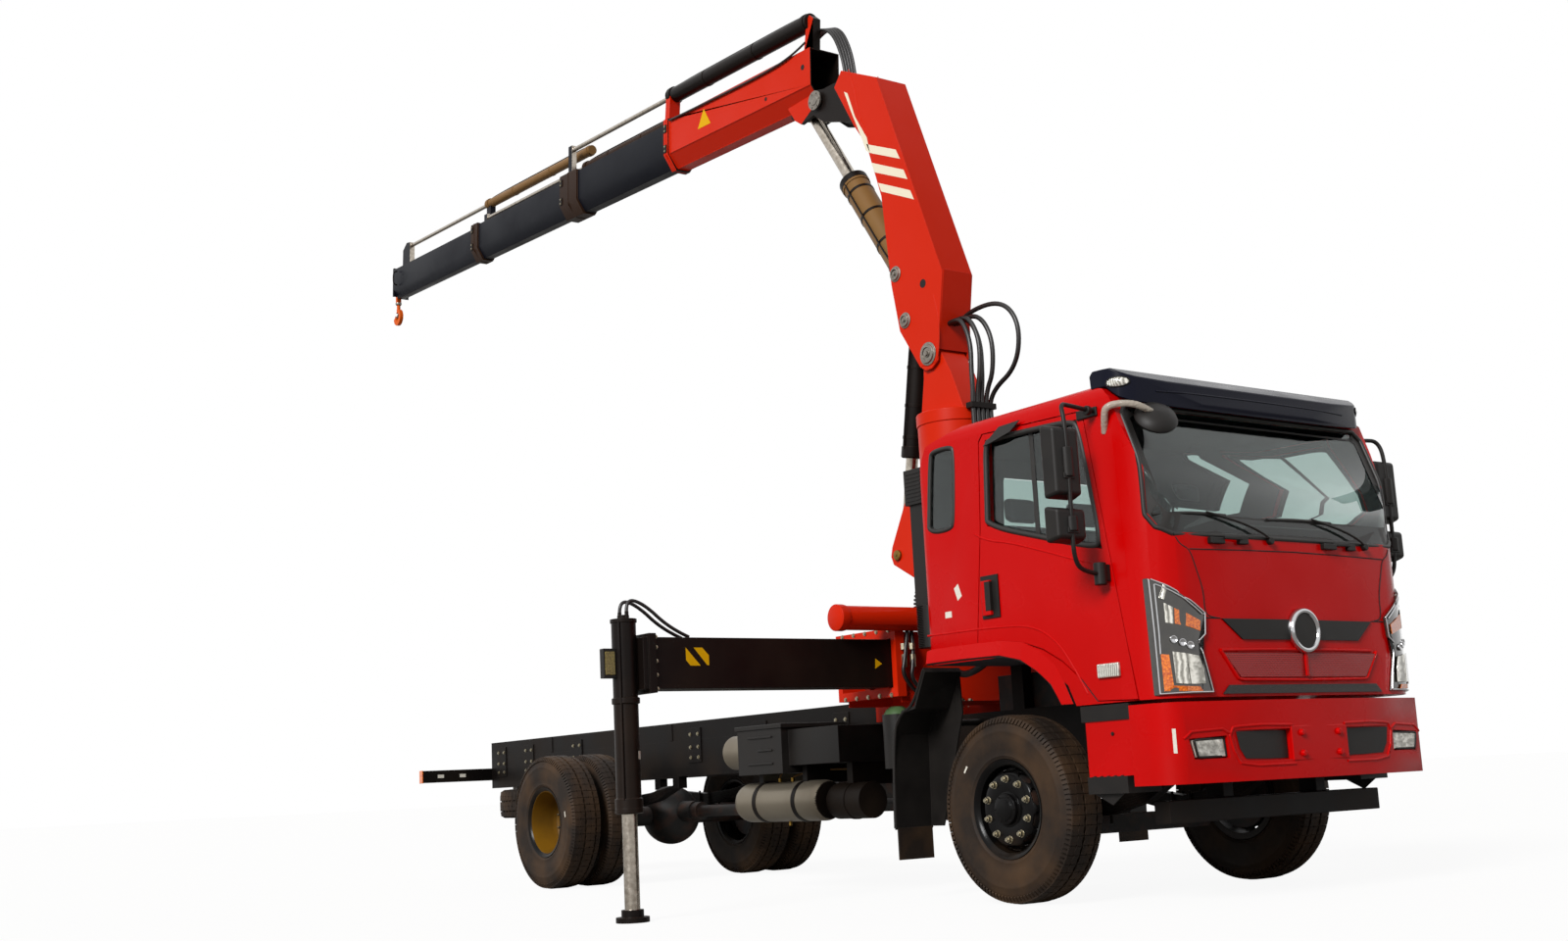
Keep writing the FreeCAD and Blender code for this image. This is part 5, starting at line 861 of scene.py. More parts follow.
# Mirrors: rounded black shells on a bent steel tube, with a round joint at the door bracket and a disc
# mirror over the screen on its own arm.
# Mirror face: silvered glass.
silver, silver_shader, silver_place = start_material("silvered mirror glass")
silver_cloud = add(silver, "ShaderNodeTexNoise", {"Vector": silver_place, "Scale": 5.0})
silver_rough = add(silver, "ShaderNodeMapRange", {"Value": silver_cloud.outputs["Fac"], "To Min": 0.01,
    "To Max": 0.05})
feed(silver, silver_shader, "Roughness", silver_rough.outputs["Result"])
silver_shader.inputs["Base Color"].default_value = linear("#c7ccd0")
silver_shader.inputs["Metallic"].default_value = 1.0
for side, hand in hands:
    body = f"cab_door_{hand}"
    shells = bmesh.new()
    for low, high, wide in ((2.125, 2.525, 0.11), (1.89, 2.09, 0.12)):
        start = len(shells.verts)
        block(shells, (0.872, side * (1.37 - wide), low), (0.965, side * (1.37 + wide), high))
        shells.verts.ensure_lookup_table()
        for vert in shells.verts[start:]:
            if vert.co.x > at(0.9, 0, 0).x:
                vert.co.z += 0.022 if vert.co.z < (low + high) / 2 else -0.022
                vert.co.y += side * 0.02 if abs(vert.co.y) < 1.37 else side * -0.02
    thing = piece(f"mirror_shells_{hand}", shells, trim, body, 0.02, 30)
    thing.modifiers[0].segments = 4
    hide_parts(f"mirrors_{hand}")
    bosses = bmesh.new()
    for low, high in ((2.24, 2.4), (1.95, 2.03)):
        rod(bosses, (0.955, side * 1.37, low), (0.955, side * 1.37, high), 0.034, 28)
        block(bosses, (0.93, side * 1.329, low - 0.012), (0.972, side * 1.411, low + 0.02))
    block(bosses, (0.846, side * 1.08, 1.7), (0.93, side * 1.12, 1.79))
    block(bosses, (0.776, side * 1.08, 2.6), (0.93, side * 1.094, 2.652))
    rod(bosses, (0.905, side * 1.135, 1.68), (0.905, side * 1.135, 1.8), 0.034, 28)
    rod(bosses, (0.905, side * 1.12, 2.628), (0.905, side * 1.15, 2.628), 0.026, 24)
    piece(f"mirror_bosses_{hand}", bosses, trim, body, 0.006)
    hose(f"mirror_tube_{hand}", [[(0.905, side * 1.09, 2.628), (0.905, side * 1.28, 2.645),
        (0.93, side * 1.36, 2.64), (0.962, side * 1.37, 2.54), (0.962, side * 1.37, 2.2),
        (0.958, side * 1.37, 1.95), (0.95, side * 1.365, 1.82), (0.92, side * 1.29, 1.745),
        (0.905, side * 1.14, 1.74)]], 0.0125, trim, body)
    faces = bmesh.new()
    block(faces, (0.868, side * 1.278, 2.145), (0.873, side * 1.462, 2.505))
    block(faces, (0.868, side * 1.268, 1.905), (0.873, side * 1.472, 2.075))
    piece(f"mirror_faces_{hand}", faces, silver, body, 0.002)
nose_mirror = bmesh.new()
turned(nose_mirror, (1.15, -0.87, 2.56), (1.15 + 0.7, -0.87 - 0.35, 2.56 + 0.62), ((0.0, 0.05), (0.06, 0.044),
    (0.105, 0.024), (0.12, 0.0), (0.115, -0.014), (0.0, -0.014)), 40)
piece("nose_mirror", nose_mirror, trim, "chassis")
# Clear packing film: crinkled and half clear.
film, film_shader, film_place = start_material("crinkled clear film")
film_fold = add(film, "ShaderNodeTexVoronoi", {"Vector": film_place, "Scale": 60.0})
film_bump = add(film, "ShaderNodeBump", {"Strength": 1.0, "Distance": 0.004,
    "Height": film_fold.outputs["Distance"]})
feed(film, film_shader, "Normal", film_bump.outputs["Normal"])
film_shader.inputs["Base Color"].default_value = linear("#b9aea0")
film_shader.inputs["Roughness"].default_value = 0.2
film_shader.inputs["Alpha"].default_value = 0.75
hose("nose_mirror_arm", [[(0.96, -1.07, 2.5), (1.0, -1.11, 2.58), (1.03, -1.12, 2.63), (1.1, -1.05, 2.64),
    (1.15, -0.97, 2.62), (1.15, -0.9, 2.59)]], 0.019, film, "chassis")

# Door handles, side marker lamps and blank stickers: moulded black pulls set in the doors, clear lamps,
# small plain labels.
for side, hand in hands:
    body = f"cab_door_{hand}"
    handles = bmesh.new()
    block(handles, (-0.094, side * 1.076, 1.603), (0.052, side * 1.0895, 1.85))
    block(handles, (-0.04, side * 1.088, 1.645), (0.004, side * 1.112, 1.812))
    plate(handles, [(-0.07, side * 1.0898, 1.62), (0.03, side * 1.0898, 1.62), (0.03, side * 1.0898, 1.64),
        (-0.07, side * 1.0898, 1.64)], side * 0.003)
    piece(f"door_handle_{hand}", handles, trim, body, 0.01)
    marker = bmesh.new()
    block(marker, (0.785, side * 1.078, 1.195), (0.945, side * 1.1, 1.27))
    # The side marker carries the painted reflection bands of the fluted finish.
    piece(f"side_marker_{hand}", marker, painted_flute_reflections, body, 0.008)
stickers = bmesh.new()
plate(stickers, [(-0.338, -1.0805, 1.81), (-0.3, -1.0805, 1.835), (-0.272, -1.0805, 1.76),
    (-0.31, -1.0805, 1.735)], 0.0006)
plate(stickers, [(-0.43, -1.0805, 1.681), (-0.372, -1.0805, 1.681), (-0.372, -1.0805, 1.644),
    (-0.43, -1.0805, 1.644)], 0.0006)
piece("cab_stickers", stickers, label, "chassis")

# Wipers and grab handles: black-painted arms from pivots under the screen, rubber blades, two small moulded
# handles.
arms, blades, grabs = [], [], bmesh.new()
for y_pivot, y_elbow, y_tip, y_low, y_high in ((-0.2, -0.44, -0.667, -1.0, -0.51), (0.64, 0.4, 0.21, -0.17,
        0.38)):
    arms.append([on_front("cab_shell", y_pivot, 1.9, 0.004), on_front("cab_shell", y_pivot, 1.915, 0.03),
        on_front("cab_glass", y_elbow, 2.0, 0.035), on_front("cab_glass", y_tip, 2.04, 0.02)])
    blades.append([on_front("cab_glass", y, 2.025 + 0.01 * math.sin((y - y_low) * 5), 0.008) for y in (y_low,
        (y_low * 2 + y_high) / 3, (y_low + y_high * 2) / 3, y_high)])
    spot = on_front("cab_shell", y_pivot, 1.9, 0.0)
    rod(grabs, spot, spot + Vector((0.03, 0, 0)), 0.02)
hose("wiper_arms", arms, 0.0075, trim, "chassis")
hose("wiper_blades", blades, 0.0085, seal, "chassis")
for low, high in ((-0.68, -0.39), (0.245, 0.54)):
    front_a, front_b = (on_front("cab_shell", y, 1.885, 0.0).x for y in (low, high))
    block(grabs, (front_a - 0.01, low, 1.87), (front_a + 0.03, low + 0.11, 1.905))
    block(grabs, (front_b - 0.01, high - 0.07, 1.872), (front_b + 0.026, high, 1.91))
    block(grabs, (front_b + 0.012, low + 0.1, 1.893), (front_b + 0.03, high - 0.05, 1.912))
piece("front_grab_handles", grabs, trim, "chassis", 0.006)

# Bumper: one pressed steel shell in the cab's red, with moulded swages round the lamps, air openings drawn
# as black plates of painted shade, a plain red plate on four round knobs and a white reflector strip at each
# end.
dress("bumper", cab_enamel, 0.012)
# Painted shade: black plates laid on the bumper face where its air openings are.
opening_shades = bmesh.new()
for side in (-1, 1):
    plate(opening_shades, [on_front("bumper", side * y, z, 0.004) for y, z in ((0.24, 0.878), (0.44, 0.88),
        (0.64, 0.878), (0.62, 0.79), (0.58, 0.738), (0.4, 0.732), (0.24, 0.732))], 0.002)
piece("bumper_opening_shades", opening_shades, trim, "chassis", 0.002)
centre, knobs = bmesh.new(), bmesh.new()
block(centre, (1.318, -0.235, 0.715), (1.334, 0.235, 0.9))
for y in (-0.155, 0.155):
    for z in (0.752, 0.862):
        rod(knobs, (1.33, y, z), (1.352, y, z), 0.02, 24, 0.015)
piece("bumper_plate", centre, cab_enamel, "chassis", 0.006)
piece("bumper_knobs", knobs, cab_enamel, "chassis", 0.005)
swages = []
for side in (-1, 1):
    for ring in ([(0.68, 0.87), (0.73, 0.895), (0.94, 0.885), (0.99, 0.85)], [(0.6, 0.905), (0.655, 0.9),
            (0.68, 0.86), (0.66, 0.78), (0.62, 0.715), (0.5, 0.7), (0.22, 0.7)], [(0.22, 0.905), (0.45, 0.91),
            (0.6, 0.905)]):
        swages.append([on_front("bumper", side * y, z, -0.002) for y, z in between(ring, 5, 4)])
hose("bumper_swages", swages, 0.0085, cab_enamel, "chassis")
strips = bmesh.new()
for side in (-1, 1):
    spots = [on_front("bumper", side * y, z, 0.002) for y, z in ((1.035, 0.905), (1.02, 0.905), (1.02, 0.78),
        (1.035, 0.78))]
    plate(strips, spots, 0.001)
piece("bumper_reflector_strips", strips, label, "chassis")
# Fog lamp glass: fluted reflector with painted reflection bands, in a black rim.
dress("fog_lamps", painted_flute_reflections, 0.003)
rims = []
for side in (-1, 1):
    shape = [(0.7, 0.755), (0.708, 0.85), (0.935, 0.842), (0.912, 0.755), (0.7, 0.755)]
    rims.append([(1.272, side * y, z) for y, z in between(shape, 6, 6)])
hose("fog_lamp_rims", rims, 0.006, trim, "chassis")

# Cab steps and the trim band above them: red pressed panels over black moulded treads, ribbed against
# slipping, on a folded bracket.
steps = dress("steps", cab_enamel, 0.006)
paint(steps, trim, lambda x, y, z: z > 0.972 or z < 0.678 or abs(y) < 0.86)
step_ribs = bmesh.new()
for side in (-1, 1):
    for x in (0.69, 0.74, 0.79, 0.84, 0.89):
        block(step_ribs, (x, side * 0.9, 0.676), (x + 0.012, side * 1.09, 0.684))
    plate(step_ribs, [(0.66, side * 1.06, 0.592), (0.88, side * 1.06, 0.592), (0.79, side * 1.06, 0.53)],
        0.006)
    bolt(step_ribs, (0.845, side * 1.078, 0.9), (0, side, 0), 0.008)
piece("step_treads", step_ribs, trim, "chassis", 0.001)

# Wheel guards: black moulded plastic with a stiffening edge behind the front wheels, with plain rubber
# flaps hung from them.
guards = dress("wheel_guards", trim, 0.006)
paint(guards, rubber, lambda x, y, z: z < 0.432)
guard_edges = []
for side in (-1, 1):
    guard_edges.append([(-0.655, side * 1.088, 1.36), (-0.765, side * 1.088, 1.145),
        (-0.88, side * 1.088, 1.125), (-0.985, side * 1.088, 0.99), (-1.005, side * 1.088, 0.43)])
hose("wheel_guard_edges", guard_edges, 0.01, trim, "chassis")

# Dashboard and steering wheel: moulded grey-black plastic under the screen, with the wheel on its column
# in front of the driver's seat.
# Dashboard plastic: grey-black and softly grained.
dash = sprayed_paint("grained dashboard plastic", "#1b1d22", "#2b2d33", 0.55, 0.2, "#2a2c30", 0.2)
dress("dashboard", dash, 0.01)

# Crane base: a welded red steel housing across the subframe with the stabiliser channels, a slewing case
# on top and the round rack tube, bolted down through thick feet.
# Crane enamel: a more orange red than the cab, dustier, chipped along plate edges.
crane_enamel = sprayed_paint("orange red crane enamel", "#c62204", "#6a2c14", 0.3, 0.3, "#4a1208", 0.5)
slew_x = -1.45
dress("crane_base", crane_enamel, 0.004)
base_bolts, base_plates = bmesh.new(), bmesh.new()
for count in range(28):
    angle = math.tau * count / 28
    bolt(base_bolts, (slew_x + 0.3 * math.cos(angle), 0.3 * math.sin(angle), 1.9), (0, 0, 1), 0.012)
for side in (-1, 1):
    for x in (-1.74, -1.62, -1.5, -1.38, -1.26):
        for z in (1.25, 1.66):
            bolt(base_bolts, (x, side * 0.851, z), (0, side, 0), 0.011)
    for y in (0.3, 0.37):
        for x in (-1.9, -1.14):
            bolt(base_bolts, (x, side * y, 1.2), (0, 0, 1), 0.014)
    for x in (-1.78, -1.232):
        plate(base_plates, [(x, side * 0.35, 1.2), (x, side * 0.35, 1.6), (x, side * 0.8, 1.3),
            (x, side * 0.8, 1.2)], 0.008)
    turned(base_plates, (-1.195, side * 1.25, 1.726), (-1.195, side * 2.25, 1.726),
        ((0.0, 0.075), (0.06, 0.074), (0.084, 0.066), (0.084, 0.02), (0.08, 0.0), (0.0, 0.0)), 32)
    turned(base_plates, (-1.195, side * 0.45, 1.726), (-1.195, side * 1.45, 1.726),
        ((0.0, 0.05), (0.088, 0.05), (0.088, 0.0), (0.0, 0.0)), 32)
piece("base_bolts", base_bolts, zinc, "chassis")
piece("base_gussets", base_plates, crane_enamel, "chassis", 0.003)
# Hydraulic hose: black ribbed rubber with a dull shine.
hose_rubber = mottled("ribbed hydraulic hose", "#060505", "#1c1715", 90.0, 2.0, {"Roughness": 0.4},
    bump=(0.3, 0.001))
hose("base_hoses", [[(-1.19, side * 0.75, 1.66), (-1.16, side * 0.8, 1.5), (-1.17, side * 0.84, 1.33),
    (-1.2, side * 0.6, 1.2)] for side in (-1, 1)] + [[(-1.21, side * 0.7, 1.66), (-1.15, side * 0.74, 1.48),
    (-1.16, side * 0.78, 1.3), (-1.2, side * 0.5, 1.19)] for side in (-1, 1)], 0.013, hose_rubber, "chassis")
couplings = bmesh.new()
for side in (-1, 1):
    for x, y in ((-1.19, 0.79), (-1.165, 0.74)):
        rod(couplings, (x, side * y, 1.42), (x, side * y, 1.5), 0.019, 12)
        rod(couplings, (x, side * y, 1.53), (x, side * y, 1.57), 0.021, 6)
piece("base_couplings", couplings, zinc, "chassis", 0.001)

# Stabilisers: near-black welded box beams with a bolted leg clamp, a painted leg tube and a ground steel
# rod on a turned foot; yellow hazard stripes, a small arrow, a marker lamp and a blank sticker.
# Leg paint: brown-black satin.
leg_paint = sprayed_paint("brown black crane paint", "#120d0b", "#3f2c1e", 0.3, 0.45, "#4a2e1a", 0.6)
# Ground rod: bright turned steel, slightly warm, with fine rings.
rod_steel = mottled("ground steel rod", "#7c6f60", "#d8d0c4", 35.0, 6.0, {"Metallic": 1.0},
    gloss=(0.14, 0.34))
# Gold-grey marker lens: small cells with painted glints, each lighter in its middle and darker to its edges.
lens_gold = mottled("gold grey marker lens", "#8d7c3e", "#4c4020", 120.0, 0.0, {"Roughness": 0.25}, "Voronoi")
# Yellow sign paint, slightly dirty.
yellow = sprayed_paint("yellow sign paint", "#d9a404", "#6b4f10", 0.4, 0.4, "#8a6a10", 0.2)
for side, hand, x in ((1, "left", -1.65), (-1, "right", -1.36)):
    beam_body = f"beam_{hand}"
    dress(f"stabiliser_{hand}", leg_paint, 0.004)
    leg = dress(f"leg_rod_{hand}", rod_steel, 0.002)
    paint(leg, leg_paint, lambda px, py, pz: pz < 0.078)
    fittings, caps, signs, lamp = bmesh.new(), bmesh.new(), bmesh.new(), bmesh.new()
    leg_y = side * 2.739
    for z in (1.3, 1.38, 1.46, 1.54, 1.6):
        for dx in (-0.12, 0.12):
            bolt(fittings, (x + dx, side * 2.5975, z), (0, -side, 0), 0.01)
    rod(caps, (x, leg_y, 1.69), (x, leg_y, 1.712), 0.078, 36)
    rod(caps, (x, leg_y, 1.712), (x, leg_y, 1.735), 0.035, 24)
    rod(caps, (x + 0.04, leg_y, 1.7), (x + 0.04, leg_y, 1.755), 0.012, 12)
    rod(caps, (x - 0.04, leg_y, 1.7), (x - 0.04, leg_y, 1.755), 0.012, 12)
    turned(caps, (x, leg_y, 0), (x, leg_y, 1), ((0.0725, 1.22), (0.082, 1.225), (0.082, 1.255),
        (0.0725, 1.26), (0.0725, 1.22)), 36)
    turned(caps, (x, leg_y, 0), (x, leg_y, 1), ((0.0455, 0.6), (0.07, 0.6), (0.081, 0.606), (0.081, 0.632),
        (0.0725, 0.636), (0.0455, 0.63), (0.0455, 0.6)), 36)
    piece(f"leg_caps_{hand}", caps, leg_paint, beam_body, 0.002)
    piece(f"leg_clamp_bolts_{hand}", fittings, zinc, beam_body)
    face = x + 0.1135
    for stripe in (((2.39, 1.54), (2.29, 1.434), (2.36, 1.434), (2.39, 1.466)), ((2.335, 1.54), (2.275, 1.54),
            (2.23, 1.495), (2.23, 1.437), (2.243, 1.437))):
        plate(signs, [(face, side * y, z) for y, z in stripe], 0.0008)
    plate(signs, [(face, side * 0.978, 1.478), (face, side * 0.983, 1.415), (face, side * 0.927, 1.445)],
        0.0008)
    piece(f"beam_signs_{hand}", signs, yellow, beam_body)
    block(lamp, (x + 0.01, side * 2.818, 1.388), (x + 0.03, side * 2.882, 1.522))
    # The lamp's lens carries the painted glints of the gold-grey finish.
    piece(f"leg_lamp_{hand}", lamp, lens_gold, beam_body, 0.003)
    rim = bmesh.new()
    block(rim, (x - 0.02, side * 2.8, 1.37), (x + 0.025, side * 2.892, 1.54))
    piece(f"leg_lamp_rim_{hand}", rim, trim, beam_body, 0.003)
    sticker = bmesh.new()
    for count in range(3):
        angles = [math.radians(20 + 14 * count), math.radians(34 + 14 * count)]
        plate(sticker, [(x + 0.0735 * math.sin(a), side * -0.0735 * math.cos(a) + leg_y, z) for a,
            z in ((angles[0], 0.905), (angles[0], 0.952), (angles[1], 0.952), (angles[1], 0.905))], 0.0006)
    piece(f"leg_sticker_{hand}", sticker, label, beam_body)
    hose(f"leg_hoses_{hand}", [[(x + dx, side * 2.32, 1.61), (x + dx, side * 2.45, 1.66),
        (x + dx, side * 2.62, 1.8), (x + dx * 0.9, leg_y, 1.83), (x + dx, leg_y, 1.75)] for dx in (-0.04,
        0.04)], 0.0105, hose_rubber, beam_body)
    hose(f"leg_pipe_{hand}", [[(x + 0.05, leg_y + side * 0.06, 1.7), (x + 0.052, leg_y + side * 0.062, 1.3),
        (x + 0.052, leg_y + side * 0.062, 0.68)]], 0.006, leg_paint, beam_body)

# Slewing column: a red rolled tube with a flat welded head and lugs for the lift ram, a cover ring at
# its foot and a hose clamp on the cab side.
dress("column", crane_enamel, 0.004)
collars, clamp = bmesh.new(), bmesh.new()
turned(collars, (slew_x, 0, 0), (slew_x, 0, 1), ((0.2545, 1.903), (0.3, 1.903), (0.3, 1.925), (0.27, 1.96),
    (0.2545, 1.975), (0.2545, 1.903)), 64)
turned(collars, (slew_x, 0, 0), (slew_x, 0, 1), ((0.2545, 3.09), (0.262, 3.095), (0.262, 3.175),
    (0.2545, 3.182), (0.2545, 3.09)), 64)
piece("column_collars", collars, crane_enamel, "slewing_column", 0.003)
block(clamp, (-1.2, -0.11, 3.16), (-1.135, 0.11, 3.2))
block(clamp, (-1.2, -0.11, 2.3), (-1.14, 0.11, 2.335))
piece("hose_clamps", clamp, leg_paint, "slewing_column", 0.003)
hose("column_hoses", [[(-1.162, y, 3.2), (-1.162, y, 2.7), (-1.165, y, 2.2), (-1.17, y * 1.1, 1.98)]
    for y in (-0.08, -0.04, 0.0, 0.04, 0.08)], 0.0165, hose_rubber, "slewing_column")
# Brass-coloured pins, dull gold with dark grease.
brass = mottled("greasy brass coloured steel", "#3a2c14", "#b08a3c", 30.0, 5.0,
    {"Metallic": 0.9, "Roughness": 0.35})
lug_pins = bmesh.new()
for side in (-1, 1):
    turned(lug_pins, (-2.054, side * 0.072, 2.277), (-2.054, side * 1.072, 2.277),
        ((0.0, 0.022), (0.02, 0.022), (0.036, 0.018), (0.038, 0.0), (0.0, 0.0)), 32)
    bolt(lug_pins, (-2.054, side * 0.092, 2.277), (0, side, 0), 0.009)
piece("lift_foot_pins", lug_pins, brass, "slewing_column", 0.001)

# Main boom: a red welded box of bent side plates with doubler plates round the pins, cream stripes
# painted on both sides, a bolted cover with an arched mouth for the hoses on the cab side.
dress("main_boom", crane_enamel, 0.004)
dress("knuckle_bracket", leg_paint, 0.004)
# Brushed pin steel: mid grey with a round brush pattern.
pin_steel = mottled("brushed pin steel", "#5b5650", "#a39c92", 70.0, 4.0, {"Metallic": 0.8, "Roughness": 0.4})
dress("boom_pins", pin_steel, 0.003)
# Cream stripe paint.
cream = sprayed_paint("cream stripe paint", "#e6dcc4", "#8a6f52", 0.38, 0.3, "#a4603f", 0.2)


def boom_side(reach, height, side):
    """A place on the main boom's flank, from the slewing axis."""
    return (slew_x - reach, side * 0.14, height)


stripes, heads, welds = bmesh.new(), bmesh.new(), []
for side in (-1, 1):
    for outline in ([(0.605, 5.321), (0.277, 5.17), (0.237, 5.087), (0.569, 5.241)],
            [(0.561, 5.164), (0.204, 4.994), (0.168, 4.912), (0.528, 5.079)], [(0.497, 4.989), (0.147, 4.823),
            (0.111, 4.744), (0.467, 4.914)], [(0.832, 5.811), (0.792, 5.786), (0.718, 5.574), (0.595, 5.368),
            (0.569, 5.241), (0.61, 5.271), (0.656, 5.388), (0.761, 5.63)]):
        plate(stripes, [boom_side(r, z, side) for r, z in outline], side * 0.0008)
    for r, z, size in ((0.363, 4.264, 0.05), (0.288, 3.904, 0.05), (0.066, 3.61, 0.072)):
        start = boom_side(r, z, side)
        end = (start[0], start[1] + side, start[2])
        turned(heads, start, end, ((size * 0.6, 0.001), (size * 1.15, 0.001), (size * 1.15, 0.006),
            (size * 0.95, 0.009), (size * 0.9, 0.019), (size * 0.62, 0.021), (size * 0.6, 0.001)), 36)
        bolt(heads, (start[0], side * 0.155, start[2]), (0, side, 0), size * 0.28)
    welds.append([boom_side(r, z, side) for r, z in ((-0.03, 4.006), (-0.078, 3.843), (-0.043, 3.56),
        (0.031, 3.52), (0.141, 3.54))])
    welds.append([boom_side(r, z, side) for r, z in ((0.763, 5.963), (0.712, 5.819), (0.674, 5.538),
        (0.565, 5.357))])
piece("boom_stripes", stripes, cream, "inner_boom")
piece("boom_pin_heads", heads, pin_steel, "inner_boom", 0.0015)
hose("boom_weld_lines", welds, 0.0035, crane_enamel, "inner_boom")
# Round holes in the flanks: dark discs laid on the plate as painted shade.
holes = bmesh.new()
for side in (-1, 1):
    start = boom_side(0.075, 4.118, side)
    turned(holes, start, (start[0], start[1] + side, start[2]), ((0.0, 0.0015), (0.031, 0.0015),
        (0.031, -0.004)), 28)
piece("boom_round_hole_shades", holes, gap, "inner_boom")
cover, cover_bolts = bmesh.new(), bmesh.new()
outline = [(-1.315, -0.128, 4.167), (-1.315, 0.128, 4.167), (-1.398, 0.128, 3.71), (-1.398, 0.075, 3.71),
    (-1.385, 0.06, 3.78), (-1.374, 0.03, 3.845), (-1.373, 0.0, 3.852), (-1.374, -0.03, 3.845),
    (-1.385, -0.06, 3.78), (-1.398, -0.075, 3.71), (-1.398, -0.128, 3.71)]
plate(cover, [(x + 0.004, y, z) for x, y, z in outline], 0.006)
# The cover's arched mouth: a dark plate of painted shade.
arch = bmesh.new()
plate(arch, [(x + 0.001, y, z) for x, y, z in [(-1.3995, 0.09, 3.7)] + outline[3:10]
    + [(-1.3995, -0.09, 3.7)]], 0.002)
piece("boom_cover_mouth_shade", arch, gap, "inner_boom")
piece("boom_cover", cover, crane_enamel, "inner_boom", 0.002)
for y in (-0.1, 0.0, 0.1):
    bolt(cover_bolts, (-1.355, y, 3.99), (1, 0, -0.18), 0.01)
piece("boom_cover_bolts", cover_bolts, zinc, "inner_boom")
for index, (y, swing) in enumerate(((-0.06, 0.0), (-0.03, 0.05), (0.0, 0.02), (0.03, 0.1), (0.06, 0.34))):
    loop = hose(f"boom_foot_hose_{index}", [[(-1.4, y * 0.8, 3.8), (-1.34, y, 3.81 + swing * 0.2),
        (-1.24 + swing * 0.8, y, 3.8 + swing * 0.25), (-1.15 + swing, y * 1.2, 3.62 + swing * 0.2),
        (-1.15 + swing * 0.8, y * 1.4, 3.4), (-1.15, y * 1.35, 3.28), (-1.162, y * 1.33, 3.19)]], 0.0165,
        hose_rubber, None)
    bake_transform(loop)

# Rams of the two boom joints: honed tubes with a screwed gland and welded eyes, bright rods, thin steel
# pipes clipped along them; the lift ram is black, the fold ram is tan on the side that keeps its primer.
# Tan primer: brown-yellow with soft dirt.
tan = sprayed_paint("tan primer", "#7a5a34", "#3a2b1c", 0.34, 0.4, "#3a2613", 0.5)
dress("lift_barrel", leg_paint, 0.003)
dress("lift_rod", rod_steel, 0.002)
dress("fold_barrel", tan, 0.003)
dress("fold_rod", rod_steel, 0.002)


def ram_trim(name, start, end, radius, side_pipe, finish, body):
    """Gland, end rings and a clipped pipe on a ram barrel from start to end."""
    start, end = Vector(start), Vector(end)
    way = (end - start).normalized()
    skin = bmesh.new()
    long = (end - start).length
    turned(skin, start, start + way, ((radius * 0.7, long - 0.05), (radius * 1.09, long - 0.05),
        (radius * 1.09, long + 0.004), (radius * 0.96, long + 0.012), (radius * 0.7, long + 0.012),
        (radius * 0.7, long - 0.05)), 48)
    turned(skin, start, start + way, ((radius * 0.9, 0.06), (radius * 1.05, 0.06), (radius * 1.05, 0.09),
        (radius * 0.9, 0.09), (radius * 0.9, 0.06)), 48)
    piece(f"{name}_rings", skin, finish, body, 0.002)
    out = Vector((0, side_pipe * (radius + 0.012), 0))
    hose(f"{name}_pipe", [[start + way * 0.1 + out * 0.9, start + way * 0.14 + out, start + way * (long * 0.5)
        + out, start + way * (long - 0.08) + out, start + way * (long - 0.05) + out * 0.9]], 0.007, leg_paint,
        body)
    clips = bmesh.new()
    for part in (0.3, 0.6, 0.85):
        spot = start + way * (long * part)
        turned(clips, spot, spot + way, ((radius * 0.98, -0.011), (radius + 0.004, -0.011),
            (radius + 0.004, 0.011), (radius * 0.98, 0.011), (radius * 0.98, -0.011)), 40)
    piece(f"{name}_clips", clips, finish, body, 0.001)


knuckle_x, knuckle_z = -2.63, 5.865
lift_top, lift_foot = Vector((slew_x - 0.288, 0, 3.904)), Vector((slew_x - 0.604, 0, 2.277))
lift_way = (lift_foot - lift_top).normalized()
ram_trim("lift_ram", lift_top + lift_way * 0.05, lift_top + lift_way * 0.955, 0.074, -1, leg_paint,
    "lift_cylinder")
fold_foot = Vector((slew_x - 0.366, 0, 4.256))
fold_eye = Vector((knuckle_x - 0.22, 0, knuckle_z - 0.015))
fold_way = (fold_eye - fold_foot).normalized()
ram_trim("fold_ram", fold_foot + fold_way * 0.06, fold_foot + fold_way * 1.08, 0.104, -1, leg_paint,
    "fold_cylinder")

# Outer boom and its three sliding stages: folded and seam-welded high-strength plate, the first box red
# with an open rear end whose hollow is painted dark as shade, the others blue-black with brown welded
# collars and extension rams lying along the top.
# Blue-black stage paint, with brown wear along the plate edges.
stage_paint = sprayed_paint("blue black stage paint", "#060913", "#33241a", 0.3, 0.3, "#5a3820", 0.6)
# Brown collar paint: primer showing through black.
collar_paint = sprayed_paint("brown collar paint", "#2a1a11", "#6a4a2c", 0.34, 0.5, "#7a4d28", 0.6)
slope = math.radians(3.4)


def jib(s, side, h):
    """A place on the outer boom: along it from the knuckle pin, to the left, and up from it."""
    return at(knuckle_x - s * math.cos(slope) + h * math.sin(slope), side, knuckle_z + s * math.sin(slope) + h
        * math.cos(slope))


def jib_parts(x, z):
    """How far along and how high above the outer boom's line a truck place is."""
    back, up = knuckle_x - x, z - knuckle_z
    return back * math.cos(slope) + up * math.sin(slope), up * math.cos(slope) - back * math.sin(slope)


def stage_rim(step, s, push=0.0):
    """The corners of a boom stage's cross-section at s, pushed outwards."""
    inset = 0.015 * step - push
    half, keel = 0.14 - inset, 0.052 - inset / 3
    return [(s, y, h) for y, h in ((-half, 0.452 - inset), (-half, 0.152 + inset * 0.6),
        (-keel, 0.032 + inset), (keel, 0.032 + inset), (half, 0.152 + inset * 0.6), (half, 0.452 - inset))]


def is_ram(x, y, z, side, height, radius):
    """True on the barrel of an extension ram."""
    return math.hypot(y - side, jib_parts(x, z)[1] - height) < radius + 0.002


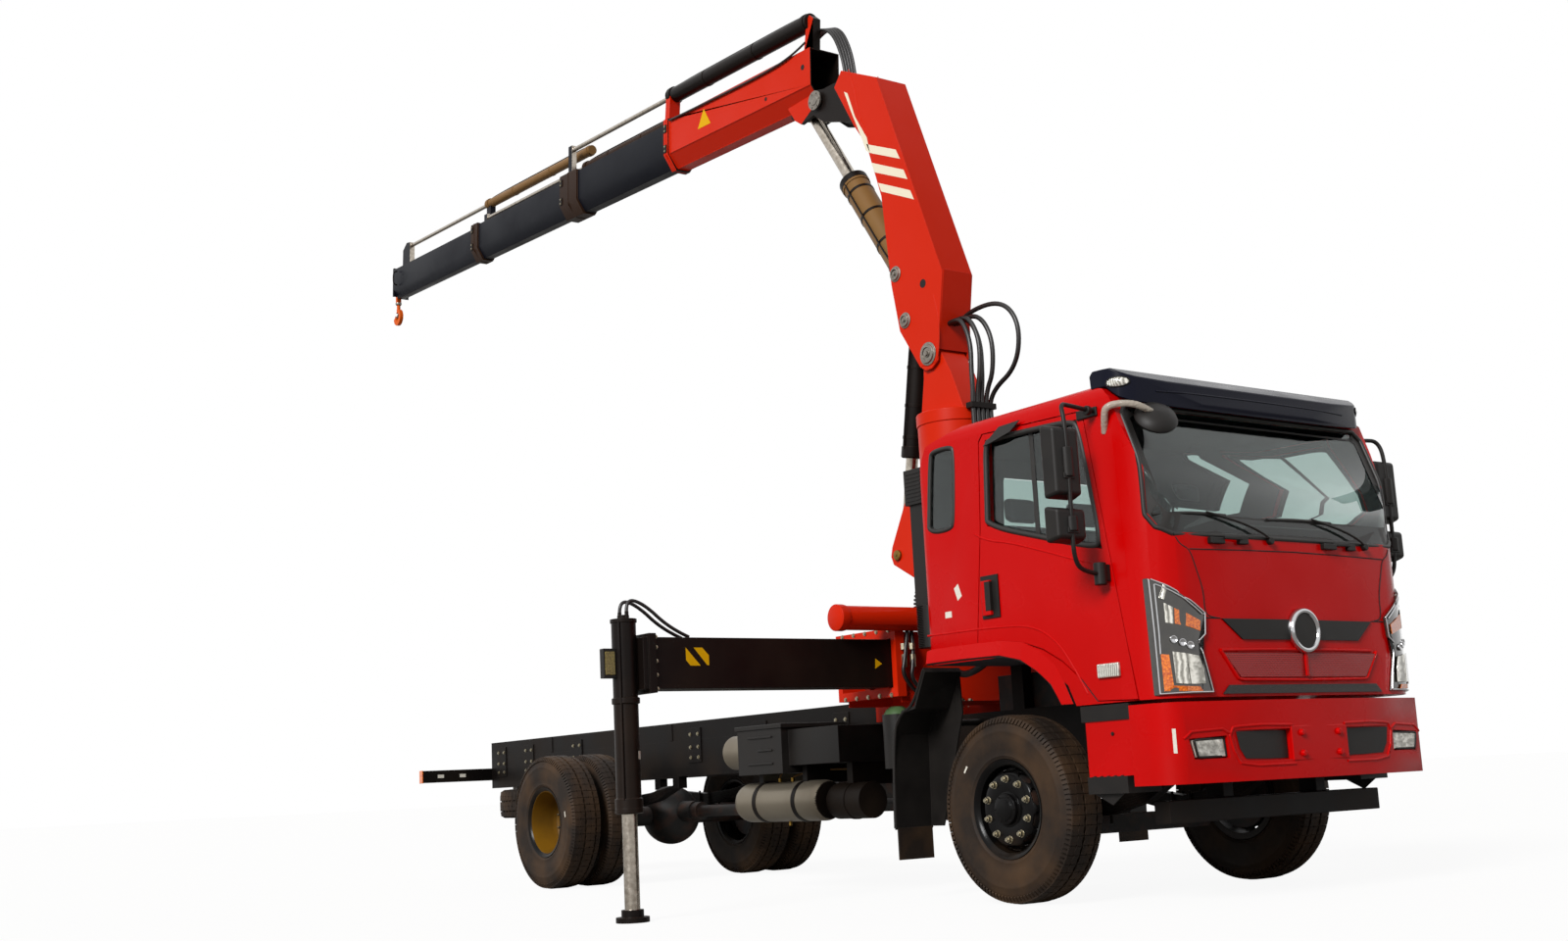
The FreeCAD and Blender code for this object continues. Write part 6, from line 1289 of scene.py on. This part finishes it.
outer = dress("outer_boom", crane_enamel, 0.004)
# Brown-black paint on the ram barrel, the first 74 mm from the knuckle pin and all below the keel line, and
# on the hollow's inner faces as painted shade inside the open box.
paint(outer, leg_paint, lambda x, y, z: is_ram(x, y, z, -0.075, 0.69, 0.068) or jib_parts(x, z)[0] < 0.074
    or jib_parts(x, z)[1] < 0.026 or (abs(y) < 0.136 and 0.04 + max(0.0, abs(y) - 0.05) * 1.364 < jib_parts(x,
    z)[1] < 0.446 and jib_parts(x, z)[0] > 0.08))
first = dress("extension_a", stage_paint, 0.003)
paint(first, collar_paint, lambda x, y, z: is_ram(x, y, z, 0.032, 0.524, 0.042) or (jib_parts(x, z)[0] > 3.785
    and jib_parts(x, z)[1] < 0.46))
paint(first, rod_steel, lambda x, y, z: math.hypot(y + 0.075, jib_parts(x, z)[1] - 0.69) < 0.022)
second = dress("extension_b", stage_paint, 0.003)
paint(second, tan, lambda x, y, z: is_ram(x, y, z, 0.072, 0.692, 0.046))
paint(second, collar_paint, lambda x, y, z: jib_parts(x, z)[0] > 5.945 and jib_parts(x, z)[1] < 0.45)
paint(second, rod_steel, lambda x, y, z: math.hypot(y - 0.032, jib_parts(x, z)[1] - 0.524) < 0.022)
third = dress("extension_c", stage_paint, 0.003)
paint(third, rod_steel, lambda x, y, z: math.hypot(y - 0.072, jib_parts(x, z)[1] - 0.692) < 0.022)
# Weld beads, wear pads and bolted pad screws round each mouth.
for body, step, mouth, band in (("jib", 0, 2.2, 0.07), ("first_extension", 1, 4.12, 0.33),
        ("second_extension", 2, 6.1, 0.15)):
    wall = 0.14 - 0.015 * step + 0.016
    pads, screws = bmesh.new(), bmesh.new()
    for side in (-1, 1):
        for h in (0.2, 0.38):
            block(pads, (mouth - 0.055, side * wall, h - 0.035), (mouth - 0.008, side * (wall + 0.008),
                h + 0.035), jib)
            for dh in (-0.02, 0.02):
                bolt(screws, (mouth - 0.032, side * (wall + 0.008), h + dh), (0, side, 0), 0.007, jib)
    for y in (-0.06, 0.06):
        block(pads, (mouth - 0.055, y - 0.035, 0.468 - 0.015 * step), (mouth - 0.008, y + 0.035, 0.476 - 0.015
            * step), jib)
    piece(f"{body}_wear_pads", pads, leg_paint, body, 0.002)
    piece(f"{body}_pad_screws", screws, zinc, body)
    rims = [stage_rim(step, mouth - band, 0.001), stage_rim(step, mouth - band * 0.5, 0.0165)]
    hose(f"{body}_mouth_welds", [rim + rim[:1] for rim in rims], 0.004, crane_enamel if step == 0
        else collar_paint, body, jib, 2)
seams = [[(s, side * 0.1405, 0.152) for s in (0.08, 1.1, 2.12)] for side in (-1, 1)]
seams += [[(s, side * 0.0525, 0.0325) for s in (0.08, 1.1, 2.12)] for side in (-1, 1)]
hose("outer_boom_seams", seams, 0.003, crane_enamel, "jib", jib)
warnings, holes = bmesh.new(), bmesh.new()
for side in (-1, 1):
    plate(warnings, [(s, side * 0.1405, h) for s, h in ((1.579, 0.395), (1.673, 0.242), (1.476, 0.242))],
        0.0008, jib)
    for s, h, size in ((0.168, 0.319, 0.022), (0.669, 0.211, 0.016)):
        turned(holes, (s, side * 0.14, h), (s, side * 1.14, h), ((0.0, 0.0015), (size, 0.0015),
            (size, -0.003)), 24, jib)
piece("boom_warning_signs", warnings, yellow, "jib")
# The flank holes are dark discs of painted shade.
piece("boom_flank_hole_shades", holes, gap, "jib")
# Extension ram glands, saddle clamps and hard pipes.
for body, side, height, radius, start, end, finish in (("jib", -0.075, 0.69, 0.068, 0.13, 2.17, leg_paint),
        ("first_extension", 0.032, 0.524, 0.042, 2.235, 3.9, collar_paint), ("second_extension", 0.072, 0.692,
        0.046, 3.86, 6.075, tan)):
    rings = bmesh.new()
    for s, wide, out in ((end - 0.05, 0.05, 0.009), (end + 0.006, 0.012, 0.003), (start + 0.03, 0.04, 0.006),
            (start + (end - start) * 0.36, 0.03, 0.004), (start + (end - start) * 0.72, 0.03, 0.004)):
        turned(rings, (s, side, height), (s + 1, side, height), ((radius * 0.9, 0), (radius + out, 0),
            (radius + out, wide), (radius * 0.9, wide), (radius * 0.9, 0)), 36, jib)
    piece(f"{body}_ram_rings", rings, finish, body, 0.0015)
    hose(f"{body}_ram_pipe", [[(start + 0.06, side, height + radius), (start + 0.1, side, height + radius
        + 0.012), ((start + end) / 2, side, height + radius + 0.012), (end - 0.1, side, height + radius
        + 0.012), (end - 0.06, side, height + radius)]], 0.007, leg_paint, body, jib)
# Boom hoses: bundles that rise from the main boom, loop over the knuckle and lie along the ram.
for index, y in enumerate((-0.05, -0.025, 0.0, 0.025, 0.05)):
    loop = hose(f"knuckle_hose_{index}", [[(-2.33, y, 5.72), (-2.36, y, 5.95),
        (-2.4, y, 6.18 + index * 0.012), (-2.52, y * 0.9, 6.42 + index * 0.012), (-2.72, y * 0.8 - 0.01, 6.5),
        (-2.85, y * 0.8 - 0.01, 6.43)]], 0.0115, hose_rubber, None)
    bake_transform(loop)
hose("jib_hoses", [[(0.2, y - 0.09, 0.6), (0.35, y - 0.01, 0.475), (0.5, y, 0.464), (1.9, y, 0.464),
    (2.1, y, 0.464)] for y in (0.102, 0.124)], 0.0095, hose_rubber, "jib", jib)
hose("jib_flank_hose", [[(0.12, -0.15, 0.5), (0.3, -0.154, 0.44), (0.7, -0.154, 0.42), (1.3, -0.154, 0.425),
    (2.1, -0.154, 0.44)]], 0.009, hose_rubber, "jib", jib)
clips = bmesh.new()
for s in (0.6, 1.1, 1.6, 2.05):
    block(clips, (s - 0.012, 0.09, 0.45), (s + 0.012, 0.136, 0.477), jib)
piece("jib_hose_clips", clips, leg_paint, "jib", 0.002)
# Knuckle pin covers: turned steel discs with a ring of screws.
knuckle_caps = bmesh.new()
for side in (-1, 1):
    start = (knuckle_x, side * 0.155, knuckle_z)
    turned(knuckle_caps, start, (start[0], start[1] + side, start[2]), ((0.0, 0.012), (0.037, 0.012),
        (0.041, 0.006), (0.075, 0.006), (0.075, -0.004)), 40)
    for count in range(6):
        angle = math.tau * count / 6
        bolt(knuckle_caps, (start[0] + 0.058 * math.cos(angle), start[1] + side * 0.006, start[2] + 0.058
            * math.sin(angle)), (0, side, 0), 0.007)
piece("knuckle_pin_covers", knuckle_caps, pin_steel, "inner_boom")

# Boom tip: a bent steel bracket with a grab handle, carrying the shackle and an orange forged swivel
# hook with a sprung steel latch.
handle = [[(8.06, -0.11, 0.36), (8.06, -0.15, 0.36), (8.06, -0.158, 0.28), (8.06, -0.15, 0.2),
    (8.06, -0.11, 0.2)]]
hose("tip_handle", handle, 0.008, leg_paint, "third_extension", jib)
tip_bolts = bmesh.new()
for h in (0.14, 0.24, 0.34, 0.4):
    for y in (-0.075, 0.075):
        bolt(tip_bolts, (8.224, y, h), (1, 0, 0), 0.01, jib)
piece("tip_bolts", tip_bolts, zinc, "third_extension")
# Hook orange: dull paint, worn to dark steel where the sling sits.
orange = sprayed_paint("orange hook paint", "#d0560a", "#6a3a1a", 0.42, 0.4, "#2a1a10", 0.7)
dress("hook", orange, 0.006)
hook_x = knuckle_x - 8.275 * math.cos(slope) + 0.175 * math.sin(slope)
hook_z = knuckle_z + 8.275 * math.sin(slope) + 0.175 * math.cos(slope)
latch, swivel = bmesh.new(), bmesh.new()
plate(latch, [(hook_x + 0.03, -0.012, hook_z - 0.236), (hook_x + 0.046, -0.012, hook_z - 0.244),
    (hook_x - 0.035, -0.012, hook_z - 0.306), (hook_x - 0.044, -0.012, hook_z - 0.292)], 0.024)
turned(swivel, (hook_x, 0, hook_z - 0.13), (hook_x, 0, hook_z - 1.13), ((0.018, 0.0), (0.034, 0.0),
    (0.036, 0.012), (0.03, 0.028), (0.02, 0.03), (0.018, 0.0)), 32)
rod(swivel, (hook_x, -0.052, hook_z), (hook_x, 0.052, hook_z), 0.02, 20)
for side in (-1, 1):
    rod(swivel, (hook_x, side * 0.048, hook_z), (hook_x, side * 0.06, hook_z), 0.03, 6)
piece("hook_latch", latch, pin_steel, "load_hook", 0.002)
piece("hook_swivel_nut", swivel, pin_steel, "load_hook", 0.002)

# Air tanks, battery box and fuel tank: welded steel air vessels in silver paint, moulded ribbed plastic
# boxes and a rolled aluminium fuel tank on rubber-lined steel straps.
# Silver paint: light grey, faintly streaked, with brown dust in the lower half.
silver_paint = sprayed_paint("silver tank paint", "#7c7466", "#4a3826", 0.3, 0.5, "#4c4035", 0.4)
silver_paint.node_tree.nodes["Principled BSDF"].inputs["Metallic"].default_value = 0.6
tanks = dress("air_tanks", silver_paint, 0.003)
paint(tanks, chassis_paint, lambda x, y, z: z < 0.9 and (x > -2.04 or (z > 0.75 and x > -2.86)))
dress("battery_box", trim, 0.008)
dress("fuel_tank", silver_paint, 0.006)
straps, rings, ribs = bmesh.new(), bmesh.new(), bmesh.new()
for x in (-2.74, -2.28):
    turned(straps, (x, -0.8, 0.61), (x + 1, -0.8, 0.61), ((0.134, -0.02), (0.139, -0.02), (0.139, 0.02),
        (0.134, 0.02), (0.134, -0.02)), 48)
for x in (-2.35, -1.9, -1.75):
    turned(straps, (x, 0.8, 0.72), (x + 1, 0.8, 0.72), ((0.269, -0.025), (0.275, -0.025), (0.275, 0.025),
        (0.269, 0.025), (0.269, -0.025)), 64)
turned(straps, (-1.83, -0.74, 0.6), (-0.83, -0.74, 0.6), ((0.117, -0.018), (0.122, -0.018), (0.122, 0.018),
    (0.117, 0.018), (0.117, -0.018)), 48)
piece("tank_straps", straps, chassis_paint, "chassis")
for x in (-2.93 - 0.058, -2.093 + 0.058):
    turned(rings, (x, -0.8, 0.61), (x + (1 if x > -2.5 else -1), -0.8, 0.61), ((0.0, 0.02), (0.022, 0.02),
        (0.03, 0.012), (0.03, -0.01), (0.0, -0.01)), 20)
for x in (-2.6, -2.45):
    rod(rings, (x, -0.8, 0.74), (x, -0.8, 0.77), 0.014, 6)
rod(rings, (-2.5, -0.8, 0.478), (-2.5, -0.8, 0.448), 0.013, 6)
piece("tank_unions", rings, brass, "chassis", 0.001)
for z, low in ((0.87, -2.74), (0.96, -2.62), (1.05, -2.74)):
    block(ribs, (low, -0.97, z - 0.007), (-2.45, -0.958, z + 0.007))
block(ribs, (-2.885, -0.972, 1.105), (-2.325, -0.42, 1.135))
piece("battery_ribs", ribs, trim, "chassis", 0.004)
cap = bmesh.new()
turned(cap, (-1.33, -0.76, 1.13), (-1.33, -0.76, 2.13), ((0.0, 0.05), (0.04, 0.05), (0.07, 0.03),
    (0.084, 0.006), (0.084, -0.02), (0.0, -0.02)), 40)
green = sprayed_paint("green filter cap", "#46603c", "#4a4030", 0.4, 0.4, "#2e3a26", 0.2)
piece("filter_cap", cap, green, "chassis", 0.002)
filler = bmesh.new()
turned(filler, (-1.8, 0.8, 0.985), (-1.8, 0.8, 1.985), ((0.0, 0.04), (0.045, 0.04), (0.052, 0.032),
    (0.052, 0.0), (0.0, 0.0)), 32)
piece("fuel_filler_cap", filler, trim, "chassis", 0.002)
hose("air_pipes", [[(-2.6, -0.8, 0.77), (-2.6, -0.79, 0.82), (-2.55, -0.6, 0.86), (-2.4, -0.46, 0.86),
    (-1.7, -0.45, 0.85)], [(-2.45, -0.8, 0.77), (-2.4, -0.72, 0.82), (-1.9, -0.47, 0.8),
    (-1.3, -0.46, 0.82)]], 0.006, tan, "chassis")

# Exhaust, rear bar, front guard and intake: a rusted rolled steel silencer, a welded box rear bar with
# blank end caps, the under-run bar below the bumper, and a moulded intake stack behind the cab.
dress("exhaust", cast_iron, 0.004)
dress("rear_bar", chassis_paint, 0.005)
dress("front_guard", chassis_paint, 0.006)
dress("air_intake", trim, 0.02)
bar_caps, marks, louvres = bmesh.new(), bmesh.new(), bmesh.new()
for side in (-1, 1):
    block(bar_caps, (-7.884, side * 1.127, 0.902), (-7.816, side * 1.136, 1.018))
    block(marks, (-7.8195, side * 0.92, 0.945), (-7.8185, side * 0.98, 0.975))
    block(marks, (-7.8195, side * 0.7, 0.945), (-7.8185, side * 0.76, 0.975))
# The end caps take the amber lens finish with its painted prism light and shade.
piece("rear_bar_caps", bar_caps, amber, "chassis", 0.002)
piece("rear_bar_marks", marks, label, "chassis")
for z in [2.4 + 0.024 * step for step in range(8)]:
    block(louvres, (-0.795, -1.024, z), (-0.655, -1.018, z + 0.01))
piece("intake_louvres", louvres, trim, "chassis", 0.001)
# Corrugated hoses behind the cab.
corrugated = bmesh.new()
for index in range(26):
    turned(corrugated, (-0.746, -0.93, 1.5 + 0.01 * index), (-0.746, -0.93, 2.5 + 0.01 * index),
        ((0.074, 0.0), (0.082, 0.003), (0.082, 0.006), (0.074, 0.009)), 36)
piece("intake_corrugations", corrugated, trim, "chassis")
hose("cab_back_hoses", [[(-0.72, 0.5, 1.5), (-0.86, 0.5, 1.62), (-0.95, 0.45, 1.45), (-0.98, 0.3, 1.25)],
    [(-0.72, 0.42, 1.5), (-0.88, 0.42, 1.66), (-0.98, 0.36, 1.45), (-1.02, 0.25, 1.24)],
    [(-0.66, -0.55, 1.42), (-0.82, -0.58, 1.32), (-1.02, -0.56, 1.4), (-1.08, -0.5, 1.26)]], 0.022,
    hose_rubber, "chassis")
arc_rings = bmesh.new()
for index in range(30):
    angle = math.radians(205 - 6.4 * index)
    spot = Vector((-0.99 + 0.19 * math.cos(angle), -0.62, 1.8 + 0.19 * math.sin(angle)))
    way = Vector((math.sin(angle), 0, -math.cos(angle)))
    turned(arc_rings, spot, spot + way, ((0.05, -0.009), (0.058, -0.004), (0.058, 0.004), (0.05, 0.009)), 24)
piece("corrugated_arc_hose", arc_rings, trim, "chassis")

# Seats: foam cushions under dark woven cloth, sewn in panels; the cloth is filled like a bag over the
# foam so its seams pull in, and it is simulated once for each shape.
# Woven seat cloth: blue-grey threads with a faint sheen.
cloth, cloth_shader, cloth_place = start_material("woven seat cloth")
cloth_weave = add(cloth, "ShaderNodeTexWave", {"Vector": cloth_place, "Scale": 180.0, "Distortion": 2.0})
cloth_cloud = add(cloth, "ShaderNodeTexNoise", {"Vector": cloth_place, "Scale": 9.0, "Detail": 5.0})
cloth_tone = add(cloth, "ShaderNodeMix", {"Factor": cloth_cloud.outputs["Fac"], "A": linear("#20242b"),
    "B": linear("#3b424c")}, data_type="RGBA")
feed(cloth, cloth_shader, "Base Color", cloth_tone.outputs["Result"])
cloth_shader.inputs["Roughness"].default_value = 0.85
cloth_shader.inputs["Sheen Weight"].default_value = 0.3
cloth_bump = add(cloth, "ShaderNodeBump", {"Strength": 0.25, "Distance": 0.0006,
    "Height": cloth_weave.outputs["Fac"]})
feed(cloth, cloth_shader, "Normal", cloth_bump.outputs["Normal"])


def stuffed(name, outline, half):
    """A cushion from its side outline, blown up as cloth round its foam; y is centred on zero."""
    skin = bmesh.new()
    plate(skin, [(x, half, z) for x, z in outline], 2 * half)
    bmesh.ops.recalc_face_normals(skin, faces=skin.faces)
    bmesh.ops.bevel(skin, geom=list(skin.edges), offset=0.035, segments=3, profile=0.5, affect="EDGES",
        material=-1)
    mesh = bpy.data.meshes.new(name)
    skin.to_mesh(mesh)
    skin.free()
    thing = bpy.data.objects.new(name, mesh)
    bpy.context.scene.collection.objects.link(thing)
    remesh = thing.modifiers.new("even faces", "REMESH")
    remesh.mode = "VOXEL"
    remesh.voxel_size = 0.022
    start = bpy.data.meshes.new_from_object(thing.evaluated_get(bpy.context.evaluated_depsgraph_get()))
    thing.modifiers.clear()
    thing.data = start
    rest = [v.co.copy() for v in start.vertices]
    low = min(v.z for v in rest)
    held = thing.vertex_groups.new(name="seams")
    held.add([v.index for v in start.vertices if min(abs(v.co.y - y) for y in (-half * 0.4,
        half * 0.4)) < 0.012 or v.co.z < low + 0.02], 1.0, "REPLACE")
    bag = thing.modifiers.new("cloth", "CLOTH")
    bag.settings.use_pressure = True
    bag.settings.uniform_pressure_force = 4.0
    bag.settings.effector_weights.gravity = 0.0
    bag.settings.vertex_group_mass = "seams"
    bag.settings.tension_stiffness = 15.0
    bag.settings.bending_stiffness = 0.5
    bag.point_cache.frame_start, bag.point_cache.frame_end = 1, 20
    for frame_number in range(1, 21):
        bpy.context.scene.frame_set(frame_number)
    blown = thing.evaluated_get(bpy.context.evaluated_depsgraph_get()).data.vertices
    places = [v.co.copy() for v in blown]
    thing.modifiers.clear()
    bpy.context.scene.frame_set(1)
    for vert, spot, first in zip(start.vertices, places, rest):
        move = spot - first
        vert.co = first + move * min(1.0, 0.022 / max(move.length, 1e-6))
    bpy.data.objects.remove(thing)
    return start


cushion = stuffed("seat_cushion", [(-0.045, 1.455), (0.41, 1.47), (0.415, 1.6), (-0.03, 1.615)], 0.22)
backrest = stuffed("seat_back", [(-0.115, 1.62), (0.0, 1.63), (-0.12, 2.18), (-0.225, 2.17)], 0.22)
headrest = stuffed("seat_head", [(-0.215, 2.195), (-0.14, 2.2), (-0.165, 2.355), (-0.225, 2.35)], 0.125)
seat_number = 0
for centre in (0.48, -0.12, -0.64):
    for shape, fill in ((cushion, 0.75), (backrest, 0.75), (headrest, 0.85)):
        mesh = shape.copy()
        mesh.transform(Matrix.Translation((0, centre, 0)))
        for face in mesh.polygons:
            face.use_smooth = True
        mesh.materials.clear()
        mesh.materials.append(cloth)
        pad = bpy.data.objects.new(f"{shape.name}_{seat_number}", mesh)
        bpy.context.scene.collection.objects.link(pad)
        smoother = pad.modifiers.new("round cloth", "SUBSURF")
        smoother.levels = smoother.render_levels = 1
        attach(pad, "chassis")
        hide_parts("seats")
        seat_number += 1

# Studio: a pale floor and a sky that look plain white, and one soft key lamp over the right flank; the sky
# itself gives the weak fill.
floor_mesh = bpy.data.meshes.new("studio_floor")
ground = bmesh.new()
bmesh.ops.create_grid(ground, x_segments=1, y_segments=1, size=400)
ground.to_mesh(floor_mesh)
ground.free()
floor = bpy.data.objects.new("studio_floor", floor_mesh)
bpy.context.scene.collection.objects.link(floor)
floor_white, floor_shader, floor_place = start_material("pale studio floor")
floor_shader.inputs["Base Color"].default_value = linear("#a8a6a2")
floor_shader.inputs["Roughness"].default_value = 0.9
floor_seen = add(floor_white, "ShaderNodeLightPath")
floor_glow = add(floor_white, "ShaderNodeEmission", {"Color": (1, 1, 1, 1), "Strength": 1.1})
floor_share = add(floor_white, "ShaderNodeMath", {0: floor_seen.outputs["Is Camera Ray"], 1: 0.84},
    operation="MULTIPLY")
floor_mix = add(floor_white, "ShaderNodeMixShader", {0: floor_share.outputs["Value"]})
floor_white.node_tree.links.new(floor_shader.outputs["BSDF"], floor_mix.inputs[1])
floor_white.node_tree.links.new(floor_glow.outputs["Emission"], floor_mix.inputs[2])
floor_white.node_tree.links.new(floor_mix.outputs["Shader"],
    floor_white.node_tree.nodes["Material Output"].inputs["Surface"])
floor_mesh.materials.append(floor_white)

sky = bpy.data.worlds.new("studio sky")
sky.use_nodes = True
sky_seen = add(sky, "ShaderNodeLightPath")
sky_either = add(sky, "ShaderNodeMath", {0: sky_seen.outputs["Is Camera Ray"],
    1: sky_seen.outputs["Is Transmission Ray"]}, operation="MAXIMUM")
sky_any = add(sky, "ShaderNodeMath", {0: sky_either.outputs["Value"], 1: sky_seen.outputs["Is Glossy Ray"]},
    operation="MAXIMUM")
sky_strength = add(sky, "ShaderNodeMapRange", {"Value": sky_any.outputs["Value"], "To Min": 0.2,
    "To Max": 1.0})
sky_light = sky.node_tree.nodes["Background"]
sky_light.inputs["Color"].default_value = (1, 1, 1, 1)
sky.node_tree.links.new(sky_strength.outputs["Result"], sky_light.inputs["Strength"])
bpy.context.scene.world = sky
lamp = bpy.data.lights.new("key lamp", "SUN")
lamp.energy = 3.5
lamp.angle = math.radians(20)
lamp_object = bpy.data.objects.new("key_lamp", lamp)
lamp_object.rotation_euler = Vector((-0.33, 0.8, -0.5)).to_track_quat("-Z", "Y").to_euler()
bpy.context.scene.collection.objects.link(lamp_object)

camera = bpy.data.cameras.new("view")
camera.lens = 40.28
camera.sensor_width = 36
camera_object = bpy.data.objects.new("view", camera)
right = Vector((0.57831, 0.81436, -0.04855))
up = Vector((0.17244, -0.06386, 0.98294))
back = Vector((0.79737, -0.57683, -0.17737))
camera_object.matrix_world = Matrix.Translation(at(7.4601, -7.9150, 0.7080)) @ Matrix((right, up,
    back)).transposed().to_4x4()
bpy.context.scene.collection.objects.link(camera_object)
bpy.context.scene.camera = camera_object
bpy.context.scene.view_settings.view_transform = "Standard"
